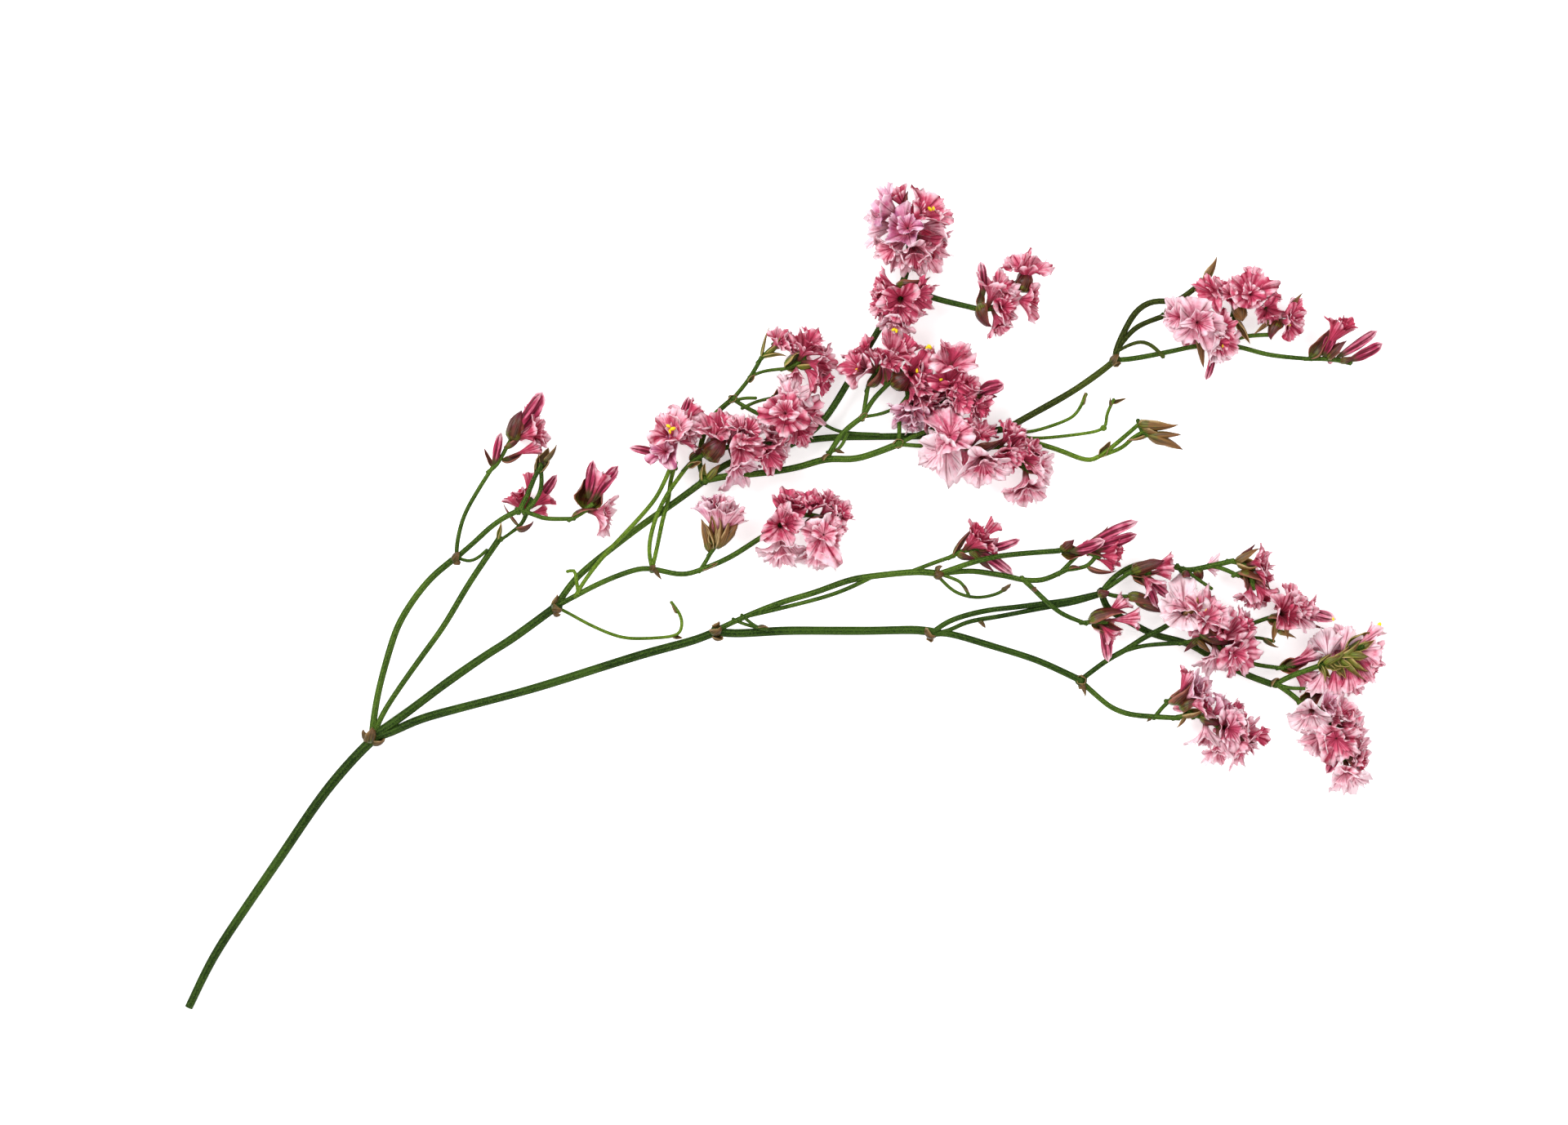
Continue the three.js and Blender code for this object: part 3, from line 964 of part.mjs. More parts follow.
grow('dry_buds', DRY_BROWN, {
  stems: [[TWIG, TWIG, [[78.6, 38.4, 5.2], [79.4, 36.4, 5.2], [81, 35.6, 5.3]]]],
  blooms: [
    ['dry', [78.4, 38.2, 5.2], [86.7, 38, 6.2], 1.6],
    ['dry', [79.2, 37.2, 5.2], [83.4, 36.8, 6.2], 1.1],
    ['dry', [80.4, 35.8, 5.2], [88, 33.4, 6], 1.4],
    ['dry', [80.8, 35.8, 5.4], [87.5, 35.8, 6.4], 1],
    ['dry', [80.6, 35.8, 5], [76.2, 34.3, 5.4], 0.6],
  ],
});

grow('spike_low_first', PETAL_PINK, {
  stems: [[TWIG, SIDE_BRANCH, [[37, 8.9, 6.6], [39.5, 10.2, 6.8], [42.4, 10.6, 6.8]]]],
  blooms: [
    ['bract', [37.6, 9, 6.8], [42, 14.8, 7.8], 1.3],
    ['funnel', [39.6, 10.3, 7], [43.2, 14.2, 9.4], 2.7],
    ['funnel', [40.4, 10.4, 7], [44.8, 12.6, 10.6], 2.4],
    ['funnel', [41.6, 10.6, 7], [46.8, 16.6, 8.6], 1.9],
    ['bract', [38.2, 9.5, 6.7], [42.6, 8.6, 6.6], 1.1],
    ['funnel', [41.6, 10.6, 6.8], [47, 11.2, 8], 1.8],
    ['bud', [42, 10.2, 6.6], [51.8, 12.6, 7.4], 1.3],
    ['bud', [41.6, 10.5, 6.8], [50.3, 5.2, 5.8], 1.5],
    ['bract', [41, 10.4, 6.8], [46.4, 6.2, 5.6], 1.1],
    ['bract', [43, 10.4, 7.4], [46.2, 11.4, 10.4], 0.8],
    ['funnel', [41, 10.4, 6.6], [42.4, 12.4, 1.3], 2.3],
  ],
});

grow('spike_low_buds', PETAL_PINK, {
  stems: [
    [SIDE_BRANCH, SIDE_BRANCH, [[60, 10.2, 8.2], [63, 10.6, 7.8], [66, 10.4, 7.4], [69, 9.2, 7.2]]],
    [TWIG, TWIG, [[62.2, 6, 6.5], [65, 6.4, 6.6], [67.4, 7.2, 6.8], [69, 9.2, 7.2]]],
    [TWIG, TWIG, [[64.6, 9, 7.2], [66, 10.4, 7.4]]],
  ],
  blooms: [
    ['bract', [61.2, 10.4, 7.9], [63.9, 12.7, 9], 1.3],
    ['bract', [61.2, 9.9, 7.9], [66.6, 10, 9.4], 1.8],
    ['bud', [63, 10, 8.2], [70.3, 12.4, 10], 1.6],
    ['bract', [65.8, 10.8, 7.6], [71.6, 15, 8.6], 1.4],
    ['bud', [66.6, 10.8, 7.6], [77.6, 16.5, 9], 1.5],
    ['bud', [67.4, 10.4, 7.4], [77.5, 13.8, 8.2], 1.5],
    ['funnel', [68.4, 9.8, 7.2], [74.2, 10.9, 8.4], 1.9],
    ['funnel', [68.8, 9.2, 7.2], [73.8, 9, 8.8], 2.1],
    ['bract', [65.8, 10, 7], [70.4, 8, 8], 1.4],
    ['funnel', [68.4, 8.8, 6.8], [73, 7, 7.4], 1.4],
    ['bract', [67, 7, 6.4], [73, 5.2, 6.8], 1.5],
    ['bract', [63, 6.2, 6.6], [65.4, 6.6, 7.4], 0.8],
    ['funnel', [68.4, 9.2, 6.8], [69, 11.2, 1.3], 2.3],
  ],
});

grow('spike_low_cross', PETAL_PINK, {
  stems: [[TWIG, SIDE_BRANCH, [[66.2, -5.6, 7.4], [68.5, -5.4, 7.4], [70.6, -5.4, 7.2]]]],
  blooms: [
    ['bract', [67.4, -5.4, 7.4], [75, -3, 9], 2.3],
    ['funnel', [70, -5, 7.6], [75.2, -0.4, 8.4], 1.8],
    ['funnel', [70.4, -5.2, 7.4], [78.2, -4.6, 8.4], 2],
    ['bract', [68, -5.8, 7.2], [74.6, -7.4, 7.8], 1.6],
    ['funnel', [69.4, -5.6, 7.2], [72.8, -9, 7.8], 2.2],
    ['bud', [69.8, -5.8, 7], [71.6, -13.9, 6.8], 1.5],
    ['funnel', [70, -5.4, 7], [71.6, -6.6, 1.3], 2.3],
  ],
});

grow('spike_low_pair', PETAL_PINK, {
  stems: [[TWIG, SIDE_BRANCH, [[76, 5.2, 7], [78, 5.7, 7.2], [80, 5.4, 7.2]]]],
  blooms: [
    ['bract', [76.8, 5.8, 7.2], [83.6, 8.2, 8.8], 1.8],
    ['funnel', [78.6, 5.8, 7.4], [85.6, 7.6, 8.6], 1.9],
    ['funnel', [79.4, 5.6, 7], [85.2, 5.4, 7], 1.6],
    ['bract', [76.6, 5.2, 7], [82.8, 5.5, 8.2], 1.3],
    ['bract', [77.2, 5, 7], [81.2, 2.4, 8], 1.4],
    ['funnel', [78.8, 5.2, 7.2], [82, 1.8, 9.4], 2.5],
    ['bud', [79.2, 5.2, 7], [85.2, 0, 7.6], 1.2],
    ['bud', [78.8, 5, 7], [82.3, -2.1, 7.8], 1.2],
  ],
});

grow('spike_low_centre', PETAL_PINK, {
  stems: [
    [SIDE_BRANCH, SIDE_BRANCH, [
      [86.2, -5.2, 6.8], [88.4, -4, 7], [91, -6, 7], [93.4, -8.4, 7], [96, -10.8, 7], [97.6, -12.4, 7],
    ]],
    [TWIG, TWIG, [[88, -10.1, 6.6], [91, -9.4, 6.8], [93.4, -8.4, 7]]],
  ],
  blooms: [
    ['flower', [88.6, -4, 7], [88.2, -2, 10.4], 5.4],
    ['dry', [88.8, -4.2, 7.4], [89.8, 0, 11.8], 1.8],
    ['flower', [91.2, -6, 7.4], [93.5, -2.4, 12.6], 4.6],
    ['funnel', [91, -6, 7.2], [91, -5.2, 10.8], 2.9],
    ['funnel', [95.4, -10, 7.2], [98.6, -6.2, 10.6], 4.2],
    ['funnel', [95.6, -10.2, 6.8], [102.4, -5.4, 8.4], 3.1],
    ['funnel', [96, -10.6, 6.6], [103, -8.8, 7.4], 2.6],
    ['flower', [96.8, -11.4, 7.4], [100.7, -12.2, 12], 4.6],
    ['funnel', [97, -12, 7], [100, -15.9, 8.6], 2.3],
    ['funnel', [95, -9.8, 6.8], [95.4, -14.8, 8.4], 3.9],
    ['bract', [91.6, -7, 7.6], [98, -9.6, 10], 2.2],
    ['bract', [92.6, -8, 7.2], [97.4, -12.2, 8], 1.6],
    ['dry', [91, -9.2, 7], [93.9, -12, 7.8], 0.9],
    ['bract', [91.6, -9, 6.8], [88.4, -12, 7], 0.9],
    ['funnel', [95, -10, 6.8], [93.6, -8, 1.3], 2.5],
  ],
});

grow('spike_low_upper', PETAL_PINK, {
  stems: [
    [TWIG, SIDE_BRANCH, [[98.5, 7.9, 7], [101, 7.4, 7], [103, 6.4, 7]]],
    [TWIG, SIDE_BRANCH, [[99.8, 5, 6.8], [103, 6.4, 7]]],
    [SIDE_BRANCH, SIDE_BRANCH, [[103, 6.4, 7], [103.4, 3.6, 6.8], [103.6, 2.6, 6.6]]],
  ],
  blooms: [
    ['bract', [100, 7.8, 7], [103.9, 11.5, 7.8], 0.9],
    ['dry', [99.6, 7.8, 7], [105, 9.8, 8.2], 1.2],
    ['dry', [100, 7.5, 7.2], [104.6, 6.8, 8.8], 1.5],
    ['funnel', [102, 7, 7], [106, 8.2, 9.6], 3.2],
    ['bract', [100.2, 5.2, 6.8], [107.2, 2.8, 8.8], 2.1],
    ['funnel', [102.8, 6, 6.6], [106.8, 4.6, 8], 2.9],
    ['funnel', [103.3, 3.8, 6.4], [106.6, -0.4, 7.4], 2.9],
    ['funnel', [103, 3.4, 6.4], [102.6, -1, 7.4], 3.1],
    ['bract', [101.6, 5, 6.6], [102, 0.4, 7], 1],
    ['funnel', [103.1, 5.4, 6.9], [104.4, 4, 1.3], 2.3],
  ],
});

grow('spike_low_right', PETAL_PINK, {
  stems: [[TWIG, SIDE_BRANCH, [[106.4, -4.8, 5.8], [108.5, -4.2, 6.6], [112, -3.6, 6.8]]]],
  blooms: [
    ['bract', [106.8, -4.8, 6.2], [112.2, -6, 7.4], 1.9],
    ['funnel', [108.8, -4, 7], [110.9, -2.8, 12], 4.1],
    ['funnel', [110.4, -3.8, 7], [112.8, 0.8, 9], 3],
    ['funnel', [111, -3.7, 7], [114.6, -3.4, 10], 3.4],
    ['funnel', [111.6, -3.6, 6.8], [117.4, -2.4, 8], 2.4],
    ['bud', [111.2, -4, 6.8], [121.3, -4.8, 8], 1.6],
    ['bract', [110.6, -4.4, 6.4], [119, -6.4, 6.8], 1],
    ['dry', [109, -5, 6.6], [108.4, -9.8, 6.2], 1.1],
    ['dry', [109, -7.4, 6.4], [112.8, -9.4, 6.2], 0.8],
    ['dry', [110.8, -4.8, 6.6], [110.8, -9, 6.2], 0.8],
    ['funnel', [110.4, -4, 6.4], [111.4, -2.2, 1.3], 2.4],
  ],
});

grow('spike_low_end', PALE_PINK, {
  stems: [[SIDE_BRANCH, SIDE_BRANCH, [[117, -15.5, 7.2], [120, -14.3, 7.6], [124, -12.6, 7.8], [127, -11.2, 7.8]]]],
  blooms: [
    ['funnel', [120, -14.3, 7.6], [120.2, -9.8, 5], 3.9],
    ['funnel', [122.8, -13.1, 7.7], [124.8, -8.8, 5], 3.2],
    ['bract', [124, -12, 8], [128.8, -8, 9], 1.9],
    ['funnel', [125.6, -11.6, 7.6], [131, -6.8, 7.4], 2],
    ['funnel', [126, -11.7, 7.8], [130.6, -10.4, 7], 2.4],
    ['funnel', [126, -11.7, 7.8], [130.2, -13, 6.4], 3.2],
    ['funnel', [125, -12.2, 7.8], [130, -15.8, 5.6], 3],
    ['bract', [124, -12.8, 8], [129, -15.4, 8.4], 1.6],
    ['bract', [122.6, -13.3, 8], [128.2, -17.4, 7.8], 1.2],
    ['bract', [121, -14, 8], [124, -17.6, 7.8], 1.1],
    ['bract', [119.4, -14.6, 7.8], [122.4, -17.8, 7.6], 1.1],
    ['bract', [118.2, -15, 7.6], [120.4, -17.6, 7.2], 1],
    ['funnel', [119.4, -14.6, 7.5], [118.8, -19.8, 4.8], 3.4],
    ['funnel', [121.6, -13.7, 7.7], [122, -19.8, 4.8], 3.2],
    ['funnel', [124, -12.6, 7.8], [125.4, -19.2, 5], 3.2],
    ['funnel', [125, -12.2, 7.8], [128.4, -18, 4.8], 2.8],
    ['funnel', [122, -13.5, 7.7], [123.4, -13, 1.3], 2.4],
  ],
});

grow('spike_low_side', PETAL_PINK, {
  stems: [[TWIG, TWIG, [[109.6, -15.6, 5.8], [112, -15.2, 5.6]]]],
  blooms: [
    ['bract', [109.6, -15.6, 5.8], [115.6, -14.4, 6.8], 1.9],
    ['funnel', [111, -15.4, 5.6], [117.6, -11.9, 5.6], 2.2],
    ['funnel', [111, -15.4, 5.7], [116.2, -18.2, 3.6], 2.5],
    ['bud', [110.4, -15.4, 5.8], [119, -12.8, 5.6], 1.2],
  ],
});

grow('spike_lowest', PETAL_PINK, {
  stems: [
    [SIDE_BRANCH, SIDE_BRANCH, [
      [86.6, -26.6, 6.2], [90, -26, 6.6], [93, -26.6, 6.8], [96, -28.5, 6.8], [99, -30.6, 6.8],
    ]],
    [TWIG, SIDE_BRANCH, [[85, -23, 6.6], [87.6, -23.4, 7], [90, -26, 6.6]]],
  ],
  blooms: [
    ['bract', [85.2, -23.4, 6.8], [89, -17.6, 8.8], 2.7],
    ['funnel', [87, -22.4, 7], [89.4, -16.6, 8.6], 2.1],
    ['funnel', [87.6, -22.8, 7.2], [92, -19.8, 11], 3.5],
    ['funnel', [88.4, -23.6, 7.2], [93.4, -23.2, 10.4], 3.4],
    ['bract', [87.6, -23.8, 7.4], [87.9, -20.8, 9.4], 0.6],
    ['bract', [87.4, -24.6, 7], [92.2, -22.6, 8.2], 1.7],
    ['dry', [88, -26.2, 6.8], [93.2, -24.8, 8.6], 1.2],
    ['dry', [88.8, -26.2, 6.6], [86.9, -28.7, 7], 0.6],
    ['bract', [91.8, -26.2, 6.6], [96.2, -27.8, 8], 1.6],
    ['funnel', [93, -26.8, 6.4], [93.4, -32, 6.4], 3.7],
    ['funnel', [95.8, -28.4, 6.6], [96.6, -35.4, 7.4], 3.7],
    ['funnel', [93.4, -26.8, 7], [97.4, -23.8, 8.6], 3],
    ['funnel', [94.8, -27.6, 7], [100.8, -25.2, 9.6], 3.4],
    ['funnel', [96.2, -28.6, 7.2], [98.5, -28.6, 12], 3.8],
    ['funnel', [98.4, -30.2, 7], [103.4, -30, 9.6], 3.3],
    ['bract', [98.6, -30.4, 7.2], [103.6, -31.6, 9.4], 1.3],
    ['funnel', [98.4, -30.4, 7], [101.6, -34.2, 9.4], 3.8],
    ['funnel', [89.4, -25.6, 6.6], [89, -23.4, 1.3], 2.5],
    ['funnel', [96.4, -28.8, 6.6], [98, -30.4, 1.3], 2.5],
  ],
});

grow('spike_lowest_end', PALE_PINK, {
  stems: [[SIDE_BRANCH, SIDE_BRANCH, [
    [114.4, -23.4, 6], [117, -24, 6.6], [120, -26.4, 6.8], [122, -29.4, 6.8], [123.4, -33, 6.8],
    [124, -36.4, 6.8],
  ]]],
  blooms: [
    ['bract', [114.2, -23.2, 6.4], [118.4, -21.4, 8], 2],
    ['flower', [116.8, -24, 6.6], [115.7, -26.6, 10], 4.3],
    ['funnel', [118.2, -25, 6.6], [120.6, -23.4, 9.6], 2.8],
    ['funnel', [119.4, -26, 6.8], [121.6, -26.8, 10.4], 1.6],
    ['funnel', [120.2, -26.8, 6.6], [124.2, -24.6, 8.8], 3.5],
    ['funnel', [121.2, -28.2, 6.6], [126.2, -27.8, 8], 3],
    ['bract', [119.4, -28.6, 7.2], [125.8, -28.8, 9.6], 1.9],
    ['funnel', [122, -29.6, 6.6], [127, -30.8, 8.6], 3.2],
    ['flower', [121.8, -29.4, 7.2], [121.5, -32, 12], 4.6],
    ['funnel', [121, -28.4, 6.4], [117, -32, 8], 3.9],
    ['funnel', [123.4, -33, 6.6], [127.2, -34.6, 7.6], 3.2],
    ['bract', [123.2, -33.6, 7], [126.4, -37.4, 8.8], 1.5],
    ['funnel', [123.8, -35.4, 6.4], [127.4, -37.4, 7.6], 3.3],
    ['bud', [123.4, -33.4, 6.4], [120, -38.7, 6.2], 1.4],
    ['flower', [124, -36.2, 6.8], [124.3, -40.6, 9.4], 4.3],
    ['funnel', [121, -28, 6.4], [120, -25.8, 1.3], 2.5],
    ['funnel', [123.6, -34.4, 6.4], [122.2, -33, 1.3], 2.5],
  ],
});

// The spray's own middle is its origin, on the table.
const bounds = new THREE.Box3().setFromObject(spray);
const centre = bounds.getCenter(new THREE.Vector3());
spray.position.set(-centre.x, -centre.y, -bounds.min.z);

export default spray;
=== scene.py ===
import math

import bpy
import numpy as np
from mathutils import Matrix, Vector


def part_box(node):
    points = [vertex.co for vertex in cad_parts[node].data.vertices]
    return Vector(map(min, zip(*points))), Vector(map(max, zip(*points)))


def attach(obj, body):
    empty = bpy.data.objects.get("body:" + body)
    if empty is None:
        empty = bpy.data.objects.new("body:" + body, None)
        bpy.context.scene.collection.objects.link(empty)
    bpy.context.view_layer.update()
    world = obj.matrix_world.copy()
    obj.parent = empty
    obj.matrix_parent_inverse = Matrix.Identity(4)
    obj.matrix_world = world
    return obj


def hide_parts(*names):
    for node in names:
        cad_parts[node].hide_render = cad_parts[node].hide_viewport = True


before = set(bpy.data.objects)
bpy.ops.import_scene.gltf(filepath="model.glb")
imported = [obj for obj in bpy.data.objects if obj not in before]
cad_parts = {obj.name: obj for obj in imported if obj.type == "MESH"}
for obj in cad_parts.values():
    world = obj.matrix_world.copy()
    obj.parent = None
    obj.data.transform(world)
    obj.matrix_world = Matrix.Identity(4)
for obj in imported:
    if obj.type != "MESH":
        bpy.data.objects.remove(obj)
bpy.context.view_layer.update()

# === Main stem ===
# The green stem that everything grows from, cut off square at its lower end, where it lies on the
# table. Like all the stems it is solid, finely ribbed and a little rough, and it thickens upwards
# to the first fork, where brown papery scales sit in the angles of the four branches.
MM = 0.001
TABLE_GAP = 0.06 * MM
WELD = 1e-7
SHARP_EDGE = math.radians(50)
STEM_RIBS, RIB_HEIGHT = 7, 0.035
STEM_CORNERS = 14
STEM_WAVER = 0.05
STEM_OVERLAP = 0.9
END_BULGE = 0.6
RING_EVERY = 0.45
STEPS_PER_SPAN = 24
EVENED_OVER = 13
LOOK_AHEAD = 0.01

# Routes are drawn in millimetres on a plan of the spray, and the cut end places the plan.
CUT_END_ON_PLAN = np.array([-132.67, -91.47, 0.0])
plan_shift = np.array(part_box("main_stem")[0]) - CUT_END_ON_PLAN * MM


def on_table(points):
    """Plan points, in millimetres, as places in the row frame, in metres."""
    return np.asarray(points, float) * MM + plan_shift


def soft_wave(along, chance, turns=3):
    """A smooth uneven wave from -1 to 1, for what grows unevenly."""
    total = np.zeros_like(along)
    for turn in range(1, turns + 1):
        total += np.sin(2 * math.pi * (turn * along + chance.random())) * chance.uniform(0.4, 1)
    return total / turns


def shaped_sheet(across, along, spots):
    """A flat sheet of faces, whose corners are moved to spots(u, v), with u and v from 0 to 1, and
    none of them lower than the table."""
    bpy.ops.object.select_all(action="DESELECT")
    bpy.ops.mesh.primitive_grid_add(x_subdivisions=across, y_subdivisions=along, size=2)
    sheet = bpy.context.object
    flat = np.empty(3 * len(sheet.data.vertices))
    sheet.data.vertices.foreach_get("co", flat)
    u, v = ((flat.reshape(-1, 3)[:, :2] + 1) / 2).round(6).T
    places = spots(u, v)
    places[:, 2] = np.maximum(places[:, 2], TABLE_GAP)
    sheet.data.vertices.foreach_set("co", places.ravel())
    return sheet


def grown_piece(name, node, finish, parts, thickness=0):
    """One piece of a node: its parts' seams welded, faces turned outwards, and a sheet given its wall."""
    bpy.ops.object.select_all(action="DESELECT")
    for part in parts:
        part.select_set(True)
    bpy.context.view_layer.objects.active = parts[0]
    if len(parts) > 1:
        bpy.ops.object.join()
    piece = bpy.context.object
    piece.name = name
    piece.data.name = name
    bpy.ops.object.mode_set(mode="EDIT")
    bpy.ops.mesh.select_all(action="SELECT")
    bpy.ops.mesh.remove_doubles(threshold=WELD)
    bpy.ops.mesh.normals_make_consistent(inside=False)
    bpy.ops.object.mode_set(mode="OBJECT")
    if thickness:
        wall = piece.modifiers.new("wall", "SOLIDIFY")
        wall.thickness = thickness
        wall.offset = 0
        bpy.ops.object.modifier_apply(modifier="wall")
        bpy.ops.object.shade_smooth()
    else:
        bpy.ops.object.shade_smooth_by_angle(angle=SHARP_EDGE)
    piece.data.materials.append(finish)
    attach(piece, "root")
    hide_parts(node)
    return piece


def chance_at(*places):
    """Chance that is always the same for what grows at these places."""
    return np.random.default_rng([round(abs(10 * number)) for place in places for number in place])


def bent_line(route, along):
    """Places along a smooth line through the route's points, by share of its length."""
    points = on_table(route)
    ends = np.vstack([2 * points[0] - points[1], points, 2 * points[-1] - points[-2]])
    steps = np.linspace(0, len(points) - 1, STEPS_PER_SPAN * (len(points) - 1) + 1)
    left = np.minimum(steps.astype(int), len(points) - 2)
    t = (steps - left)[:, None]
    a, b, c, d = (ends[left + i] for i in range(4))
    line = 0.5 * (2 * b + (c - a) * t + (2 * a - 5 * b + 4 * c - d) * t**2 + (3 * b - a - 3 * c + d) * t**3)
    ends_kept = EVENED_OVER // 2
    share = np.full(EVENED_OVER, 1 / EVENED_OVER)
    for _ in range(2):
        evened = [np.convolve(line[:, i], share, "valid") for i in range(3)]
        line[ends_kept:-ends_kept] = np.stack(evened, axis=1)
    reach = np.concatenate([[0], np.cumsum(np.linalg.norm(np.diff(line, axis=0), axis=1))])
    return np.stack([np.interp(along * reach[-1], reach, line[:, i]) for i in range(3)], axis=1)


def stem(first_width, last_width, route, cut=False):
    """A ribbed stem along a route, rounded at both ends, or cut off square at the first. A stem that
    isn't cut there starts inside what it grows from, and every stem ends inside what it carries."""
    route = np.array(route, float)
    for end, neighbour in ((0, 1), (-1, -2)):
        outwards = (route[end] - route[neighbour]) / np.linalg.norm(route[end] - route[neighbour])
        route[end] += outwards * (0.0 if cut and end == 0 else STEM_OVERLAP)
    span = np.linalg.norm(np.diff(route, axis=0), axis=1).sum()
    rings = max(4, round(span / (RING_EVERY * (first_width + last_width))))

    def spots(u, v):
        along = np.clip((v * (rings + 2) - 1) / rings, 0, 1)
        middle = bent_line(route, along)
        ahead = bent_line(route, np.minimum(along + LOOK_AHEAD, 1))
        ahead = ahead - bent_line(route, np.maximum(along - LOOK_AHEAD, 0))
        ahead /= np.linalg.norm(ahead, axis=1)[:, None]
        side = np.cross(ahead, [0.0, 0.0, 1.0])
        side /= np.linalg.norm(side, axis=1)[:, None]
        top = np.cross(side, ahead)
        turn = 2 * math.pi * u
        width = first_width + (last_width - first_width) * along
        waver = STEM_WAVER * soft_wave(along, chance_at(route[0], route[-1]))
        width = width * (1 + waver + RIB_HEIGHT * np.cos(STEM_RIBS * turn))
        start_cap, end_cap = v < 1e-6, v > 1 - 1e-6
        width = width * MM / 2
        bulge = np.where(end_cap, END_BULGE, 0) - np.where(start_cap & (not cut), END_BULGE, 0)
        middle = middle + (bulge * width)[:, None] * ahead
        width = np.where(start_cap | end_cap, 0, width)
        return middle + width[:, None] * (np.cos(turn)[:, None] * side + np.sin(turn)[:, None] * top)

    return shaped_sheet(STEM_CORNERS, rings + 2, spots)


SWELLING_SIZE = 0.43
SWELLING_SHAPE = (1.0, 0.92, 0.84)


def swelling(x, y, z, width):
    """The thick joint at a fork."""
    bpy.ops.object.select_all(action="DESELECT")
    bpy.ops.mesh.primitive_uv_sphere_add(
        segments=14, ring_count=10, radius=SWELLING_SIZE * width * MM, location=on_table([x, y, z])
    )
    bpy.context.object.scale = SWELLING_SHAPE
    bpy.ops.object.transform_apply(location=True, rotation=True, scale=True)
    return bpy.context.object


def wired(tree, kind, *inputs, **settings):
    """A shader node with its settings made and its inputs filled, each a value or another's output."""
    made = tree.nodes.new(kind)
    for name, value in settings.items():
        setattr(made, name, value)
    for socket, value in zip(made.inputs, inputs):
        if isinstance(value, bpy.types.NodeSocket):
            tree.links.new(value, socket)
        elif value is not None:
            socket.default_value = value
    return made


def sums(tree, operation, first, second=0.0, third=0.0):
    """A sum on values in a shader."""
    return wired(tree, "ShaderNodeMath", first, second, third, operation=operation).outputs[0]


def faded(tree, value, start, end, low=0.0, high=1.0):
    """A value that goes smoothly from low to high as another goes from start to end."""
    return wired(
        tree, "ShaderNodeMapRange", value, start, end, low, high, interpolation_type="SMOOTHSTEP"
    ).outputs[0]


def blended(tree, share, first, second):
    """Two colours blended by a share."""
    mix = wired(tree, "ShaderNodeMix", data_type="RGBA")
    for socket, value in ((mix.inputs[0], share), (mix.inputs[6], first), (mix.inputs[7], second)):
        if isinstance(value, bpy.types.NodeSocket):
            tree.links.new(value, socket)
        else:
            socket.default_value = value
    return mix.outputs[2]


def effect(name, inputs, outputs):
    """An empty shader node group with named inputs and outputs, and its two end nodes."""
    group = bpy.data.node_groups.new(name, "ShaderNodeTree")
    for label, kind in inputs:
        group.interface.new_socket(label, in_out="INPUT", socket_type=kind)
    for label, kind in outputs:
        group.interface.new_socket(label, in_out="OUTPUT", socket_type=kind)
    return group, group.nodes.new("NodeGroupInput"), group.nodes.new("NodeGroupOutput")


# Skin of every stem: long pale ribs, darker hollows between them, and fine pale pores. The sizes of
# patterns are counted in repeats to the metre.
COLOUR, VALUE = "NodeSocketColor", "NodeSocketFloat"
stem_skin, ins, outs = effect(
    "stem_skin",
    [("Dark", COLOUR), ("Light", COLOUR), ("Pore", COLOUR)],
    [("Colour", COLOUR), ("Roughness", VALUE), ("Height", VALUE)],
)
place = wired(stem_skin, "ShaderNodeTexCoord")
PATCHES, GRAINS, PORES = 90.0, 2600.0, 3400.0
patches = wired(stem_skin, "ShaderNodeTexNoise", place.outputs["Object"], None, PATCHES, 3.0)
grain = wired(stem_skin, "ShaderNodeTexNoise", place.outputs["Object"], None, GRAINS, 4.0)
pores = wired(stem_skin, "ShaderNodeTexVoronoi", place.outputs["Object"], None, PORES)
around = wired(stem_skin, "ShaderNodeSeparateXYZ", place.outputs["UV"]).outputs[0]
ribs = sums(stem_skin, "COSINE", sums(stem_skin, "MULTIPLY", around, 2 * math.pi * STEM_RIBS))
light = faded(stem_skin, patches.outputs[0], 0.3, 0.7, 0.25, 0.75)
light = sums(stem_skin, "MULTIPLY_ADD", ribs, 0.2, light)
light = sums(stem_skin, "MULTIPLY_ADD", grain.outputs[0], 1.6, sums(stem_skin, "SUBTRACT", light, 0.85))
skin = blended(stem_skin, faded(stem_skin, light, 0.0, 1.0), ins.outputs[0], ins.outputs[1])
dots = faded(stem_skin, pores.outputs[0], 0.4, 0.15, 0.0, 0.5)
skin = blended(stem_skin, dots, skin, ins.outputs[2])
stem_skin.links.new(skin, outs.inputs[0])
stem_skin.links.new(faded(stem_skin, grain.outputs[0], 0.3, 0.7, 0.5, 0.75), outs.inputs[1])
stem_skin.links.new(sums(stem_skin, "ADD", grain.outputs[0], dots), outs.inputs[2])


BUMP_DEPTH = 0.0002
STEM_GLOSS, BRACT_GLOSS = 0.07, 0.26


def stem_green(name, dark, light, pore):
    """The finish of a stem, from the darkest green of its hollows to the green of its ribs."""
    finish = bpy.data.materials.new(name)
    finish.use_nodes = True
    tree = finish.node_tree
    shader = tree.nodes["Principled BSDF"]
    look = tree.nodes.new("ShaderNodeGroup")
    look.node_tree = stem_skin
    for socket, colour in zip(look.inputs, (dark, light, pore)):
        socket.default_value = colour
    bump = wired(tree, "ShaderNodeBump", 0.35, BUMP_DEPTH)
    tree.links.new(look.outputs["Height"], bump.inputs["Height"])
    tree.links.new(look.outputs["Colour"], shader.inputs["Base Color"])
    tree.links.new(look.outputs["Roughness"], shader.inputs["Roughness"])
    tree.links.new(bump.outputs[0], shader.inputs["Normal"])
    shader.inputs["Specular IOR Level"].default_value = STEM_GLOSS
    return finish


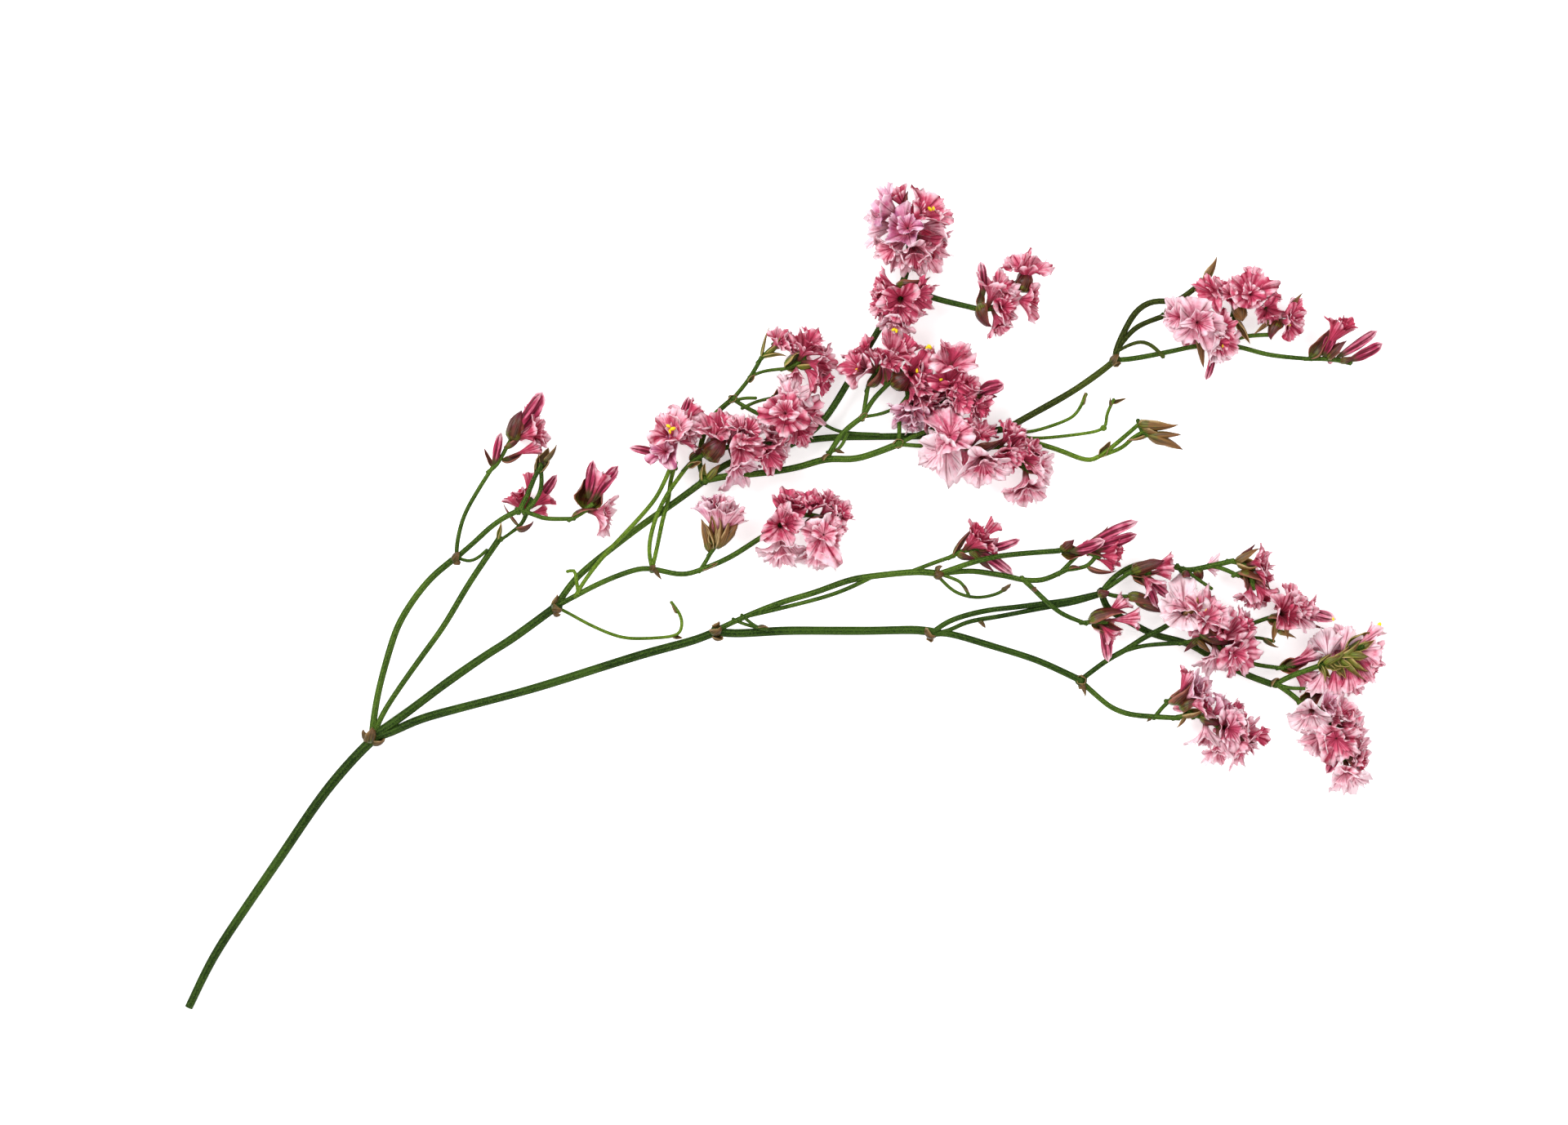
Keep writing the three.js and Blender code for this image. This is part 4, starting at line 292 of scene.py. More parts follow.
LEAF_CORNERS = (12, 9)
LEAF_FULLNESS = 1.1
STOUTEST_LEAF = 0.52
SLIM_TO_STOUT, POINTED_TO_BLUNT = [0.2, 0.6], [0.85, 0.45]
LEAF_CURL = 0.16
RIM_WAVE, RIM_WAVES = 0.16, 11
KEEL = 0.12


def leaf(base, tip, width, wrap=1.5):
    """A scale or bract: a leaf that wraps part of the way round the line from base to tip, pointed if
    it is slim and blunt if it is stout."""
    chance = chance_at(base, tip)
    start, end = on_table(base), on_table(tip)
    length = np.linalg.norm(end - start)
    ahead = (end - start) / length
    out = np.cross(ahead, chance.normal(size=3))
    out /= np.linalg.norm(out)
    side = np.cross(ahead, out)
    phase = chance.uniform(0, 6.28, 3)
    widest = min(LEAF_FULLNESS * width * MM, STOUTEST_LEAF * length)
    point = np.interp(width * MM / length, SLIM_TO_STOUT, POINTED_TO_BLUNT)

    def spots(u, v):
        belly = 1.7 * (v + 0.02) ** 0.5 * (1 - v) ** point
        turn = (2 * u - 1) * wrap * (1 - 0.55 * v**2)
        edge = np.abs(2 * u - 1)
        reach = widest * belly * (1 + RIM_WAVE * np.sin(RIM_WAVES * v + phase[0]) * edge**2)
        reach = reach * (1 + 0.07 * np.cos(8 * turn + phase[1]) + KEEL * (1 - edge) ** 4)
        curl = LEAF_CURL * length * v**2 * math.sin(phase[2])
        along = length * (v * 1.06 - 0.08 * edge**2 * np.sin(math.pi * v))
        return (
            start
            + along[:, None] * ahead
            + (reach * np.cos(turn) + curl)[:, None] * out
            + (reach * np.sin(turn))[:, None] * side
        )

    return shaped_sheet(*LEAF_CORNERS, spots)


SCALE_WRAP, SCALE_WALL = 2.2, 0.12 * MM


def branch(node, green, stems, knots=(), scales=(), scale_look=None):
    """A branch or a group of twigs: its ribbed stalks with their swollen joints, then its scales."""
    name = node + ("_stalk" if len(stems) == 1 else "_stalks")
    grown_piece(name, node, green, [stem(*row) for row in stems] + [swelling(*row) for row in knots])
    if scales:
        parts = [leaf(*row, SCALE_WRAP) for row in scales]
        grown_piece(node + "_scales", node, scale_look, parts, SCALE_WALL)


# Skin of the bracts and scales: greenest at the foot, browner to the tip, blotched, with fine dark
# ribs and a thin papery edge.
bract_skin, ins, outs = effect(
    "bract_skin",
    [("Foot", COLOUR), ("Belly", COLOUR), ("Tip", COLOUR), ("Edge", COLOUR)],
    [("Colour", COLOUR), ("Roughness", VALUE), ("Height", VALUE)],
)
place = wired(bract_skin, "ShaderNodeTexCoord")
over = wired(bract_skin, "ShaderNodeSeparateXYZ", place.outputs["UV"])
BLOTCHES = 700.0
blotch = wired(bract_skin, "ShaderNodeTexNoise", place.outputs["Object"], None, BLOTCHES, 4.0)
up = sums(bract_skin, "SUBTRACT", over.outputs[1], 0.65)
up = sums(bract_skin, "MULTIPLY_ADD", blotch.outputs[0], 1.3, up)
skin = blended(bract_skin, faded(bract_skin, up, 0.05, 0.4), ins.outputs[0], ins.outputs[1])
skin = blended(bract_skin, faded(bract_skin, up, 0.45, 0.95), skin, ins.outputs[2])
BRACT_RIBS = 30.0
DARK_RIB = (0.022, 0.01, 0.004, 1)
across = sums(bract_skin, "MULTIPLY", over.outputs[0], BRACT_RIBS)
stripe = wired(bract_skin, "ShaderNodeCombineXYZ", across, over.outputs[1])
stripes = wired(bract_skin, "ShaderNodeTexNoise", stripe.outputs[0], None, 1.0, 2.0)
skin = blended(bract_skin, faded(bract_skin, stripes.outputs[0], 0.42, 0.56, 0.7, 0.0), skin, DARK_RIB)
edge = sums(bract_skin, "ABSOLUTE", sums(bract_skin, "MULTIPLY_ADD", over.outputs[0], 2.0, -1.0))
edge = sums(bract_skin, "MULTIPLY_ADD", blotch.outputs[0], 0.4, sums(bract_skin, "SUBTRACT", edge, 0.2))
skin = blended(bract_skin, faded(bract_skin, edge, 0.72, 1.0, 0.0, 0.8), skin, ins.outputs[3])
bract_skin.links.new(skin, outs.inputs[0])
bract_skin.links.new(faded(bract_skin, stripes.outputs[0], 0.3, 0.7, 0.2, 0.42), outs.inputs[1])
bract_skin.links.new(stripes.outputs[0], outs.inputs[2])


def bract_finish(name, foot, belly, tip, edge):
    """The finish of bracts and scales, from their foot to their tip and edge."""
    finish = bpy.data.materials.new(name)
    finish.use_nodes = True
    tree = finish.node_tree
    shader = tree.nodes["Principled BSDF"]
    look = tree.nodes.new("ShaderNodeGroup")
    look.node_tree = bract_skin
    for socket, colour in zip(look.inputs, (foot, belly, tip, edge)):
        socket.default_value = colour
    shader.inputs["Specular IOR Level"].default_value = BRACT_GLOSS
    bump = wired(tree, "ShaderNodeBump", 0.6, BUMP_DEPTH)
    tree.links.new(look.outputs["Height"], bump.inputs["Height"])
    tree.links.new(look.outputs["Colour"], shader.inputs["Base Color"])
    tree.links.new(look.outputs["Roughness"], shader.inputs["Roughness"])
    tree.links.new(bump.outputs[0], shader.inputs["Normal"])
    return finish


dark_green = stem_green(
    "dark_green_stem", (0.007, 0.02, 0.002, 1), (0.04, 0.085, 0.009, 1), (0.11, 0.16, 0.045, 1)
)
dry_scale = bract_finish(
    "dry_scale", (0.06, 0.085, 0.01, 1), (0.1, 0.058, 0.012, 1), (0.15, 0.07, 0.018, 1), (0.3, 0.19, 0.075, 1)
)
CUT = True
branch(
    "main_stem", dark_green,
    stems=[
        (1.8, 2.3, [
            (-131.9, -91.1, 0.9), (-126.5, -80.1, 1.1), (-119.6, -69.5, 1.5), (-111.4, -57.6, 2.1),
            (-102.6, -44.7, 2.8), (-95.6, -36.3, 3.5), (-90.7, -31.4, 4),
        ], CUT),
    ],
    knots=[(-90.9, -30.8, 4, 3.2)],
    scales=[
        ((-91.6, -32.2, 4.6), (-91.1, -28.7, 6), 1.5), ((-91.2, -32, 4), (-88, -31.6, 5), 1.3),
        ((-92, -31.6, 4.2), (-92.3, -29.2, 5.2), 1),
    ],
    scale_look=dry_scale,
)

# === Left branch ===
# The first branch on the left, as thick as a match, which rises from the main fork and leans
# inwards to a fork of its own.
leaf_green = stem_green(
    "leaf_green_stem", (0.013, 0.036, 0.003, 1), (0.07, 0.13, 0.014, 1), (0.17, 0.23, 0.06, 1)
)
branch(
    "left_branch", leaf_green,
    stems=[
        (1.5, 1.5, [
            (-90.9, -31, 4), (-90.6, -27.6, 4.2), (-89.3, -20.2, 4.8), (-86.4, -10, 5.5),
            (-84.3, -4.9, 5.8), (-80.9, 0.4, 6), (-77.2, 4.7, 6.2), (-73.6, 7.7, 6.3),
        ]),
    ],
)

# === Left branch twigs ===
# The thin twigs at the top of the left branch. One climbs alone, and one bends over to the
# right and parts again under its spikes. A hair-thin one runs across to its neighbour.
branch(
    "left_branch_twigs", leaf_green,
    stems=[
        (1.2, 1.2, [
            (-72, 8.8, 6.3), (-67.8, 12.4, 7.2), (-64.6, 15.3, 8.2), (-61.3, 17.6, 8.8),
            (-58, 19.2, 8.8),
        ]),
        (0.95, 0.95, [
            (-72, 8.8, 6.3), (-71.9, 12, 6.4), (-70.3, 18.2, 6.6), (-66.6, 24.7, 6.8),
            (-64.6, 27.8, 6.9),
        ]),
        (1.2, 0.95, [(-58, 19.2, 8.8), (-56.2, 22.7, 8.9), (-54.8, 26.2, 8.6), (-53.6, 28.4, 8.4)]),
        (0.95, 0.95, [(-56.6, 19, 8.6), (-54.2, 21.8, 8.2), (-53.2, 25, 8), (-53.4, 28.6, 8.3)]),
        (0.95, 0.95, [(-58, 19.2, 8.8), (-54.8, 18.2, 8.6), (-52, 17.3, 8.3), (-46.7, 17.3, 8)]),
        (0.75, 0.75, [(-72, 8.8, 6.3), (-69.6, 8, 6.2), (-67.4, 8.7, 6.1), (-66, 9.9, 6)]),
    ],
    knots=[(-72, 8.8, 6.3, 2.6)],
    scales=[
        ((-73, 8, 6.5), (-71.1, 9.7, 7.3), 1), ((-72.4, 8, 6.2), (-71.4, 7.3, 7.1), 0.9),
        ((-52.6, 29.8, 8.4), (-49.6, 33, 8), 0.8), ((-53.9, 27.6, 8.3), (-51.8, 32.6, 8.9), 1.6),
        ((-54.3, 27, 8.5), (-54, 31.4, 8.2), 0.8),
    ],
    scale_look=dry_scale,
)

# === Slender branch ===
# A slender pale branch that grows from the same fork, beside the left one, and ends just under
# the middle spike of this side with one shut bud.
green_bract = bract_finish(
    "green_bract", (0.16, 0.23, 0.02, 1), (0.17, 0.17, 0.018, 1), (0.16, 0.06, 0.012, 1), (0.5, 0.36, 0.12, 1)
)
branch(
    "slender_branch", leaf_green,
    stems=[
        (1.1875, 1.44, [
            (-90.7, -31, 4), (-88.7, -26.2, 4.6), (-84.9, -20.2, 4.8), (-79.7, -12.9, 5),
            (-74.8, -6.1, 5.1), (-69.9, 2.2, 5.1), (-65.4, 9, 5.1), (-63.2, 12.2, 5),
        ]),
        (0.75, 0.75, [(-63.2, 12.2, 5), (-61.6, 13.2, 4.9), (-60.2, 14.2, 4.8)]),
    ],
    knots=[(-62.5, 12.8, 5, 1.8)],
    scales=[((-63, 12.6, 5.2), (-62.6, 16.4, 5.6), 0.75)],
    scale_look=green_bract,
)

# === Middle branch ===
# The thick middle branch, which runs up and outwards to the fork with the brown scales.
branch(
    "middle_branch", dark_green,
    stems=[
        (1.9, 1.9, [
            (-90.5, -30.6, 4), (-83.7, -25.9, 4.6), (-74, -18.6, 5.1), (-65, -12.4, 5.5),
            (-59.9, -9.2, 5.7), (-50.6, -2.4, 6),
        ]),
    ],
    knots=[(-50, -2, 6, 3.2)],
    scales=[
        ((-51, -2.4, 6.4), (-48.8, -2.3, 7.4), 1.3), ((-50.6, -3.2, 6), (-49.2, -3.9, 6.7), 1),
        ((-50.8, -1.6, 6.4), (-50.2, 0.6, 7.1), 0.9),
    ],
    scale_look=dry_scale,
)

# === Middle low branch ===
# The lower of the two branches from that fork. It sags, carries two small bracts, and holds the
# bouquet and the ring of flowers at its end.
branch(
    "middle_low_branch", leaf_green,
    stems=[
        (1.2, 1.2, [
            (-50, -2, 6.2), (-46.4, 0, 6.4), (-40, 3.3, 6.4), (-33.2, 5.9, 6.3), (-29, 6.3, 6.3),
            (-22.5, 5, 6.4), (-17.6, 6.3, 6.6), (-11.8, 8.8, 6.8), (-6.4, 12.2, 7), (-2.8, 14.5, 7),
        ]),
        (0.95, 0.95, [(-18.2, 6.2, 6.6), (-17, 8, 6.8), (-16, 9.8, 7)]),
    ],
    knots=[(-28.8, 6.4, 6.3, 1.8)],
    scales=[
        ((-29.4, 5.8, 6.6), (-28.1, 7.1, 7.3), 0.7), ((-28.8, 6.8, 6.6), (-27, 4, 7), 0.6),
        ((-18.4, 6, 6.6), (-14.4, 7.2, 7.4), 0.6),
    ],
    scale_look=dry_scale,
)

# === Middle high branch ===
# The higher of the two, stiff and straight, which ends in a leafy fork with two green bracts.
branch(
    "middle_high_branch", leaf_green,
    stems=[
        (1.5, 1.5, [
            (-50, -1.8, 6), (-46.8, 2.9, 5.6), (-42.9, 6.8, 5.2), (-35.7, 12.5, 4.9), (-30, 16.8, 4.8),
            (-24.3, 20.7, 5), (-17.6, 25.6, 5.7),
        ]),
    ],
    knots=[(-17.4, 25.8, 5.8, 2.6)],
    scales=[((-17.8, 25.6, 6.2), (-17.6, 29.4, 7), 1), ((-16.8, 26, 6.2), (-13.8, 29, 7), 1)],
    scale_look=green_bract,
)

# === Riser twigs ===
# A pair of twigs that climb from the low branch, across the high one, to the upper left spike.
yellow_green = stem_green(
    "yellow_green_stem", (0.03, 0.07, 0.004, 1), (0.13, 0.215, 0.018, 1), (0.26, 0.32, 0.08, 1)
)
branch(
    "riser_twigs", yellow_green,
    stems=[
        (0.95, 0.95, [
            (-28.9, 6.4, 6.3), (-29.6, 10.7, 6.8), (-28.2, 17.2, 7.3), (-25.4, 22.9, 8.2),
            (-21.9, 27.8, 7.8),
        ]),
        (0.95, 0.95, [
            (-28.9, 6.4, 6.3), (-27.7, 11.5, 6.8), (-26.6, 17, 7), (-25.3, 21.6, 6.6),
            (-24.9, 25.4, 6.4), (-23.9, 29, 6.6),
        ]),
    ],
)

# === Front twigs ===
# A long twig that passes over the high branch beside them, and a short hooked one at its foot,
# which bears nothing.
branch(
    "front_twigs", yellow_green,
    stems=[
        (0.95, 0.95, [
            (-45.6, 0.6, 6.6), (-43.6, 3.9, 7.2), (-39.3, 9.4, 7.4), (-33.6, 15.4, 7.3),
            (-28.6, 21.1, 7.8), (-26.3, 25.2, 8.2), (-25, 28.2, 7.8),
        ]),
        (0.95, 0.75, [
            (-45.2, 1.4, 6.8), (-45.5, 3.1, 7.4), (-45.6, 4.4, 7.8), (-45.8, 5.4, 8), (-46.3, 5.9, 8),
            (-46.8, 5.8, 8),
        ]),
    ],
)

# === Trailing twig ===
# A hair-thin bare twig that trails outwards from the middle fork and curls up at its tip.
branch(
    "trailing_twig", yellow_green,
    stems=[
        (0.75, 0.75, [
            (-49.6, -2.4, 6), (-47.6, -3.4, 5.6), (-42.1, -6.4, 4.8), (-35.7, -8.9, 4),
            (-29.6, -9.1, 3.4), (-23.9, -8.5, 3), (-22.5, -6.6, 3), (-22.8, -4, 3.2),
            (-24.3, -1.8, 3.6),
        ]),
    ],
    scales=[((-23.6, -3.6, 3.2), (-25.1, -1.1, 3.8), 0.6), ((-24.6, -8.6, 3), (-22.4, -9, 3), 0.6)],
    scale_look=dry_scale,
)

# === Centre low branch ===
# From the leafy fork a branch runs level under the upper spikes, and parts into three.
branch(
    "centre_low_branch", leaf_green,
    stems=[
        (1.5, 1.5, [
            (-17.4, 25.8, 5.8), (-12, 26.8, 6), (-5.6, 27.3, 6), (2.9, 28.6, 6), (9.4, 30.5, 6),
            (15.5, 30.5, 6.2), (20.5, 31.9, 6.4), (25.4, 33.8, 6.6),
        ]),
        (0.95, 0.95, [(25.4, 33.8, 6.6), (25.6, 37, 7), (25.4, 41.4, 7)]),
        (0.95, 0.95, [(25.4, 33.8, 6.6), (29.6, 35.9, 6.6), (32.6, 36.9, 6.5)]),
        (0.95, 0.95, [(25.4, 33.8, 6.6), (29.9, 33.4, 6.5), (32.9, 33.5, 6.4)]),
    ],
    knots=[(9.6, 30.6, 6, 1.8), (25.4, 33.8, 6.6, 2.6)],
    scales=[((8.6, 30.2, 6.3), (10.2, 31.4, 7.1), 0.8), ((24.4, 33.4, 7), (26.3, 34.4, 7.7), 1)],
    scale_look=dry_scale,
)

# === Centre high branch ===
# Its stronger neighbour runs almost beside it, hidden behind the flowers, to the right fork.
branch(
    "centre_high_branch", dark_green,
    stems=[
        (1.5, 1.5, [
            (-17.4, 25.8, 5.8), (-12.6, 29.4, 4.4), (-5, 32.2, 3.6), (2.5, 34.2, 3.4), (10, 35.3, 3.4),
            (20, 35.5, 3.6), (33.7, 35.7, 3.8), (42, 36, 4), (49.6, 37.4, 4.4),
        ]),
    ],
    knots=[(49.8, 37.5, 4.4, 1.8)],
)

# === Centre fork twigs ===
# The twigs that stand up from the middle of the low one, under the left centre spike.
branch(
    "centre_fork_twigs", leaf_green,
    stems=[
        (1.2, 1.2, [(9.8, 31, 6.2), (12.3, 35.2, 6.6), (15.1, 38, 6.8), (17.6, 39.8, 7)]),
        (0.95, 0.95, [(17.6, 39.8, 7), (18.1, 43, 7), (18.6, 46, 7)]),
        (1.2, 0.95, [(17.6, 39.8, 7), (19.9, 43.7, 7.2), (23.2, 47, 7.4)]),
        (0.75, 0.75, [(17.6, 39.8, 7), (21.4, 40.4, 6.8), (24.4, 41.6, 6.8)]),
        (0.75, 0.75, [(10.4, 32.2, 6.3), (12.4, 32.8, 6.8), (13.8, 35.4, 7.6)]),
    ],
    knots=[(17.6, 39.9, 7, 1.8)],
    scales=[((17, 39.2, 7.3), (18.4, 40.5, 7.9), 0.7), ((11.2, 32.6, 6.5), (13.4, 31.8, 7.4), 0.5)],
    scale_look=dry_scale,
)

# === Top branch ===
# The tall branch that climbs through the middle of the spray to the top spike, with a side arm
# to the small spike on its right.
branch(
    "top_branch", dark_green,
    stems=[
        (1.5, 1.5, [
            (2.2, 34.1, 3.4), (5.4, 35.9, 4.4), (8.8, 39, 5), (12.2, 43.9, 5), (18.8, 55.2, 4.8),
            (21.9, 60.6, 4.8), (24.4, 66, 5.2), (27, 71, 5.6), (28, 79, 6.4),
        ]),
        (1.5, 1.2, [(24.6, 66.4, 5.2), (29, 67.6, 5), (33.7, 65.9, 5.6), (42.2, 63.8, 6.6)]),
        (0.75, 0.75, [(8.4, 38.6, 5), (11.3, 37, 5.1), (14.6, 36.3, 5.2), (20.4, 36, 5.2)]),
    ],
)

# === Upper left twigs ===
# The twigs of the upper left, which start behind the flowers and part three ways.
branch(
    "upper_left_twigs", leaf_green,
    stems=[
        (1.2, 1.2, [
            (-17.4, 25.8, 5.8), (-18.6, 30, 4), (-17.6, 36, 3.8), (-15.1, 40.4, 4.6),
            (-11.1, 43.8, 5.8),
        ]),
        (0.95, 0.95, [(-11.1, 43.8, 5.8), (-8.1, 47.4, 6), (-6, 50.7, 6.2), (-5.2, 52.2, 6.3)]),
        (0.75, 0.75, [(-6.9, 48.8, 6), (-4.2, 49.9, 6.1), (0.2, 50.4, 6.2)]),
        (0.95, 0.95, [(-11.1, 43.8, 5.8), (-7.5, 41.5, 5.8), (-2, 38.9, 6)]),
        (0.75, 0.75, [(-8.4, 42, 5.8), (-5.5, 43.3, 6), (-1.6, 44.1, 6)]),
        (0.75, 0.75, [(-10.6, 43.4, 5.9), (-8.7, 43.9, 6.6), (-6.8, 43.9, 7)]),
    ],
    knots=[(-11.1, 43.6, 5.8, 1.8)],
    scales=[((-12, 43.2, 6.2), (-10.4, 44.4, 6.9), 0.8), ((-7.6, 47.4, 6.4), (-6.3, 49, 6.8), 0.6)],
    scale_look=dry_scale,
)

# === Right branch ===
# The stout right-hand branch, which reaches out to a fork of three.
olive_green = stem_green(
    "olive_green_stem", (0.012, 0.018, 0.002, 1), (0.055, 0.075, 0.009, 1), (0.14, 0.16, 0.04, 1)
)
branch(
    "right_branch", olive_green,
    stems=[
        (1.5, 1.5, [
            (49.8, 37.5, 4.4), (54, 39.9, 4.6), (63.3, 45.1, 5.2), (70.1, 49.8, 5.7), (73, 52.2, 6),
        ]),
    ],
    knots=[(73.3, 52.6, 6, 2.6)],
    scales=[((72.2, 51.6, 6.4), (73.8, 53.5, 7.1), 1), ((72.8, 51.2, 6), (74.4, 51.3, 6.7), 0.8)],
    scale_look=dry_scale,
)

# === Right arc twigs ===
# Two arching twigs from the right fork, and a short one that hooks down and bears nothing.
branch(
    "right_arc_twigs", olive_green,
    stems=[
        (1.5, 1.2, [
            (73.3, 52.6, 6), (73.8, 55.5, 6.2), (76.6, 61.3, 6.6), (79.1, 64.1, 6.8), (82.2, 65.3, 6.9),
            (86.4, 65.3, 6.8), (89.3, 67, 6.6), (92.6, 69.7, 6.5),
        ]),
        (1.2, 1.2, [(73.8, 55, 6.2), (76.6, 58.4, 6.2), (79.5, 60.4, 6.2), (84.4, 62.2, 6)]),
        (0.75, 0.95, [
            (74, 54.4, 6.2), (75.8, 55.4, 7.2), (78.8, 56.3, 7.4), (81.4, 55.3, 7.6), (83.2, 53.5, 7.6),
        ]),
    ],
    scales=[((84.2, 61.4, 6.6), (84.5, 63.6, 7.2), 0.5), ((90.6, 67.6, 7), (92.6, 69.8, 7.6), 1)],
    scale_look=dry_scale,
)

# === Right low twig ===
# The low twig from that fork, which passes under the large spike and ends in the last one.
branch(
    "right_low_twig", leaf_green,
    stems=[
        (1.2, 0.95, [
            (73.3, 52.4, 5.9), (77.4, 52.7, 5.7), (85.6, 54.3, 5), (92, 55.6, 4.2), (99.9, 55.5, 4.6),
            (107.2, 53.5, 5.6), (115.8, 52.6, 6.2),
        ]),
        (0.95, 0.95, [(94.6, 55.8, 4.3), (99.5, 56.9, 5), (102.6, 57.7, 5.6), (106.8, 57.9, 6.2)]),
    ],
)

# === Right thin twigs ===
# Thin twigs with bare tips and small dry scales, the longest of which holds the dry buds.
branch(
    "right_thin_twigs", yellow_green,
    stems=[
        (0.75, 0.75, [
            (50, 37.4, 4.4), (53.8, 36.4, 4.3), (61.6, 38.7, 4.6), (64.9, 40.8, 4.8), (66.6, 44.2, 5),
        ]),
        (0.75, 0.75, [
            (49.9, 37.2, 4.3), (54, 35.1, 4), (65.2, 36, 4.2), (70.8, 37.3, 4.4), (71.5, 40.4, 4.6),
            (72.7, 43, 4.8),
        ]),
        (1.2, 0.95, [
            (49.8, 37.2, 4.3), (54.4, 34.7, 3.4), (61, 32.6, 3.2), (66.8, 30.4, 3.4), (70, 31.2, 3.8),
            (74.6, 34.8, 4.6), (78.7, 38.4, 5.2),
        ]),
        (0.95, 0.95, [(70, 31.2, 3.8), (74.6, 32.9, 4.2), (77.2, 35.2, 4.8), (79.3, 36.4, 5.2)]),
    ],
    knots=[(70.8, 37.4, 4.4, 1.8)],
    scales=[
        ((66.1, 42.4, 4.9), (66.9, 45.2, 5.4), 0.6), ((72.4, 42, 4.7), (72.6, 44, 5.2), 0.5),
        ((72.6, 42.8, 4.8), (75.6, 44, 5), 0.5), ((70, 31, 4.2), (72.1, 34.2, 5.4), 1),
    ],
    scale_look=dry_scale,
)

# === Lower branch ===
# The lower bough, which sweeps far out to the right from the main fork.
branch(
    "lower_branch", dark_green,
    stems=[
        (1.9, 1.9, [
            (-90.4, -31, 4), (-86.6, -29.8, 3.9), (-80.1, -26.9, 3.9), (-69.9, -24.1, 4),
            (-55.2, -20.2, 4.3), (-40, -15.4, 4.7), (-30, -12.3, 5), (-20, -9.6, 5.3),
            (-15.4, -7.8, 5.5),
        ]),
    ],
    knots=[(-14.7, -7.4, 5.5, 3.2)],
    scales=[
        ((-16, -7.8, 6), (-13.8, -6.6, 7.2), 1.4), ((-15.6, -8.6, 5.6), (-13.4, -8.7, 6.6), 1),
        ((-15.4, -6.6, 5.8), (-14.5, -5.2, 6.5), 0.9),
    ],
    scale_look=dry_scale,
)

# === Lower high branch ===
# The higher of its two arms, with a thinner one grown along its underside.
branch(
    "lower_high_branch", leaf_green,
    stems=[
        (1.2, 1.5, [
            (-14.7, -7.2, 5.6), (-7.1, -3.7, 6.1), (0, -1, 6.5), (7.1, 1.1, 6.9), (14.3, 3.7, 7.2),
            (20, 4.7, 7.2), (29, 5.6, 7), (32.4, 5.4, 7),
        ]),
        (0.95, 0.95, [(28, 5.6, 7.1), (32.7, 7.4, 6.8), (37, 8.9, 6.6)]),
        (0.95, 0.95, [
            (-6.4, -3.8, 6.1), (0, -2.3, 6.1), (8.9, 0, 6.4), (14.4, 2, 6.8), (19, 4.2, 7.2),
        ]),
        (0.75, 0.75, [(-10.4, -5.1, 5.8), (-8.4, -6, 5.8), (-4.2, -7, 6.8)]),
        (0.75, 0.75, [(-8.6, -4.4, 6), (-7, -5.8, 6.2), (-5.6, -6.6, 6.5)]),
    ],
    scales=[((-5.6, -6.6, 6.6), (-3.3, -6.5, 7.2), 0.6)],
    scale_look=dry_scale,
)

# === Lower high twigs ===
# The fan of twigs at the end of that arm: one crosses under the others to the cross spike, and
# two curl up with nothing on them.
branch(
    "lower_high_twigs", leaf_green,
    stems=[
        (1.2, 1.2, [
            (34.4, 5.2, 7.2), (40.7, 7.4, 8.2), (45.5, 8.7, 8.7), (51, 9.5, 8.7), (60, 10.2, 8.2),
        ]),
        (1.2, 1.2, [
            (34.4, 5.2, 7.2), (40.7, 5.8, 6), (45.5, 5.3, 5.8), (49.6, 4.6, 6), (53.1, 3.8, 6.2),
            (57, 3.8, 6.3), (60, 4.9, 6.4), (62.2, 6, 6.5),
        ]),
        (0.95, 0.95, [(61.2, 5.5, 6.4), (63, 7.4, 6.8), (64.6, 9, 7.2)]),
        (1.2, 0.95, [
            (53.1, 3.8, 6.2), (55.4, 1.6, 6.8), (58.3, -1.2, 7.8), (61.7, -3.8, 7.8), (66.2, -5.6, 7.4),
        ]),
        (0.75, 0.75, [(35.4, 4.8, 7.4), (37.5, 4.1, 7.6), (39.4, 3, 7.4), (40.5, 1.2, 7)]),
        (0.75, 0.75, [
            (34.4, 4.4, 7), (37.3, 1.6, 6), (40.7, 0.2, 5.2), (44.1, 0, 4.8), (47.6, 0.9, 4.8),
            (49.2, 2, 5),
        ]),
    ],
    knots=[(34.1, 5, 7, 2.6)],
    scales=[
        ((33.2, 4.6, 7.4), (35.2, 5.2, 8.3), 1.1), ((33.6, 5.8, 7.2), (35, 6.8, 7.8), 0.8),
        ((48.2, 1.2, 4.9), (50.2, 2.9, 5.6), 0.6), ((55, 2, 6.8), (56, 1.4, 8), 0.6),
        ((39.6, 2.8, 7.4), (40.7, 0.8, 7), 0.45),
    ],
    scale_look=dry_scale,
)

# === Lower low branch ===
# The lower arm, which runs level to the fork with the large brown scale.
branch(
    "lower_low_branch", dark_green,
    stems=[
        (1.9, 1.9, [
            (-14.7, -7.6, 5.5), (-10, -8, 4.9), (0, -7.4, 4.6), (10, -7.4, 4.5), (20, -7.4, 4.5),
            (29, -7.2, 4.6), (32.2, -7.6, 4.8),
        ]),
    ],
    knots=[(32.8, -8, 4.8, 3.2)],
    scales=[((31.4, -7.2, 5.2), (33.6, -8.1, 6.5), 1.6), ((32, -8.6, 5), (32.6, -9.9, 5.6), 0.9)],
    scale_look=dry_scale,
)

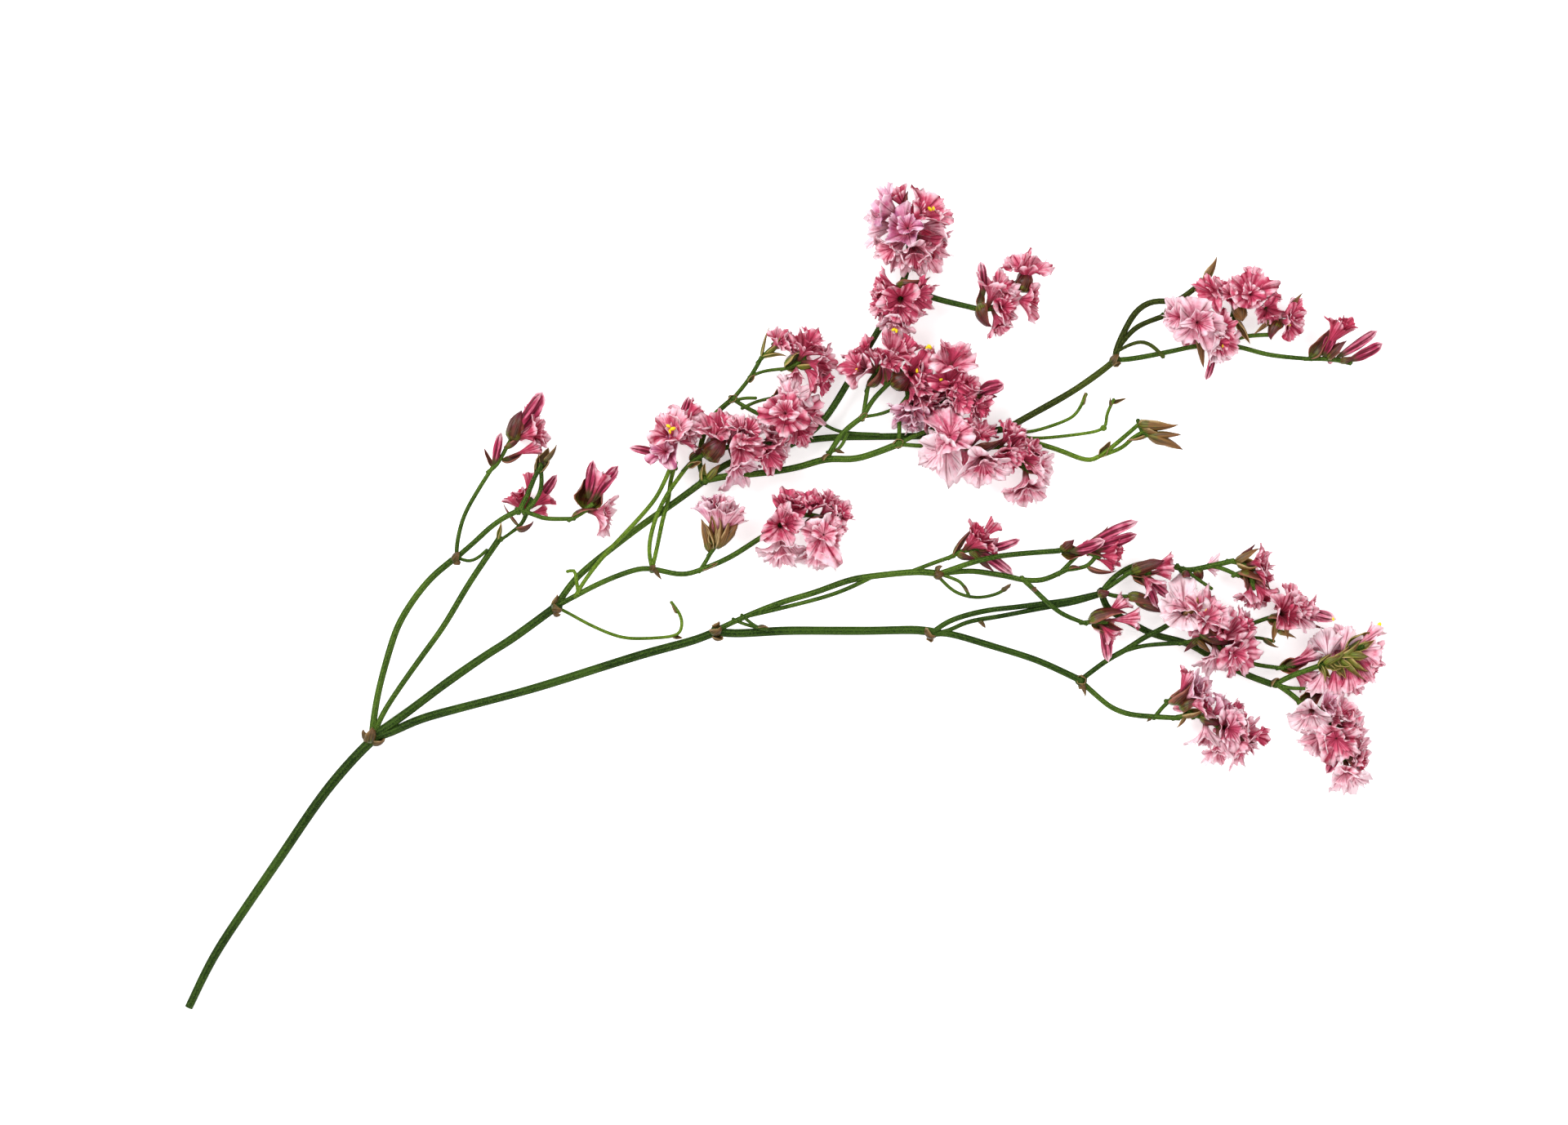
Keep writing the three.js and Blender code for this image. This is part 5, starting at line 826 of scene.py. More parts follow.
# === Lower middle branch ===
# Two stems that grew side by side from there and meet again. One is dark and one bright, but both are given
# the same dark green finish.
branch(
    "lower_middle_branch", dark_green,
    stems=[
        (1.2, 1.2, [
            (33, -7.8, 5), (37, -5.1, 5.4), (44.5, -3, 5.6), (51.4, -2.2, 5.4), (58.2, -1.3, 5.2),
            (63.4, -0.6, 5.4), (68.8, 0.6, 5.9),
        ]),
        (0.95, 1.2, [
            (33.2, -8, 4.8), (36.4, -7.4, 4.6), (41, -5.4, 4.7), (48, -4.2, 4.8), (58.2, -2.2, 4.7),
            (64, -1.2, 5.2), (68.6, 0.2, 5.7),
        ]),
    ],
    scales=[((43.4, -5, 4.8), (44.4, -6.8, 4.8), 0.6)],
    scale_look=dry_scale,
)

# === Lower far branch ===
# The far branch, which bends down to the fork of the lowest spikes.
branch(
    "lower_far_branch", dark_green,
    stems=[
        (1.5, 1.5, [
            (33, -8.2, 4.8), (36.6, -8, 4.2), (46.2, -10.8, 4), (53.1, -12.9, 4), (58.2, -14.8, 4.2),
            (65, -18, 4.7),
        ]),
    ],
    knots=[(65.8, -18.4, 4.8, 3.2)],
    scales=[
        ((65, -17.8, 5.4), (66.7, -18.7, 6.4), 1.2), ((65.4, -19.2, 5), (66.6, -20.4, 5.6), 0.8),
        ((65.9, -18.6, 5), (66.3, -21.8, 5.4), 0.8),
    ],
    scale_look=dry_scale,
)

# === Lower diagonal branch ===
# A long branch that slants down to the right, behind the middle flowers.
branch(
    "lower_diagonal_branch", dark_green,
    stems=[
        (1.5, 1.5, [
            (70.3, 1, 6), (71.4, -2, 4.6), (74, -4, 4), (78.1, -6.3, 4), (82.4, -8.4, 4.4),
            (89.4, -10.2, 4.4), (95, -13.4, 4), (102.1, -17, 4.6), (107.1, -18.9, 5.3),
        ]),
    ],
)

# === Lower end twigs ===
# The short twigs at its end, which hold the two end spikes.
branch(
    "lower_end_twigs", leaf_green,
    stems=[
        (1.2, 1.2, [(108.8, -19.1, 5.4), (112, -17.4, 6.2), (117, -15.5, 7.2)]),
        (1.2, 1.2, [(108.8, -19.1, 5.4), (111.6, -21, 5.6), (114.4, -23.4, 6)]),
        (0.95, 0.75, [(108.8, -19.1, 5.4), (111.4, -20, 6), (114.6, -20.1, 6.6)]),
    ],
    knots=[(108.8, -19.1, 5.4, 2.6)],
    scales=[((107.8, -19.6, 5.8), (109.5, -18.4, 6.7), 1)],
    scale_look=dry_scale,
)

# === Lower outer twigs ===
# The thin twigs from halfway along it, to the right-hand and the side spikes.
branch(
    "lower_outer_twigs", leaf_green,
    stems=[
        (0.95, 0.95, [(94.6, -13.2, 4), (98, -10, 3.4), (102, -6.6, 4), (106.4, -4.8, 5.8)]),
        (0.75, 0.75, [(98, -10, 3.4), (104, -8.9, 4.6), (107.6, -9.6, 5.4)]),
        (0.95, 0.95, [(95.8, -12.1, 3.8), (100, -13.4, 3.4), (104.4, -14.9, 4.6), (109.6, -15.6, 5.8)]),
    ],
    scales=[((106, -9.2, 5), (109.2, -10.9, 5.6), 0.8)],
    scale_look=dry_scale,
)

# === Lowest twigs ===
# The twig to the lowest spike, with a short dry one beside it.
branch(
    "lowest_twigs", leaf_green,
    stems=[
        (1.2, 1.2, [
            (65.8, -18.6, 4.8), (70.7, -23, 4.8), (73.7, -24.9, 5), (78, -26.1, 5.4),
            (86.6, -26.6, 6.2),
        ]),
        (0.95, 0.95, [(82.2, -26.2, 5.8), (83.4, -24.6, 6.2), (85, -23, 6.6)]),
    ],
    scales=[((81.6, -26.4, 5.6), (80.2, -27.4, 5.8), 0.4)],
    scale_look=dry_scale,
)

# === Lowest rising twigs ===
# The twigs that climb back from that fork to the middle flowers, and cross on the way.
branch(
    "lowest_rising_twigs", dark_green,
    stems=[
        (1.2, 1.2, [
            (65.8, -18.2, 5), (71.5, -13.9, 5.4), (75.4, -11.7, 5.8), (79.6, -8.9, 6.4),
            (83.4, -7, 6.6), (86.2, -5.2, 6.8),
        ]),
        (0.95, 0.95, [(74.4, -12.2, 5.7), (78.1, -11, 6), (82.4, -10.4, 6.2), (88, -10.1, 6.6)]),
    ],
)

# === Spike left top ===
# The top spike of the left side. A spike is a green rachis with its papery funnels, its rolled
# buds and its glossy bracts all grown from it, each in an angle of the one before.
# The petals are as thin as paper, so they are sheets with a very thin wall.
LOBES = 5
RIM_POINTS, NARROW_RIM_POINTS = 14 * LOBES, 9 * LOBES
ROWS, NARROW_ROWS = 9, 7
NARROW_FROM = 0.5
PAPER = 0.09 * MM
NECK = 0.3
WIDE_CREASES, MIDDLE_CREASES, FINE_CREASES = (9, 0.45), (16, 0.33), (28, 0.22)
CREASE_DEPTH, CREASE_WIDTH = 0.38, 0.17
LOBE_REACH = 0.17
RIM_CURL_IN, RIM_CURL_UP = 0.22, 0.2
TEAR = 0.03


def mark_bloom(piece, pale, lilac, own, fold):
    """Keeps on the piece how pale and how lilac a bloom is, a number of its own, and how high each point lies
    on its folds, from which the petal skin paints shade in the hollows and a highlight on the crests.
    """
    tones = np.tile([pale, lilac, own, 1.0], (len(piece.data.vertices), 1))
    tones[:, 3] = fold
    piece.data.attributes.new("bloom", "FLOAT_COLOR", "POINT").data.foreach_set("color", tones.ravel())
    return piece


def zigzag(turns):
    """A sharp fold, from 0 to 1 and back in every turn."""
    return np.abs(turns % 1 * 2 - 1)


def whorl(base, mouth, radius, chance, pale, lilac, folded, throat=0.1):
    """A papery funnel, creased from its throat outwards, with a torn and curled rim."""
    length = np.linalg.norm(mouth - base)
    ahead = (mouth - base) / length
    side = np.cross(ahead, [0.36, 0.48, 0.8] if abs(ahead[2]) < 0.9 else [1.0, 0.2, 0.0])
    side /= np.linalg.norm(side)
    top = np.cross(ahead, side)
    spin, swing, *turned = chance.uniform(0, 2 * math.pi, 8)
    tips = np.append(chance.uniform(0.6, 1.4, LOBES), 0)
    tips[-1] = tips[0]
    rim_points, rows = (NARROW_RIM_POINTS, NARROW_ROWS) if folded > NARROW_FROM else (RIM_POINTS, ROWS)
    torn = chance.normal(size=rim_points)
    fold_shade_and_highlight = []

    def spots(u, v):
        turn = 2 * math.pi * u
        limb = np.clip((v - NECK) / (1 - NECK), 0, 1)
        ribs = 0.5 + 0.5 * np.cos(LOBES * turn)
        tip = np.interp(u * LOBES, np.arange(LOBES + 1), tips)
        tear = torn[np.round(u * rim_points).astype(int) % rim_points] * v**9
        sway = 0.35 * np.sin(2 * turn + turned[0]) + 0.1 * v
        crease = WIDE_CREASES[1] * zigzag(WIDE_CREASES[0] * u + turned[1] + sway)
        crease = crease + MIDDLE_CREASES[1] * zigzag(MIDDLE_CREASES[0] * u + turned[2] - sway)
        crease = crease + FINE_CREASES[1] * zigzag(FINE_CREASES[0] * u + turned[3])
        curl = 0.55 * np.sin(3 * turn + turned[4]) + 0.45 * np.sin(4 * turn + turned[5])
        reach = throat + 0.2 * v + (0.82 - throat) * limb**1.1
        lobed = limb**2 * (LOBE_REACH * tip * ribs**1.5 - 0.1)
        reach = reach * (1 + lobed + 0.12 * limb * np.cos(2 * turn + swing))
        reach = reach * (1 - RIM_CURL_IN * limb**3 * curl - 0.3 * folded * limb**2 * (1 - ribs))
        reach = reach + CREASE_WIDTH * limb * (crease - 0.5) + TEAR * tear
        rise = (1 - (1 - v) ** (1.6 - 0.4 * folded)) * length
        fold = limb * (0.12 * ribs**2 - 0.04) + CREASE_DEPTH * limb**1.2 * (crease - 0.5)
        fold = fold + RIM_CURL_UP * limb**3 * curl + 0.13 * limb**2 * np.cos(turn + swing) + TEAR * tear
        rise = rise + fold * radius
        angle = turn + spin + 0.1 * limb * np.sin(LOBES * turn + turned[0])
        # Painted light: how high each point lies across the creases, for the petal skin to paint shade in the
        # hollows and a highlight on the crests.
        fold_shade_and_highlight.append(np.clip(0.5 + (crease - 0.5) * (0.3 + 1.3 * limb) + 0.2 * limb**2 * curl, 0, 1))
        return (
            base
            + rise[:, None] * ahead
            + (reach * radius * np.cos(angle))[:, None] * side
            + (reach * radius * np.sin(angle))[:, None] * top
        )

    sheet = shaped_sheet(rim_points, rows, spots)
    return mark_bloom(sheet, pale, lilac, chance.random(), fold_shade_and_highlight[0])


FLOWER_FULLNESS = 1.1
INNER_FROM = 0.4
INNER_LEAN = 0.24
INNER_SIZES = (0.45, 0.72)
INNER_FOLDS = (0.2, 0.5)
INNER_THROAT = 0.02
INNER_PALENESS = 0.7


def flower(base, mouth, radius, pale=0.3, lilac=0.0, folded=0.0):
    """A flower: its outer papery funnel, and the smaller crumpled petals, leaning their own way,
    inside one that is open."""
    chance = chance_at(base, mouth)
    start, end = on_table(base), on_table(mouth)
    wide = FLOWER_FULLNESS * radius * MM
    whorls = [whorl(start, end, wide, chance, pale, lilac, folded)]
    if folded < NARROW_FROM:
        inside = start + INNER_FROM * (end - start)
        leaned = end + chance.normal(size=3) * INNER_LEAN * wide
        size = chance.uniform(*INNER_SIZES) * wide
        inner_fold = chance.uniform(*INNER_FOLDS)
        whorls.append(
            whorl(inside, leaned, size, chance, INNER_PALENESS * pale, lilac, inner_fold, INNER_THROAT)
        )
    return whorls


BUD_CORNERS = (36, 12)
BUD_PALENESS = 0.35
BUD_TWIST = 0.6
BUD_BOW = 0.05


def bud(base, tip, radius):
    """A closed bloom, its petals rolled round each other to a point."""
    chance = chance_at(base, tip)
    start, end = on_table(base), on_table(tip)
    length = np.linalg.norm(end - start)
    ahead = (end - start) / length
    side = np.cross(ahead, [0.36, 0.48, 0.8])
    side /= np.linalg.norm(side)
    top = np.cross(ahead, side)
    phase, lean = chance.uniform(0, 2 * math.pi, 2)
    fold_shade_and_highlight = []

    def spots(u, v):
        turn = 2 * math.pi * u
        belly = 1.5 * np.clip(v, 0, 1) ** 0.7 * (1 - v) ** 0.42
        crease = 0.6 * zigzag(5 * u + BUD_TWIST * v + phase) + 0.4 * zigzag(12 * u - 0.3 * v)
        reach = radius * MM * belly * (1 + 0.2 * np.cos(3 * turn + 4.5 * v + phase) + 0.5 * (crease - 0.5))
        # Painted light: the crests of the rolled pleats, for the petal skin to paint a highlight on them and
        # shade in the hollows between.
        fold_shade_and_highlight.append(np.clip(1.6 * crease - 0.45, 0, 1))
        bow = BUD_BOW * length * np.sin(math.pi * v)
        angle = turn + BUD_TWIST * v
        return (
            start
            + (length * v * (1 + 0.14 * v**2 * (crease - 0.5)))[:, None] * ahead
            + (reach * np.cos(angle) + bow * math.cos(lean))[:, None] * side
            + (reach * np.sin(angle) + bow * math.sin(lean))[:, None] * top
        )

    piece = shaped_sheet(*BUD_CORNERS, spots)
    return mark_bloom(piece, BUD_PALENESS, 0, chance.random(), fold_shade_and_highlight[0])


# Skin of the petals: dark at the throat, deep pink along the five ribs, paler towards the rim, with fine
# veins from the throat outwards.
# The folds carry painted light: painted shade turns their hollows deep pink, and a painted highlight turns
# their crests pale, near white on the highest.
petal_skin, ins, outs = effect(
    "petal_skin",
    [("Deep", COLOUR), ("Pink", COLOUR), ("Pale", COLOUR), ("Vein", COLOUR), ("Throat", COLOUR)],
    [("Colour", COLOUR), ("Height", VALUE)],
)
place = wired(petal_skin, "ShaderNodeTexCoord")
over = wired(petal_skin, "ShaderNodeSeparateXYZ", place.outputs["UV"])
bloom = wired(petal_skin, "ShaderNodeAttribute", attribute_name="bloom")
tone = wired(petal_skin, "ShaderNodeSeparateColor", bloom.outputs["Color"])
lobe = sums(petal_skin, "FRACT", sums(petal_skin, "MULTIPLY", over.outputs[0], float(LOBES)))
off_rib = sums(petal_skin, "ABSOLUTE", sums(petal_skin, "SUBTRACT", lobe, 0.5))
off_rib = sums(petal_skin, "SUBTRACT", 0.5, off_rib)
VEINS, CLOUDS, CRUMPLES = 62.0, 520.0, 1500.0
fan = wired(
    petal_skin,
    "ShaderNodeCombineXYZ",
    sums(petal_skin, "MULTIPLY", over.outputs[0], VEINS),
    sums(petal_skin, "MULTIPLY", over.outputs[1], 2.2),
    sums(petal_skin, "MULTIPLY", tone.outputs[2], 40.0),
)
veins = wired(petal_skin, "ShaderNodeTexNoise", fan.outputs[0], None, 1.0, 3.0)
cloud = wired(petal_skin, "ShaderNodeTexNoise", place.outputs["Object"], None, CLOUDS, 4.0)
outward = faded(petal_skin, over.outputs[1], 0.3, 1.0)
# Paleness of each point: the bloom's own paleness, cloudy patches and its number of its own, paler outwards,
# plus a painted highlight on the crests of the folds.
paleness_and_crest_highlight = sums(petal_skin, "SUBTRACT", tone.outputs[0], 1.36)
paleness_and_crest_highlight = sums(petal_skin, "MULTIPLY_ADD", bloom.outputs["Alpha"], 0.7, paleness_and_crest_highlight)
paleness_and_crest_highlight = sums(petal_skin, "MULTIPLY_ADD", cloud.outputs[0], 1.4, paleness_and_crest_highlight)
paleness_and_crest_highlight = sums(petal_skin, "MULTIPLY_ADD", tone.outputs[2], 0.3, paleness_and_crest_highlight)
paleness_and_crest_highlight = sums(petal_skin, "MULTIPLY_ADD", outward, 0.22, paleness_and_crest_highlight)
# Deep pink of the veins, less of it outwards, plus painted shade in the hollows of the folds.
veins_and_hollow_shade = sums(petal_skin, "SUBTRACT", bloom.outputs["Alpha"], 0.35)
veins_and_hollow_shade = sums(petal_skin, "MULTIPLY_ADD", veins.outputs[0], 0.7, veins_and_hollow_shade)
veins_and_hollow_shade = sums(petal_skin, "MULTIPLY_ADD", outward, 0.18, veins_and_hollow_shade)
PAINTED_CREST_HIGHLIGHT, LILAC, PALE_RIM_AND_HIGHLIGHT = (0.88, 0.72, 0.76, 1), (0.5, 0.27, 0.52, 1), (0.85, 0.66, 0.7, 1)
skin = blended(petal_skin, faded(petal_skin, veins_and_hollow_shade, 0.12, 0.7), ins.outputs[0], ins.outputs[1])
skin = blended(petal_skin, faded(petal_skin, paleness_and_crest_highlight, 0.05, 0.85), skin, ins.outputs[2])
# The highest crests take a near-white painted highlight.
skin = blended(petal_skin, faded(petal_skin, paleness_and_crest_highlight, 0.6, 1.15, 0.0, 0.8), skin, PAINTED_CREST_HIGHLIGHT)
lilac = sums(petal_skin, "MULTIPLY", tone.outputs[1], sums(petal_skin, "MULTIPLY", outward, 0.5))
skin = blended(petal_skin, lilac, skin, LILAC)
along_rib = sums(petal_skin, "MULTIPLY", faded(petal_skin, off_rib, 0.12, 0.0), 0.5)
skin = blended(petal_skin, along_rib, skin, ins.outputs[0])
line = sums(petal_skin, "MULTIPLY", off_rib, over.outputs[1])
skin = blended(petal_skin, faded(petal_skin, line, 0.02, 0.006, 0.0, 0.7), skin, ins.outputs[3])
skin = blended(petal_skin, faded(petal_skin, veins.outputs[0], 0.55, 0.66, 0.0, 0.6), skin, ins.outputs[3])
# Paler towards the rim, but only where the crest value is high, so partly the rim's own paleness and partly a
# painted highlight on its crests.
rim_paleness_on_crests = faded(petal_skin, over.outputs[1], 0.7, 1.0)
rim_paleness_on_crests = sums(petal_skin, "MULTIPLY", rim_paleness_on_crests, faded(petal_skin, paleness_and_crest_highlight, 0.0, 0.7, 0.0, 0.6))
skin = blended(petal_skin, rim_paleness_on_crests, skin, PALE_RIM_AND_HIGHLIGHT)
throat = faded(petal_skin, over.outputs[1], 0.36, 0.14)
skin = blended(petal_skin, throat, skin, ins.outputs[4])
petal_skin.links.new(skin, outs.inputs[0])
crumple = wired(petal_skin, "ShaderNodeTexNoise", place.outputs["Object"], None, CRUMPLES, 5.0, 0.6)
crumple = sums(petal_skin, "MULTIPLY_ADD", crumple.outputs[0], 1.6, veins.outputs[0])
crumple = sums(petal_skin, "SUBTRACT", crumple, faded(petal_skin, line, 0.03, 0.0))
petal_skin.links.new(crumple, outs.inputs[1])


PETAL_VEIN, PETAL_THROAT = (0.16, 0.006, 0.026, 1), (0.12, 0.03, 0.02, 1)


def petal_finish(name, deep, pink, pale, throat=PETAL_THROAT):
    """The finish of thin papery petals, which let a little light through."""
    finish = bpy.data.materials.new(name)
    finish.use_nodes = True
    tree = finish.node_tree
    shader = tree.nodes["Principled BSDF"]
    look = tree.nodes.new("ShaderNodeGroup")
    look.node_tree = petal_skin
    for socket, colour in zip(look.inputs, (deep, pink, pale, PETAL_VEIN, throat)):
        socket.default_value = colour
    bump = wired(tree, "ShaderNodeBump", 0.55, BUMP_DEPTH)
    tree.links.new(look.outputs["Height"], bump.inputs["Height"])
    tree.links.new(look.outputs["Colour"], shader.inputs["Base Color"])
    tree.links.new(bump.outputs[0], shader.inputs["Normal"])
    shader.inputs["Roughness"].default_value = 0.6
    shader.inputs["Specular IOR Level"].default_value = 0.22
    shader.inputs["Subsurface Weight"].default_value = 0.12
    shader.inputs["Subsurface Radius"].default_value = (1.0, 0.35, 0.4)
    shader.inputs["Subsurface Scale"].default_value = 0.0008
    return finish


crimson_bud = petal_finish(
    "crimson_bud", (0.1, 0.003, 0.014, 1), (0.38, 0.022, 0.08, 1), (0.7, 0.2, 0.3, 1),
    throat=(0.06, 0.05, 0.012, 1),
)
dry_bract = bract_finish(
    "dry_bract", (0.13, 0.13, 0.015, 1), (0.2, 0.095, 0.022, 1), (0.25, 0.1, 0.028, 1), (0.52, 0.36, 0.16, 1)
)


# Yellow anthers show in the mouths of the flowers that are out.
def anther(x, y, z, width):
    """A small anther, longer than it is wide, turned its own way."""
    bpy.ops.object.select_all(action="DESELECT")
    bpy.ops.mesh.primitive_ico_sphere_add(
        subdivisions=2, radius=width * MM / 2, location=on_table([x, y, z])
    )
    bpy.context.object.scale = (1.3, 0.8, 0.7)
    bpy.context.object.rotation_euler = (0.4, 0.3, 7 * x)
    bpy.ops.object.transform_apply(location=True, rotation=True, scale=True)
    return bpy.context.object


pollen = bpy.data.materials.new("pollen")
pollen.use_nodes = True
pollen.node_tree.nodes["Principled BSDF"].inputs["Base Color"].default_value = (0.86, 0.66, 0.005, 1)
pollen.node_tree.nodes["Principled BSDF"].inputs["Roughness"].default_value = 0.7

FOLDED_WIDE, FOLDED_HALF, FOLDED_NARROW = 0.0, 0.3, 0.8
STOUT_BRACT, STOUT_WRAP, SLIM_WRAP, DRY_WRAP = 1.5, 1.9, 1.5, 2.6


def spike(
    node, stems, petal_look=None, pale=0.3, wide=(), half_open=(), narrow=(),
    buds=(), bract_look=None, bracts=(), dry_bracts=(), anthers=(), knots=(),
):
    """A spike of flowers, one piece for each of its kinds of part. The row of a flower says its base,
    mouth and radius, then how pale and how lilac it is, if it is unlike the rest of the spike."""
    rachis = [stem(*row) for row in stems] + [swelling(*row) for row in knots]
    grown_piece(node + "_rachis", node, leaf_green, rachis)
    petals = []
    for folded, rows in ((FOLDED_WIDE, wide), (FOLDED_HALF, half_open), (FOLDED_NARROW, narrow)):
        for base, mouth, radius, *tones in rows:
            tones += [pale, 0.0][len(tones):]
            petals += flower(base, mouth, radius, *tones, folded)
    if petals:
        grown_piece(node + "_petals", node, petal_look, petals, PAPER)
    if buds:
        grown_piece(node + "_buds", node, crimson_bud, [bud(*row) for row in buds])
    if bracts:
        parts = [leaf(*row, STOUT_WRAP if row[2] > STOUT_BRACT else SLIM_WRAP) for row in bracts]
        grown_piece(node + "_bracts", node, bract_look, parts, PAPER)
    if dry_bracts:
        parts = [leaf(*row, DRY_WRAP) for row in dry_bracts]
        grown_piece(node + "_dry_bracts", node, dry_bract, parts, PAPER)
    if anthers:
        grown_piece(node + "_anthers", node, pollen, [anther(*row) for row in anthers])


rosy_petal = petal_finish("rosy_petal", (0.18, 0.004, 0.02, 1), (0.47, 0.037, 0.09, 1), (0.81, 0.34, 0.44, 1))
maroon_bract = bract_finish(
    "maroon_bract", (0.12, 0.14, 0.012, 1), (0.1, 0.022, 0.009, 1), (0.13, 0.007, 0.024, 1),
    (0.34, 0.11, 0.07, 1),
)
spike(
    "spike_left_top",
    stems=[
        (0.95, 0.95, [
            (-64.6, 28, 6.9), (-63.2, 29.2, 7), (-61.5, 32, 7.2), (-60.2, 34.4, 7.4),
            (-58.5, 36.5, 7.4),
        ]),
    ],
    petal_look=rosy_petal, pale=0.2,
    half_open=[((-59.4, 34.9, 7.2), (-53.4, 36.2, 9), 3.2)],
    narrow=[
        ((-59.6, 36, 7), (-55.2, 41, 6.4), 2), ((-60.4, 31, 7), (-53.6, 33.4, 6.4), 2),
        ((-60.2, 34.4, 7.4), (-57.8, 36.6, 1.4), 2.2),
    ],
    buds=[((-63.8, 28.8, 7), (-62.2, 36, 8.4), 1.2), ((-60, 35, 7.5), (-53.2, 44.7, 9), 2.3)],
    bract_look=maroon_bract,
    bracts=[
        ((-63.9, 28.7, 7), (-65.9, 32.6, 7.2), 0.7), ((-60, 34.6, 7.4), (-57.5, 40.8, 8.6), 2.2),
        ((-61.5, 33, 7.2), (-57.4, 35.6, 7.6), 1.2), ((-62, 30.2, 7), (-57.4, 31.4, 6.8), 1.3),
    ],
)

# === Spike left middle ===
# The middle spike of the left side, half open.
spike(
    "spike_left_middle",
    stems=[(0.75, 1.2, [(-60, 14.4, 4.8), (-58, 16, 4.4), (-56.8, 18.4, 4.2), (-56, 21, 4.2)])],
    petal_look=rosy_petal, pale=0.15,
    half_open=[((-57, 18, 4.2), (-59.2, 22.4, 4.4), 3.2)],
    narrow=[
        ((-56.4, 19.6, 4.2), (-55.8, 27.4, 5.2), 1.6), ((-56, 19.6, 4.4), (-51.8, 22.3, 4.8), 2.2),
        ((-56.6, 18.4, 4), (-52.4, 19.2, 4), 1.4), ((-56.6, 18.8, 4), (-57.6, 20.8, 0.9), 1.8),
    ],
    buds=[((-56.2, 19.4, 4.2), (-50.2, 26.7, 5), 1.3)],
    bract_look=maroon_bract,
    bracts=[((-59, 15.2, 4.6), (-55.2, 16.2, 5.4), 1.4), ((-58.4, 15.8, 4.4), (-61.2, 20.6, 4.4), 0.9)],
)

# === Spike left right ===
# The right-hand spike of the left side: a glossy bract with one open flower.
spike(
    "spike_left_right",
    stems=[(0.95, 1.2, [(-46.6, 17.3, 8), (-44.5, 18.5, 7.9), (-42.6, 20, 7.8)])],
    petal_look=rosy_petal,
    half_open=[((-43, 19, 7), (-38.5, 18, 8.4), 3.9)],
    narrow=[((-42.8, 20.6, 7.8), (-39.4, 27.2, 8.6), 2.5), ((-42.8, 19.8, 7.8), (-43, 21.6, 1.3), 2.3)],
    buds=[((-41.8, 21, 7.8), (-36.5, 28.7, 8.6), 1.6), ((-43, 21.6, 8), (-41.8, 29.8, 9), 1.4)],
    bract_look=maroon_bract,
    bracts=[((-46.4, 17.5, 8), (-41, 19.6, 8.4), 1.4), ((-43.6, 19.4, 7.8), (-41, 26.6, 8.4), 3.4)],
)

# === Spike upper left ===
# The upper left spike, with a flower that shows its yellow anthers.
pink_petal = petal_finish(
    "pink_petal", (0.22, 0.005, 0.026, 1), (0.56, 0.062, 0.135, 1), (0.86, 0.45, 0.54, 1)
)
spike(
    "spike_upper_left",
    stems=[
        (0.95, 1.2, [(-24.8, 28.6, 7.4), (-24.8, 31, 7.2), (-24, 34.5, 7), (-22.4, 38, 6.8)]),
        (0.95, 0.95, [(-23.9, 29, 6.6), (-24.6, 31.2, 7)]),
    ],
    petal_look=pink_petal,
    wide=[((-24.3, 33.5, 7.2), (-24.7, 37.4, 13), 4.3, 0.4)],
    half_open=[
        ((-23.6, 35.5, 6.8), (-20.8, 39, 9.5), 3.9, 0.4),
        ((-24.7, 31, 7.2), (-26, 32.8, 11), 3.9, 0.35, 0.6),
    ],
    narrow=[
        ((-22.6, 37.6, 6.8), (-19, 42.4, 6.8), 2.1), ((-24.8, 31, 6.8), (-28.4, 31.8, 7), 2.4),
        ((-24, 34.5, 7), (-19.3, 34.4, 8.4), 2.2), ((-24.2, 34, 6.8), (-26, 36.6, 1.3), 2.4),
        ((-23.8, 35, 6.8), (-21, 35.6, 1.3), 2.2),
    ],
    buds=[
        ((-23.2, 37.6, 6.8), (-20.9, 44, 6.6), 1), ((-25.6, 31.2, 6.8), (-33.6, 32.9, 7), 1.2),
        ((-25.4, 32.6, 7), (-24.7, 28.3, 9.2), 1.1), ((-24.4, 34, 7), (-29.4, 36.6, 6.6), 0.8),
    ],
    anthers=[
        (-24.2, 37, 11.6, 1.1), (-25.2, 37.6, 11.6, 0.9), (-24.9, 36.3, 11.7, 0.9),
        (-19.8, 34.2, 8.4, 0.8),
    ],
)

# === Spike upper middle ===
# The long spike over the leafy fork, where pale flowers droop over the branch.
spike(
    "spike_upper_middle",
    stems=[
        (0.95, 1.2, [
            (-21.6, 28.2, 7.8), (-19.5, 30.4, 7.5), (-16.5, 31.7, 7.2), (-12.5, 33, 7.2),
            (-8, 34.5, 7.2), (-3.6, 34.2, 7),
        ]),
    ],
    petal_look=pink_petal,
    wide=[
        ((-15.2, 33, 7.2), (-15.2, 37.8, 10), 4.3), ((-11.8, 33, 7), (-9.2, 26.8, 9.4), 4.4, 0.75, 0.2),
    ],
    half_open=[
        ((-12, 33.8, 7.2), (-10.5, 38.6, 9.5), 3.2), ((-9.5, 34.4, 7.4), (-8, 36.6, 11.5), 3.4),
        ((-7, 34.4, 7), (-5.3, 38, 8.5), 3.3, 0.75), ((-10.2, 33.8, 7.4), (-8, 32.2, 12), 3.9),
        ((-5, 34.2, 7.2), (-1.9, 30.8, 10.5), 3.7), ((-4.5, 34.2, 7.2), (-1.5, 35.8, 9), 2.8),
        ((-4, 34, 6.6), (0.8, 33.2, 7), 2.8, 0.85),
    ],
    narrow=[((-14.6, 32.4, 6.8), (-13.8, 35.8, 1.3), 2.5), ((-7.6, 34.4, 6.8), (-6, 32.6, 1.3), 2.5)],
    bract_look=maroon_bract,
    bracts=[((-20.5, 30, 7.4), (-17.4, 32.6, 8.2), 1.3), ((-17, 30.8, 7), (-12.8, 34.8, 9.8), 2.9)],
    dry_bracts=[((-21.2, 28.7, 7.8), (-18.2, 29.8, 8.2), 0.8)],
)

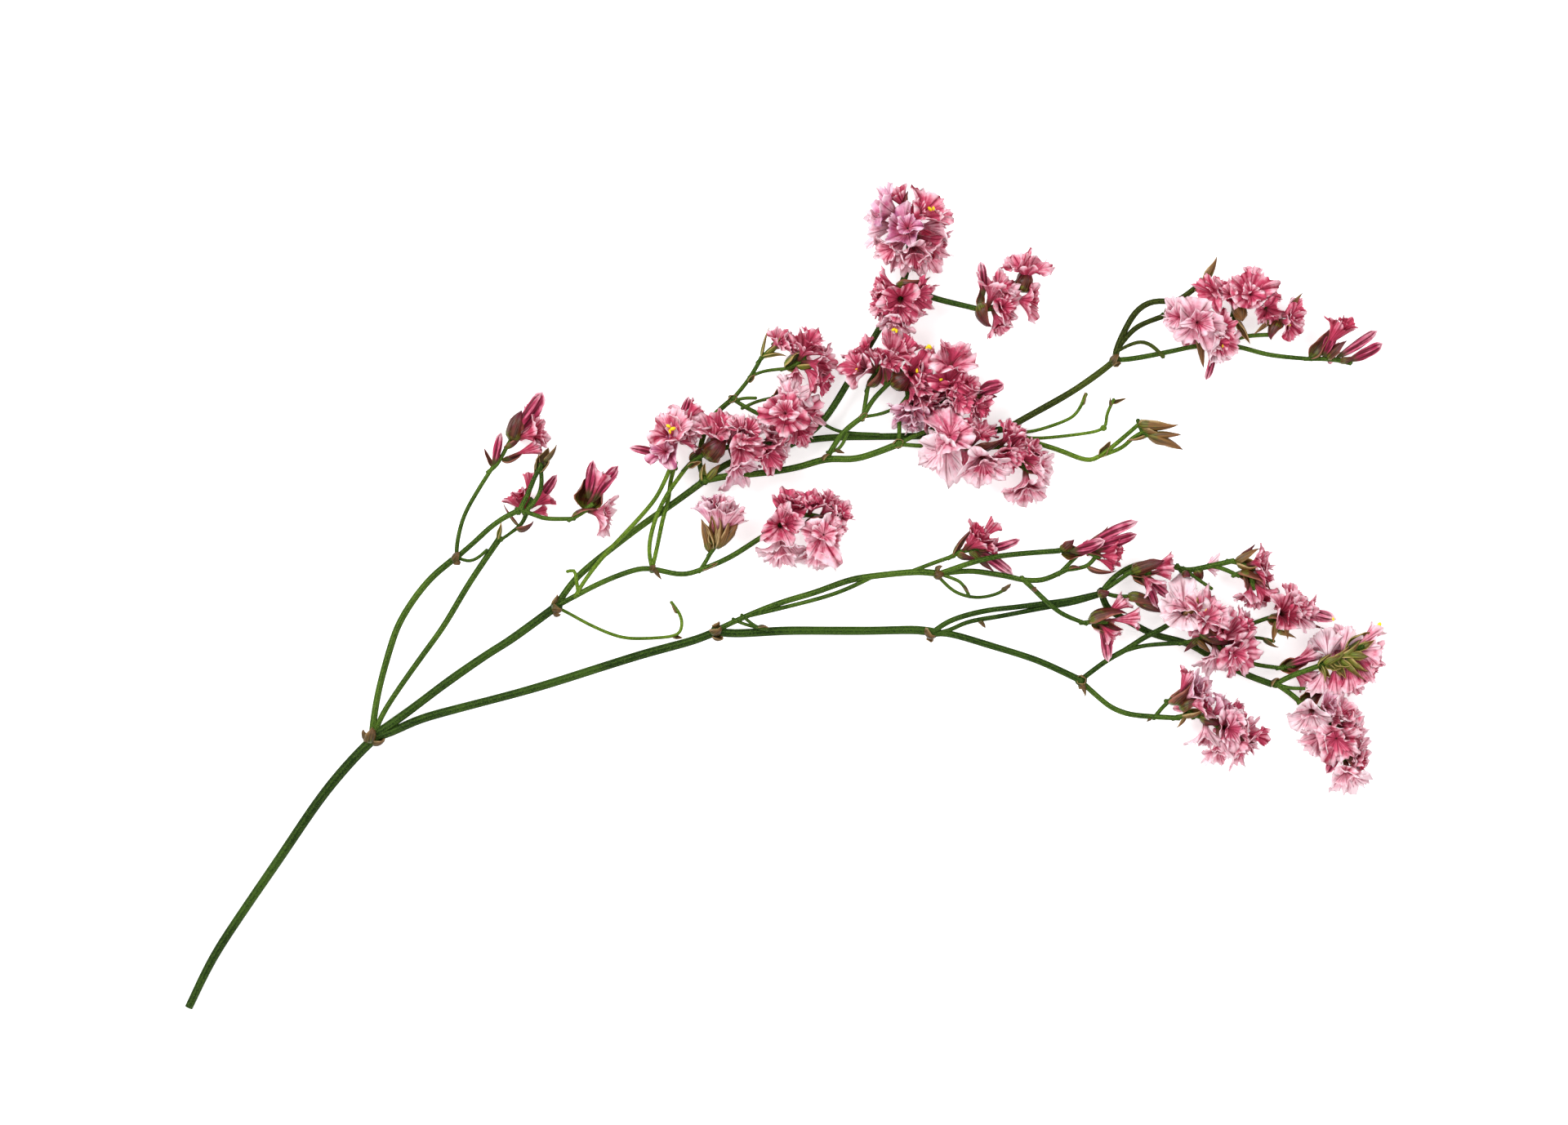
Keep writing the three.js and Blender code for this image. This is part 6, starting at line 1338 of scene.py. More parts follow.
# === Spike upper star ===
# The short spike with the wide star-like flower.
spike(
    "spike_upper_star",
    stems=[
        (0.95, 0.95, [(-2, 38.9, 6), (0.6, 39.2, 6.3), (2.2, 41, 6.4), (1.4, 43.4, 6.2)]),
        (0.75, 0.75, [(-1.6, 44.1, 6), (1.4, 43.4, 6.2)]),
    ],
    petal_look=pink_petal, pale=0.35,
    wide=[((1.1, 39.6, 6.4), (0.1, 40.3, 13), 4.3, 0.4)],
    half_open=[
        ((1.3, 42.9, 6.2), (2.7, 46, 8.4), 3.8, 0.85), ((2, 40.8, 6.4), (6.6, 41.5, 8.8), 3.8),
        ((1.6, 40, 6.2), (4, 36.4, 8.6), 3.7),
    ],
    narrow=[((2.1, 41.1, 6.4), (3, 43, 1.3), 2.4)],
    bract_look=maroon_bract,
    bracts=[((-1.9, 43.8, 6), (0.4, 47, 6.8), 1.2), ((0.8, 44, 6), (0.6, 48.4, 6.4), 0.8)],
)

# === Spike upper tuft ===
# The tuft of the upper left, with green bracts at its foot.
spike(
    "spike_upper_tuft",
    stems=[
        (0.95, 0.95, [(-5.2, 52.2, 6.3), (-3.6, 54, 6.4), (-1.6, 55.6, 6.6)]),
        (0.75, 1.2, [(0.2, 50.4, 6.2), (3, 51.4, 6.4), (4.2, 52.8, 6.4)]),
        (0.95, 0.95, [(-1.6, 55.6, 6.6), (1.4, 54.8, 6), (4.2, 52.8, 6.4)]),
    ],
    petal_look=pink_petal, pale=0.25,
    half_open=[
        ((-2.8, 54.6, 6.6), (-0.3, 57.2, 9), 2.7), ((-2.4, 54.8, 6.6), (2, 56, 8), 2.7),
        ((3.4, 52.2, 6.6), (5.7, 56, 9.5), 4), ((4, 52, 6.4), (9.6, 50.8, 8.6), 3.8),
        ((3.8, 51.6, 6), (8, 47.4, 7), 3.3),
    ],
    narrow=[
        ((4, 52.6, 6.2), (7.8, 55.4, 6.8), 2.4), ((3, 51.4, 6), (2.8, 48.3, 7.4), 1.9),
        ((3.6, 52.4, 6.2), (4.6, 54, 1.3), 2.4),
    ],
    bract_look=green_bract,
    bracts=[
        ((-4.7, 52.8, 6.3), (-2.6, 59, 7), 0.9), ((-4.6, 52.8, 6.4), (0.3, 53.8, 7), 1.1),
        ((-3.8, 54, 6.4), (-0.8, 57.2, 8), 1.3), ((0.6, 50.4, 6.1), (5.4, 53, 8), 2.3),
        ((3, 51, 6.2), (7.9, 52.6, 6.8), 1.6),
    ],
)

# === Spike middle bouquet ===
# The small bouquet, whose dry bracts hold lilac flowers upright.
spike(
    "spike_middle_bouquet",
    stems=[(0.95, 1.2, [(-16.1, 9.7, 7), (-14.9, 11.4, 7), (-13.9, 14, 7.2)])],
    petal_look=pink_petal, pale=0.6,
    half_open=[
        ((-14.6, 12.6, 7.2), (-16.9, 20.8, 9), 2.9, 0.7, 0.5),
        ((-14.1, 13, 7.4), (-14.6, 21.2, 11), 2.9), ((-13.9, 13, 7.4), (-11.7, 19.8, 10.5), 3.3),
    ],
    narrow=[
        ((-13.8, 13, 7.2), (-9.8, 18.2, 8), 2.3), ((-14.2, 13, 7), (-14.6, 21.6, 6), 2.5),
        ((-14, 13.4, 6.8), (-13.6, 17.2, 1.5), 2.3),
    ],
    bract_look=dry_bract,
    bracts=[
        ((-15.6, 10.6, 8), (-17, 16.6, 9.2), 1.35), ((-15, 10.8, 8.4), (-13.9, 17.2, 10.4), 1.5),
        ((-14.6, 10.8, 8.2), (-11.4, 16.6, 10), 1.4), ((-15.4, 11.6, 8.2), (-15.7, 17.8, 9.8), 1.3),
    ],
    dry_bracts=[
        ((-16.2, 10, 7), (-17.6, 17, 7.4), 1.2), ((-15, 11.4, 7), (-15.4, 16.8, 8.6), 1.4),
        ((-14.7, 11.2, 7), (-12.6, 16.8, 9), 1.6), ((-14.5, 11.3, 7), (-10.2, 16.2, 8), 1.7),
    ],
)

# === Spike middle ring ===
# The spike that curls into a ring, with its faces open to the front.
spike(
    "spike_middle_ring",
    stems=[
        (0.95, 1.2, [
            (-2.8, 14.5, 7), (0, 16.5, 6.8), (3.5, 18, 6.6), (7, 18, 6.6), (9.6, 16.8, 6.6),
            (9.2, 14.6, 6.6), (7.8, 12, 6.4),
        ]),
    ],
    petal_look=pink_petal, pale=0.25,
    wide=[
        ((-1.2, 15.6, 6.4), (-0.2, 10, 7.6), 4.6, 0.85),
        ((8.6, 13.8, 6.8), (8.9, 12.8, 11.8), 4.6, 0.5),
    ],
    half_open=[
        ((-0.8, 16, 7), (-0.1, 15.5, 12.6), 4.1, 0.3), ((0.8, 16.9, 7), (2, 20.6, 9.6), 4.2),
        ((3, 17.8, 6.8), (3.8, 22, 8), 2.8), ((5.6, 18, 6.6), (7, 21.6, 9), 3.2),
        ((8, 17.6, 6.6), (10.6, 20.8, 9), 2.9), ((9.5, 16.8, 6.6), (13, 19.2, 8.6), 3.2),
        ((9.6, 15.8, 6.6), (12.6, 15.8, 9.5), 2.6), ((8, 12.4, 6.2), (7.3, 8.2, 7.6), 3.9, 0.8),
    ],
    narrow=[((2.6, 17.6, 6.4), (2, 19.6, 1.3), 2.4), ((9, 16.4, 6.4), (10.6, 14.8, 1.3), 2.4)],
    bract_look=maroon_bract,
    bracts=[((4.6, 15, 6.4), (9.2, 17.4, 9), 1.9), ((-1.6, 15.4, 6.9), (-0.6, 20.8, 7.2), 1.5)],
)

# === Spike top ===
# The big round spike at the top of the spray.
spike(
    "spike_top",
    stems=[(1.2, 1.2, [(28, 79, 6.4), (28, 82, 6.8), (28, 84.6, 7)])],
    petal_look=pink_petal, pale=0.4,
    wide=[
        ((27.6, 82.6, 7), (21, 86.6, 9), 4.7, 0.4, 0.8), ((28.4, 82.4, 7.2), (32.6, 85.6, 11.6), 4.5),
    ],
    half_open=[
        ((27.6, 82, 6.6), (19, 81.2, 8), 3.7, 0.75, 0.2),
        ((28, 80, 6.6), (26.3, 81.2, 13.4), 4, 0.35, 0.8),
        ((28.4, 81.6, 6.8), (35.4, 82, 8), 3.4, 0.75), ((28.2, 80, 6.6), (35.2, 77.6, 8), 3.3),
        ((28, 79.6, 7), (23, 75.2, 10.6), 3.9), ((28.2, 79.4, 7.2), (28.7, 74.2, 12), 3.9),
        ((28.4, 79.6, 7), (33.2, 74.2, 9.6), 4),
    ],
    narrow=[
        ((27.8, 84, 7), (25, 89.4, 8.6), 2.4), ((28, 82.6, 6.6), (24.8, 82.6, 1.3), 2.5),
        ((28, 82.6, 6.6), (31.4, 80.6, 1.3), 2.5),
    ],
    bract_look=maroon_bract,
    bracts=[((28.2, 82, 8), (26.6, 88.8, 9.6), 2)],
    dry_bracts=[((28, 81.6, 7.6), (29.8, 84.6, 10), 0.9)],
    anthers=[(32.2, 85.3, 10.6, 1), (33, 85.4, 10.7, 0.8)],
)

# === Spike top low ===
# The spike below it, round the tall branch.
spike(
    "spike_top_low",
    stems=[(0.95, 1.2, [(26.6, 69.6, 6.8), (26, 67, 7.4), (25.6, 63.6, 7.2)])],
    petal_look=pink_petal, pale=0.15,
    half_open=[
        ((26, 68, 7), (21.2, 69.2, 8.4), 2.9), ((25.8, 66, 7.2), (21.2, 65, 9.4), 3.5),
        ((25.9, 66.2, 7.4), (25.6, 64.4, 12.6), 4.2), ((26.2, 67.4, 7.2), (31, 66, 9.4), 3.9),
        ((25.8, 64.6, 7), (28.2, 60.8, 8), 3), ((25.6, 64, 7), (24.4, 59.6, 9.4), 3.3, 0.7),
    ],
    bract_look=maroon_bract,
    bracts=[((25, 69, 6.8), (32, 69.4, 8.6), 1.8)],
    anthers=[(24.3, 58.9, 9.4, 0.9), (24.9, 58.6, 9.3, 0.8)],
)

# === Spike top side ===
# The small spike on the side arm.
spike(
    "spike_top_side",
    stems=[(1.2, 1.2, [(42.2, 63.8, 6.6), (45, 63.4, 7), (48, 65, 7), (51, 67, 7), (53.6, 69, 7)])],
    petal_look=pink_petal, pale=0.35,
    wide=[((45, 63.8, 7.2), (46.8, 69.2, 9.6), 4.3), ((53, 68.4, 7), (53.8, 73.4, 8.6), 4.5)],
    half_open=[
        ((46, 63.8, 7.2), (49.4, 63.8, 10.6), 3.4), ((49.8, 66, 7), (55.2, 64.7, 8.6), 3.5),
        ((46, 63.6, 6.6), (48, 59.4, 7.6), 3),
    ],
    narrow=[((46.4, 64, 6.8), (48.4, 66.4, 1.3), 2.5)],
    buds=[((44.2, 66, 7.4), (43.5, 73.6, 7.6), 1.2)],
    bract_look=maroon_bract,
    bracts=[
        ((43.4, 64.8, 7), (46, 59.9, 8.6), 2.3), ((43.2, 63.6, 6.6), (43.8, 69, 7), 1.2),
        ((52.2, 67.4, 7), (54.2, 71.6, 8), 2.3),
    ],
)

# === Spike centre left ===
# The dense spike left of the centre.
spike(
    "spike_centre_left",
    stems=[
        (0.95, 1.2, [
            (18.6, 46, 7), (20, 49, 7), (22, 51.4, 7), (25, 50.6, 7), (27, 48, 7.2), (27.5, 44.5, 7),
            (28.3, 41.8, 7),
        ]),
        (0.95, 0.95, [(25.4, 41.6, 7), (27.2, 44, 7)]),
        (0.95, 0.95, [(23.2, 47.2, 7.4), (25.8, 47.6, 7.2), (27, 48, 7.2)]),
    ],
    petal_look=pink_petal, pale=0.15,
    wide=[
        ((22.6, 51, 7), (25.4, 55.4, 10.6), 4.4, 0.35),
        ((27, 47.5, 7.6), (29.8, 44, 9.2), 2.9, 0.25, 0.1),
        ((27.6, 44.6, 6.4), (26.2, 40.8, 8.4), 2.6, 0.45, 0.5),
    ],
    half_open=[
        ((20.2, 49.6, 7), (15.8, 50.5, 11), 3.7, 0.4), ((20.4, 49.8, 7), (16.4, 55.2, 8.4), 3.3),
        ((20.6, 50, 7), (20.6, 54.2, 8.6), 2.6), ((22.8, 51, 6.8), (23.8, 52.4, 10.8), 2.8),
        ((26.4, 48.6, 7.4), (29.6, 50, 12.4), 3.4), ((27.3, 45.8, 7.2), (31.4, 45.9, 11), 3.9, 0.4),
        ((27.8, 43.2, 7), (27.7, 39.8, 9.6), 4, 0.5, 0.7), ((28.1, 42.6, 7), (33, 41, 9.6), 3.5),
        ((28.2, 46, 6.8), (31.2, 41.4, 8.6), 3, 0.2, 0.1),
        ((28.6, 43.4, 6), (29.2, 37.6, 7.6), 2.6, 0.6, 0.4), ((31.4, 47, 6.6), (34, 43.6, 8), 2.7),
    ],
    narrow=[
        ((24.4, 50.8, 6.6), (28.8, 56.4, 7.6), 2.2), ((22.6, 51.3, 7), (22.6, 49, 1.3), 2.4),
        ((27.2, 46.6, 6.8), (28.6, 48.6, 1.3), 2.4), ((29.6, 51.6, 7.4), (31.9, 54.6, 8.8), 1.5, 0.1),
    ],
    bract_look=maroon_bract,
    bracts=[
        ((18.6, 46.6, 6.8), (21.6, 50.8, 8.2), 2.1), ((20.2, 49.4, 6.8), (17.2, 52.8, 8), 0.9),
        ((24, 46.6, 7.4), (28.2, 49, 9.8), 2.5), ((23, 47.2, 7.4), (23.1, 51, 9), 0.8),
    ],
    anthers=[
        (16.2, 50, 10.2, 0.9), (29.4, 49.7, 11.4, 0.9), (32.2, 55.1, 9, 1.1), (31.6, 54.8, 9, 0.8),
    ],
)

# === Spike centre right ===
# The dense spike right of the centre.
spike(
    "spike_centre_right",
    stems=[
        (0.95, 1.2, [(32.6, 36.9, 6.5), (34.8, 40.4, 6.2), (36, 44.6, 6.2), (35.8, 49.6, 6.4)]),
        (0.95, 0.95, [(35.6, 43, 6.2), (39, 43.6, 6.4), (42.4, 43.9, 6.6)]),
    ],
    petal_look=pink_petal, pale=0.2,
    wide=[
        ((35.9, 48.8, 6.8), (37.6, 52.8, 10.6), 4.5, 0.3), ((37, 46.6, 7.6), (38.6, 44.2, 9.4), 2.7),
        ((40, 44, 7), (43.2, 41.6, 8.4), 2.7),
    ],
    half_open=[
        ((36, 46.4, 6.8), (36.4, 48, 11.6), 3.7), ((37, 44, 6.8), (41.2, 47.4, 10), 3.2),
        ((37.8, 43.3, 6.8), (39.2, 43.4, 11.6), 3), ((40, 43.5, 6.4), (43.6, 41.2, 9), 2.8),
        ((37.4, 44.6, 7), (36.2, 41.2, 8.6), 2.6, 0.35),
    ],
    narrow=[
        ((35.6, 49.4, 6.4), (31.9, 54, 7.6), 1.7), ((39.8, 43.6, 6.4), (42.4, 44.8, 9), 1.8),
        ((36, 45.4, 6.2), (38.4, 46.6, 1.3), 2.5),
    ],
    buds=[((42, 43.8, 6.8), (48.3, 46.8, 8.6), 2)],
    bract_look=maroon_bract,
    bracts=[((35.8, 49, 6.6), (33.4, 53.8, 8), 1.2), ((41.8, 43.7, 6.6), (47, 43.8, 7.4), 1.5)],
    anthers=[(34.6, 47.8, 10.4, 0.8)],
)

# === Spike centre low ===
# The long spike below it, pale and wide open, that hangs over the fork.
spike(
    "spike_centre_low",
    stems=[
        (0.95, 1.2, [
            (32.9, 33.5, 6.4), (36.4, 33.9, 6.4), (40, 33.2, 6.4), (44, 32.8, 6.4), (48, 33.2, 6.4),
            (51.5, 31.3, 6.4), (53.4, 28, 6.4),
        ]),
    ],
    petal_look=pink_petal, pale=0.25,
    wide=[
        ((36.7, 34, 6.8), (36.9, 36.4, 12.4), 4.9, 0.45, 0.1),
        ((36.4, 33.6, 6.2), (35, 30.6, 9.8), 5.2, 1), ((43.6, 32.4, 6.6), (44, 28.2, 11.4), 5, 0.6),
        ((53.4, 28.2, 6.2), (53.6, 22.8, 8), 4.6, 0.6),
    ],
    half_open=[
        ((41.4, 33.4, 6.4), (44.2, 37.4, 8.6), 3.7), ((47.8, 33.2, 6.4), (50.6, 37.2, 8.6), 3.4),
        ((49, 32.8, 6.6), (51.6, 34, 10), 3), ((48.6, 32.8, 6.8), (49.4, 30.4, 11), 3),
        ((51.8, 30.8, 6.4), (56.2, 32.2, 8.6), 3), ((53, 28.8, 6.4), (58, 28.2, 8), 3.6, 0.55),
    ],
    narrow=[
        ((51.8, 30.6, 7), (54.6, 29.8, 10), 2.2), ((40.6, 33.2, 6.2), (39.6, 31, 1.3), 2.5),
        ((50.2, 32.2, 6.2), (52, 33.8, 1.3), 2.5),
    ],
    bract_look=maroon_bract,
    bracts=[((41.6, 32.6, 6.8), (48.2, 34.8, 9), 1.8), ((51.6, 30, 7), (56.4, 26.8, 8.6), 1.6)],
)

# === Spike right large ===
# The large spike of the right-hand branch, with dry brown bracts between its flowers.
spike(
    "spike_right_large",
    stems=[
        (1.2, 1.2, [(84.4, 62.2, 6), (88.4, 61.6, 6.2), (92, 59.6, 6.4), (95.2, 58, 6.5)]),
        (0.95, 1.2, [
            (92.6, 69.6, 6.5), (96, 66.8, 6.6), (99.5, 65.5, 6.6), (103, 65.5, 6.6), (107, 63.6, 6.6),
            (109.6, 60.8, 6.6),
        ]),
        (1.2, 1.2, [(99.5, 65.5, 6.6), (99, 61.4, 6.5), (95.2, 58, 6.5)]),
    ],
    petal_look=pink_petal,
    wide=[
        ((90, 60.8, 6.8), (91.2, 60, 12.6), 5, 0.5, 0.15),
        ((102.2, 65.6, 6.8), (102.8, 67.8, 12), 4.4, 0.35),
    ],
    half_open=[
        ((88.6, 61.5, 6.4), (86.6, 62, 9.6), 3.6, 0.7, 0.1), ((95, 58.4, 6.8), (96.8, 60, 11.4), 2.8),
        ((95, 58, 6.8), (97, 55.2, 10.6), 3.4), ((96, 66.8, 6.8), (93.2, 67, 10.6), 3.4),
        ((98.8, 65.6, 6.8), (98.4, 67.2, 11), 3.3), ((103.8, 65.3, 6.6), (107.4, 67.6, 8.6), 2.8),
        ((105.8, 64.4, 6.6), (107, 62.4, 9.2), 3.2), ((109.4, 61, 6.8), (112.4, 60.2, 9.6), 3.3),
        ((108.8, 61.8, 6.4), (113, 62.8, 7.8), 3.6),
    ],
    narrow=[
        ((91.6, 59, 7), (95.4, 53.6, 9), 2.4, 0.8), ((94.6, 57.8, 6.4), (95.8, 51.6, 7.4), 2.5, 0.85),
        ((102.2, 66, 6.8), (103.4, 72, 9), 2), ((91, 60.2, 6.4), (89.6, 57.6, 1.3), 2.5),
        ((102.8, 65.5, 6.4), (104, 67.4, 1.3), 2.5, 0.35),
    ],
    buds=[((94.8, 56, 6.8), (93.3, 48.2, 6.8), 1)],
    bract_look=maroon_bract,
    bracts=[((109.4, 61, 6.4), (107.6, 56.9, 7.4), 1.8)],
    dry_bracts=[
        ((91.8, 59.6, 6.4), (92, 51.2, 7.6), 1.2), ((100, 65, 6.8), (101, 61.2, 9), 1.9),
        ((99.2, 62, 6.8), (102.9, 56.2, 7.6), 1), ((108.6, 62, 6.6), (103.4, 58.8, 6.9), 0.9),
        ((110.6, 62.2, 6.4), (114.4, 66.8, 6.8), 0.8), ((92.8, 69.4, 6.6), (94.9, 75, 7.2), 1.3),
    ],
    anthers=[(96.6, 59.8, 10.8, 0.9), (96.7, 55.3, 9.8, 0.8), (111.2, 60, 9.4, 0.8)],
)

# === Spike right end ===
# The last spike on the right, of long crimson buds.
spike(
    "spike_right_end",
    stems=[(0.95, 1.2, [(115.8, 52.6, 6.2), (119, 52.6, 6.4), (122, 52.4, 6.4), (124.4, 51.9, 6.4)])],
    petal_look=rosy_petal, pale=0.1,
    half_open=[((118.4, 53.4, 6.6), (123, 60, 9), 3)],
    narrow=[((119.6, 52.6, 6.2), (121.4, 55, 1.3), 2.3)],
    buds=[
        ((119, 52.8, 6.6), (121.2, 58, 7.6), 1.5), ((121.6, 52.6, 6.6), (130.5, 58.5, 8), 1.4),
        ((124, 52, 6.4), (131.7, 55.7, 7.4), 1.4),
    ],
    bract_look=maroon_bract,
    bracts=[
        ((116.2, 52.8, 6.4), (120.6, 58.4, 8), 1.9), ((120, 52.6, 6.6), (124.2, 56, 8), 1.5),
        ((122.6, 52, 6.2), (126.4, 53.2, 7), 1.1),
    ],
)

# === Dry buds ===
# Dry brown buds that never opened, at the end of the longest thin twig.
spike(
    "dry_buds",
    stems=[(0.95, 0.95, [(78.6, 38.4, 5.2), (79.4, 36.4, 5.2), (81, 35.6, 5.3)])],
    dry_bracts=[
        ((78.4, 38.2, 5.2), (86.7, 38, 6.2), 1.6), ((79.2, 37.2, 5.2), (83.4, 36.8, 6.2), 1.1),
        ((80.4, 35.8, 5.2), (88, 33.4, 6), 1.4), ((80.8, 35.8, 5.4), (87.5, 35.8, 6.4), 1),
        ((80.6, 35.8, 5), (76.2, 34.3, 5.4), 0.6),
    ],
)

# === Spike low first ===
# The first spike of the lower bough, mostly in bud.
spike(
    "spike_low_first",
    stems=[(0.95, 1.2, [(37, 8.9, 6.6), (39.5, 10.2, 6.8), (42.4, 10.6, 6.8)])],
    petal_look=rosy_petal, pale=0.25,
    half_open=[((39.6, 10.3, 7), (43.2, 14.2, 9.4), 2.7)],
    narrow=[
        ((40.4, 10.4, 7), (44.8, 12.6, 10.6), 2.4), ((41.6, 10.6, 7), (46.8, 16.6, 8.6), 1.9),
        ((41.6, 10.6, 6.8), (47, 11.2, 8), 1.8), ((41, 10.4, 6.6), (42.4, 12.4, 1.3), 2.3),
    ],
    buds=[((42, 10.2, 6.6), (51.8, 12.6, 7.4), 1.3), ((41.6, 10.5, 6.8), (50.3, 5.2, 5.8), 1.5)],
    bract_look=maroon_bract,
    bracts=[
        ((37.6, 9, 6.8), (42, 14.8, 7.8), 1.3), ((38.2, 9.5, 6.7), (42.6, 8.6, 6.6), 1.1),
        ((41, 10.4, 6.8), (46.4, 6.2, 5.6), 1.1), ((43, 10.4, 7.4), (46.2, 11.4, 10.4), 0.8),
    ],
)

# === Spike low buds ===
# The spike of long buds beside it.
spike(
    "spike_low_buds",
    stems=[
        (1.2, 1.2, [(60, 10.2, 8.2), (63, 10.6, 7.8), (66, 10.4, 7.4), (69, 9.2, 7.2)]),
        (0.95, 0.95, [(62.2, 6, 6.5), (65, 6.4, 6.6), (67.4, 7.2, 6.8), (69, 9.2, 7.2)]),
        (0.95, 0.95, [(64.6, 9, 7.2), (66, 10.4, 7.4)]),
    ],
    petal_look=rosy_petal, pale=0.15,
    narrow=[
        ((68.4, 9.8, 7.2), (74.2, 10.9, 8.4), 1.9), ((68.8, 9.2, 7.2), (73.8, 9, 8.8), 2.1),
        ((68.4, 8.8, 6.8), (73, 7, 7.4), 1.4), ((68.4, 9.2, 6.8), (69, 11.2, 1.3), 2.3),
    ],
    buds=[
        ((63, 10, 8.2), (70.3, 12.4, 10), 1.6), ((66.6, 10.8, 7.6), (77.6, 16.5, 9), 1.5),
        ((67.4, 10.4, 7.4), (77.5, 13.8, 8.2), 1.5),
    ],
    bract_look=maroon_bract,
    bracts=[
        ((61.2, 10.4, 7.9), (63.9, 12.7, 9), 1.3), ((61.2, 9.9, 7.9), (66.6, 10, 9.4), 1.8),
        ((65.8, 10.8, 7.6), (71.6, 15, 8.6), 1.4), ((65.8, 10, 7), (70.4, 8, 8), 1.4),
        ((67, 7, 6.4), (73, 5.2, 6.8), 1.5), ((63, 6.2, 6.6), (65.4, 6.6, 7.4), 0.8),
    ],
)

# === Spike low cross ===
# The spike at the end of the twig that crosses under the others.
spike(
    "spike_low_cross",
    stems=[(0.95, 1.2, [(66.2, -5.6, 7.4), (68.5, -5.4, 7.4), (70.6, -5.4, 7.2)])],
    petal_look=rosy_petal, pale=0.35,
    narrow=[
        ((70, -5, 7.6), (75.2, -0.4, 8.4), 1.8), ((70.4, -5.2, 7.4), (78.2, -4.6, 8.4), 2),
        ((69.4, -5.6, 7.2), (72.8, -9, 7.8), 2.2), ((70, -5.4, 7), (71.6, -6.6, 1.3), 2.3),
    ],
    buds=[((69.8, -5.8, 7), (71.6, -13.9, 6.8), 1.5)],
    bract_look=maroon_bract,
    bracts=[((67.4, -5.4, 7.4), (75, -3, 9), 2.3), ((68, -5.8, 7.2), (74.6, -7.4, 7.8), 1.6)],
)

# === Spike low pair ===
# A small spike of half-open flowers.
spike(
    "spike_low_pair",
    stems=[(0.95, 1.2, [(76, 5.2, 7), (78, 5.7, 7.2), (80, 5.4, 7.2)])],
    petal_look=rosy_petal,
    narrow=[
        ((78.6, 5.8, 7.4), (85.6, 7.6, 8.6), 1.9), ((79.4, 5.6, 7), (85.2, 5.4, 7), 1.6),
        ((78.8, 5.2, 7.2), (82, 1.8, 9.4), 2.5),
    ],
    buds=[((79.2, 5.2, 7), (85.2, 0, 7.6), 1.2), ((78.8, 5, 7), (82.3, -2.1, 7.8), 1.2)],
    bract_look=maroon_bract,
    bracts=[
        ((76.8, 5.8, 7.2), (83.6, 8.2, 8.8), 1.8), ((76.6, 5.2, 7), (82.8, 5.5, 8.2), 1.3),
        ((77.2, 5, 7), (81.2, 2.4, 8), 1.4),
    ],
)

# === Spike low centre ===
# The dense spike in the middle of the lower bough, with a dry bract in its palest flower.
spike(
    "spike_low_centre",
    stems=[
        (1.2, 1.2, [
            (86.2, -5.2, 6.8), (88.4, -4, 7), (91, -6, 7), (93.4, -8.4, 7), (96, -10.8, 7),
            (97.6, -12.4, 7),
        ]),
        (0.95, 0.95, [(88, -10.1, 6.6), (91, -9.4, 6.8), (93.4, -8.4, 7)]),
    ],
    petal_look=pink_petal,
    wide=[
        ((88.6, -4, 7), (88.2, -2, 10.4), 5.4, 1.05), ((91.2, -6, 7.4), (93.5, -2.4, 12.6), 4.6),
        ((96.8, -11.4, 7.4), (100.7, -12.2, 12), 4.6),
    ],
    half_open=[
        ((91, -6, 7.2), (91, -5.2, 10.8), 2.9), ((95.4, -10, 7.2), (98.6, -6.2, 10.6), 4.2),
        ((95.6, -10.2, 6.8), (102.4, -5.4, 8.4), 3.1), ((96, -10.6, 6.6), (103, -8.8, 7.4), 2.6),
        ((95, -9.8, 6.8), (95.4, -14.8, 8.4), 3.9, 0.75),
    ],
    narrow=[((97, -12, 7), (100, -15.9, 8.6), 2.3), ((95, -10, 6.8), (93.6, -8, 1.3), 2.5)],
    bract_look=maroon_bract,
    bracts=[
        ((91.6, -7, 7.6), (98, -9.6, 10), 2.2), ((92.6, -8, 7.2), (97.4, -12.2, 8), 1.6),
        ((91.6, -9, 6.8), (88.4, -12, 7), 0.9),
    ],
    dry_bracts=[((88.8, -4.2, 7.4), (89.8, 0, 11.8), 1.8), ((91, -9.2, 7), (93.9, -12, 7.8), 0.9)],
    anthers=[(93.3, -2.9, 11.2, 1.1), (92.6, -3.4, 11, 0.9), (93.9, -3.5, 11, 0.8)],
)

# === Spike low upper ===
# The spike above it, with dry bracts at its foot.
spike(
    "spike_low_upper",
    stems=[
        (0.95, 1.2, [(98.5, 7.9, 7), (101, 7.4, 7), (103, 6.4, 7)]),
        (0.95, 1.2, [(99.8, 5, 6.8), (103, 6.4, 7)]),
        (1.2, 1.2, [(103, 6.4, 7), (103.4, 3.6, 6.8), (103.6, 2.6, 6.6)]),
    ],
    petal_look=rosy_petal, pale=0.4,
    half_open=[
        ((102, 7, 7), (106, 8.2, 9.6), 3.2), ((102.8, 6, 6.6), (106.8, 4.6, 8), 2.9),
        ((103.3, 3.8, 6.4), (106.6, -0.4, 7.4), 2.9), ((103, 3.4, 6.4), (102.6, -1, 7.4), 3.1),
    ],
    narrow=[((103.1, 5.4, 6.9), (104.4, 4, 1.3), 2.3)],
    bract_look=maroon_bract,
    bracts=[
        ((100, 7.8, 7), (103.9, 11.5, 7.8), 0.9), ((100.2, 5.2, 6.8), (107.2, 2.8, 8.8), 2.1),
        ((101.6, 5, 6.6), (102, 0.4, 7), 1),
    ],
    dry_bracts=[((99.6, 7.8, 7), (105, 9.8, 8.2), 1.2), ((100, 7.5, 7.2), (104.6, 6.8, 8.8), 1.5)],
)

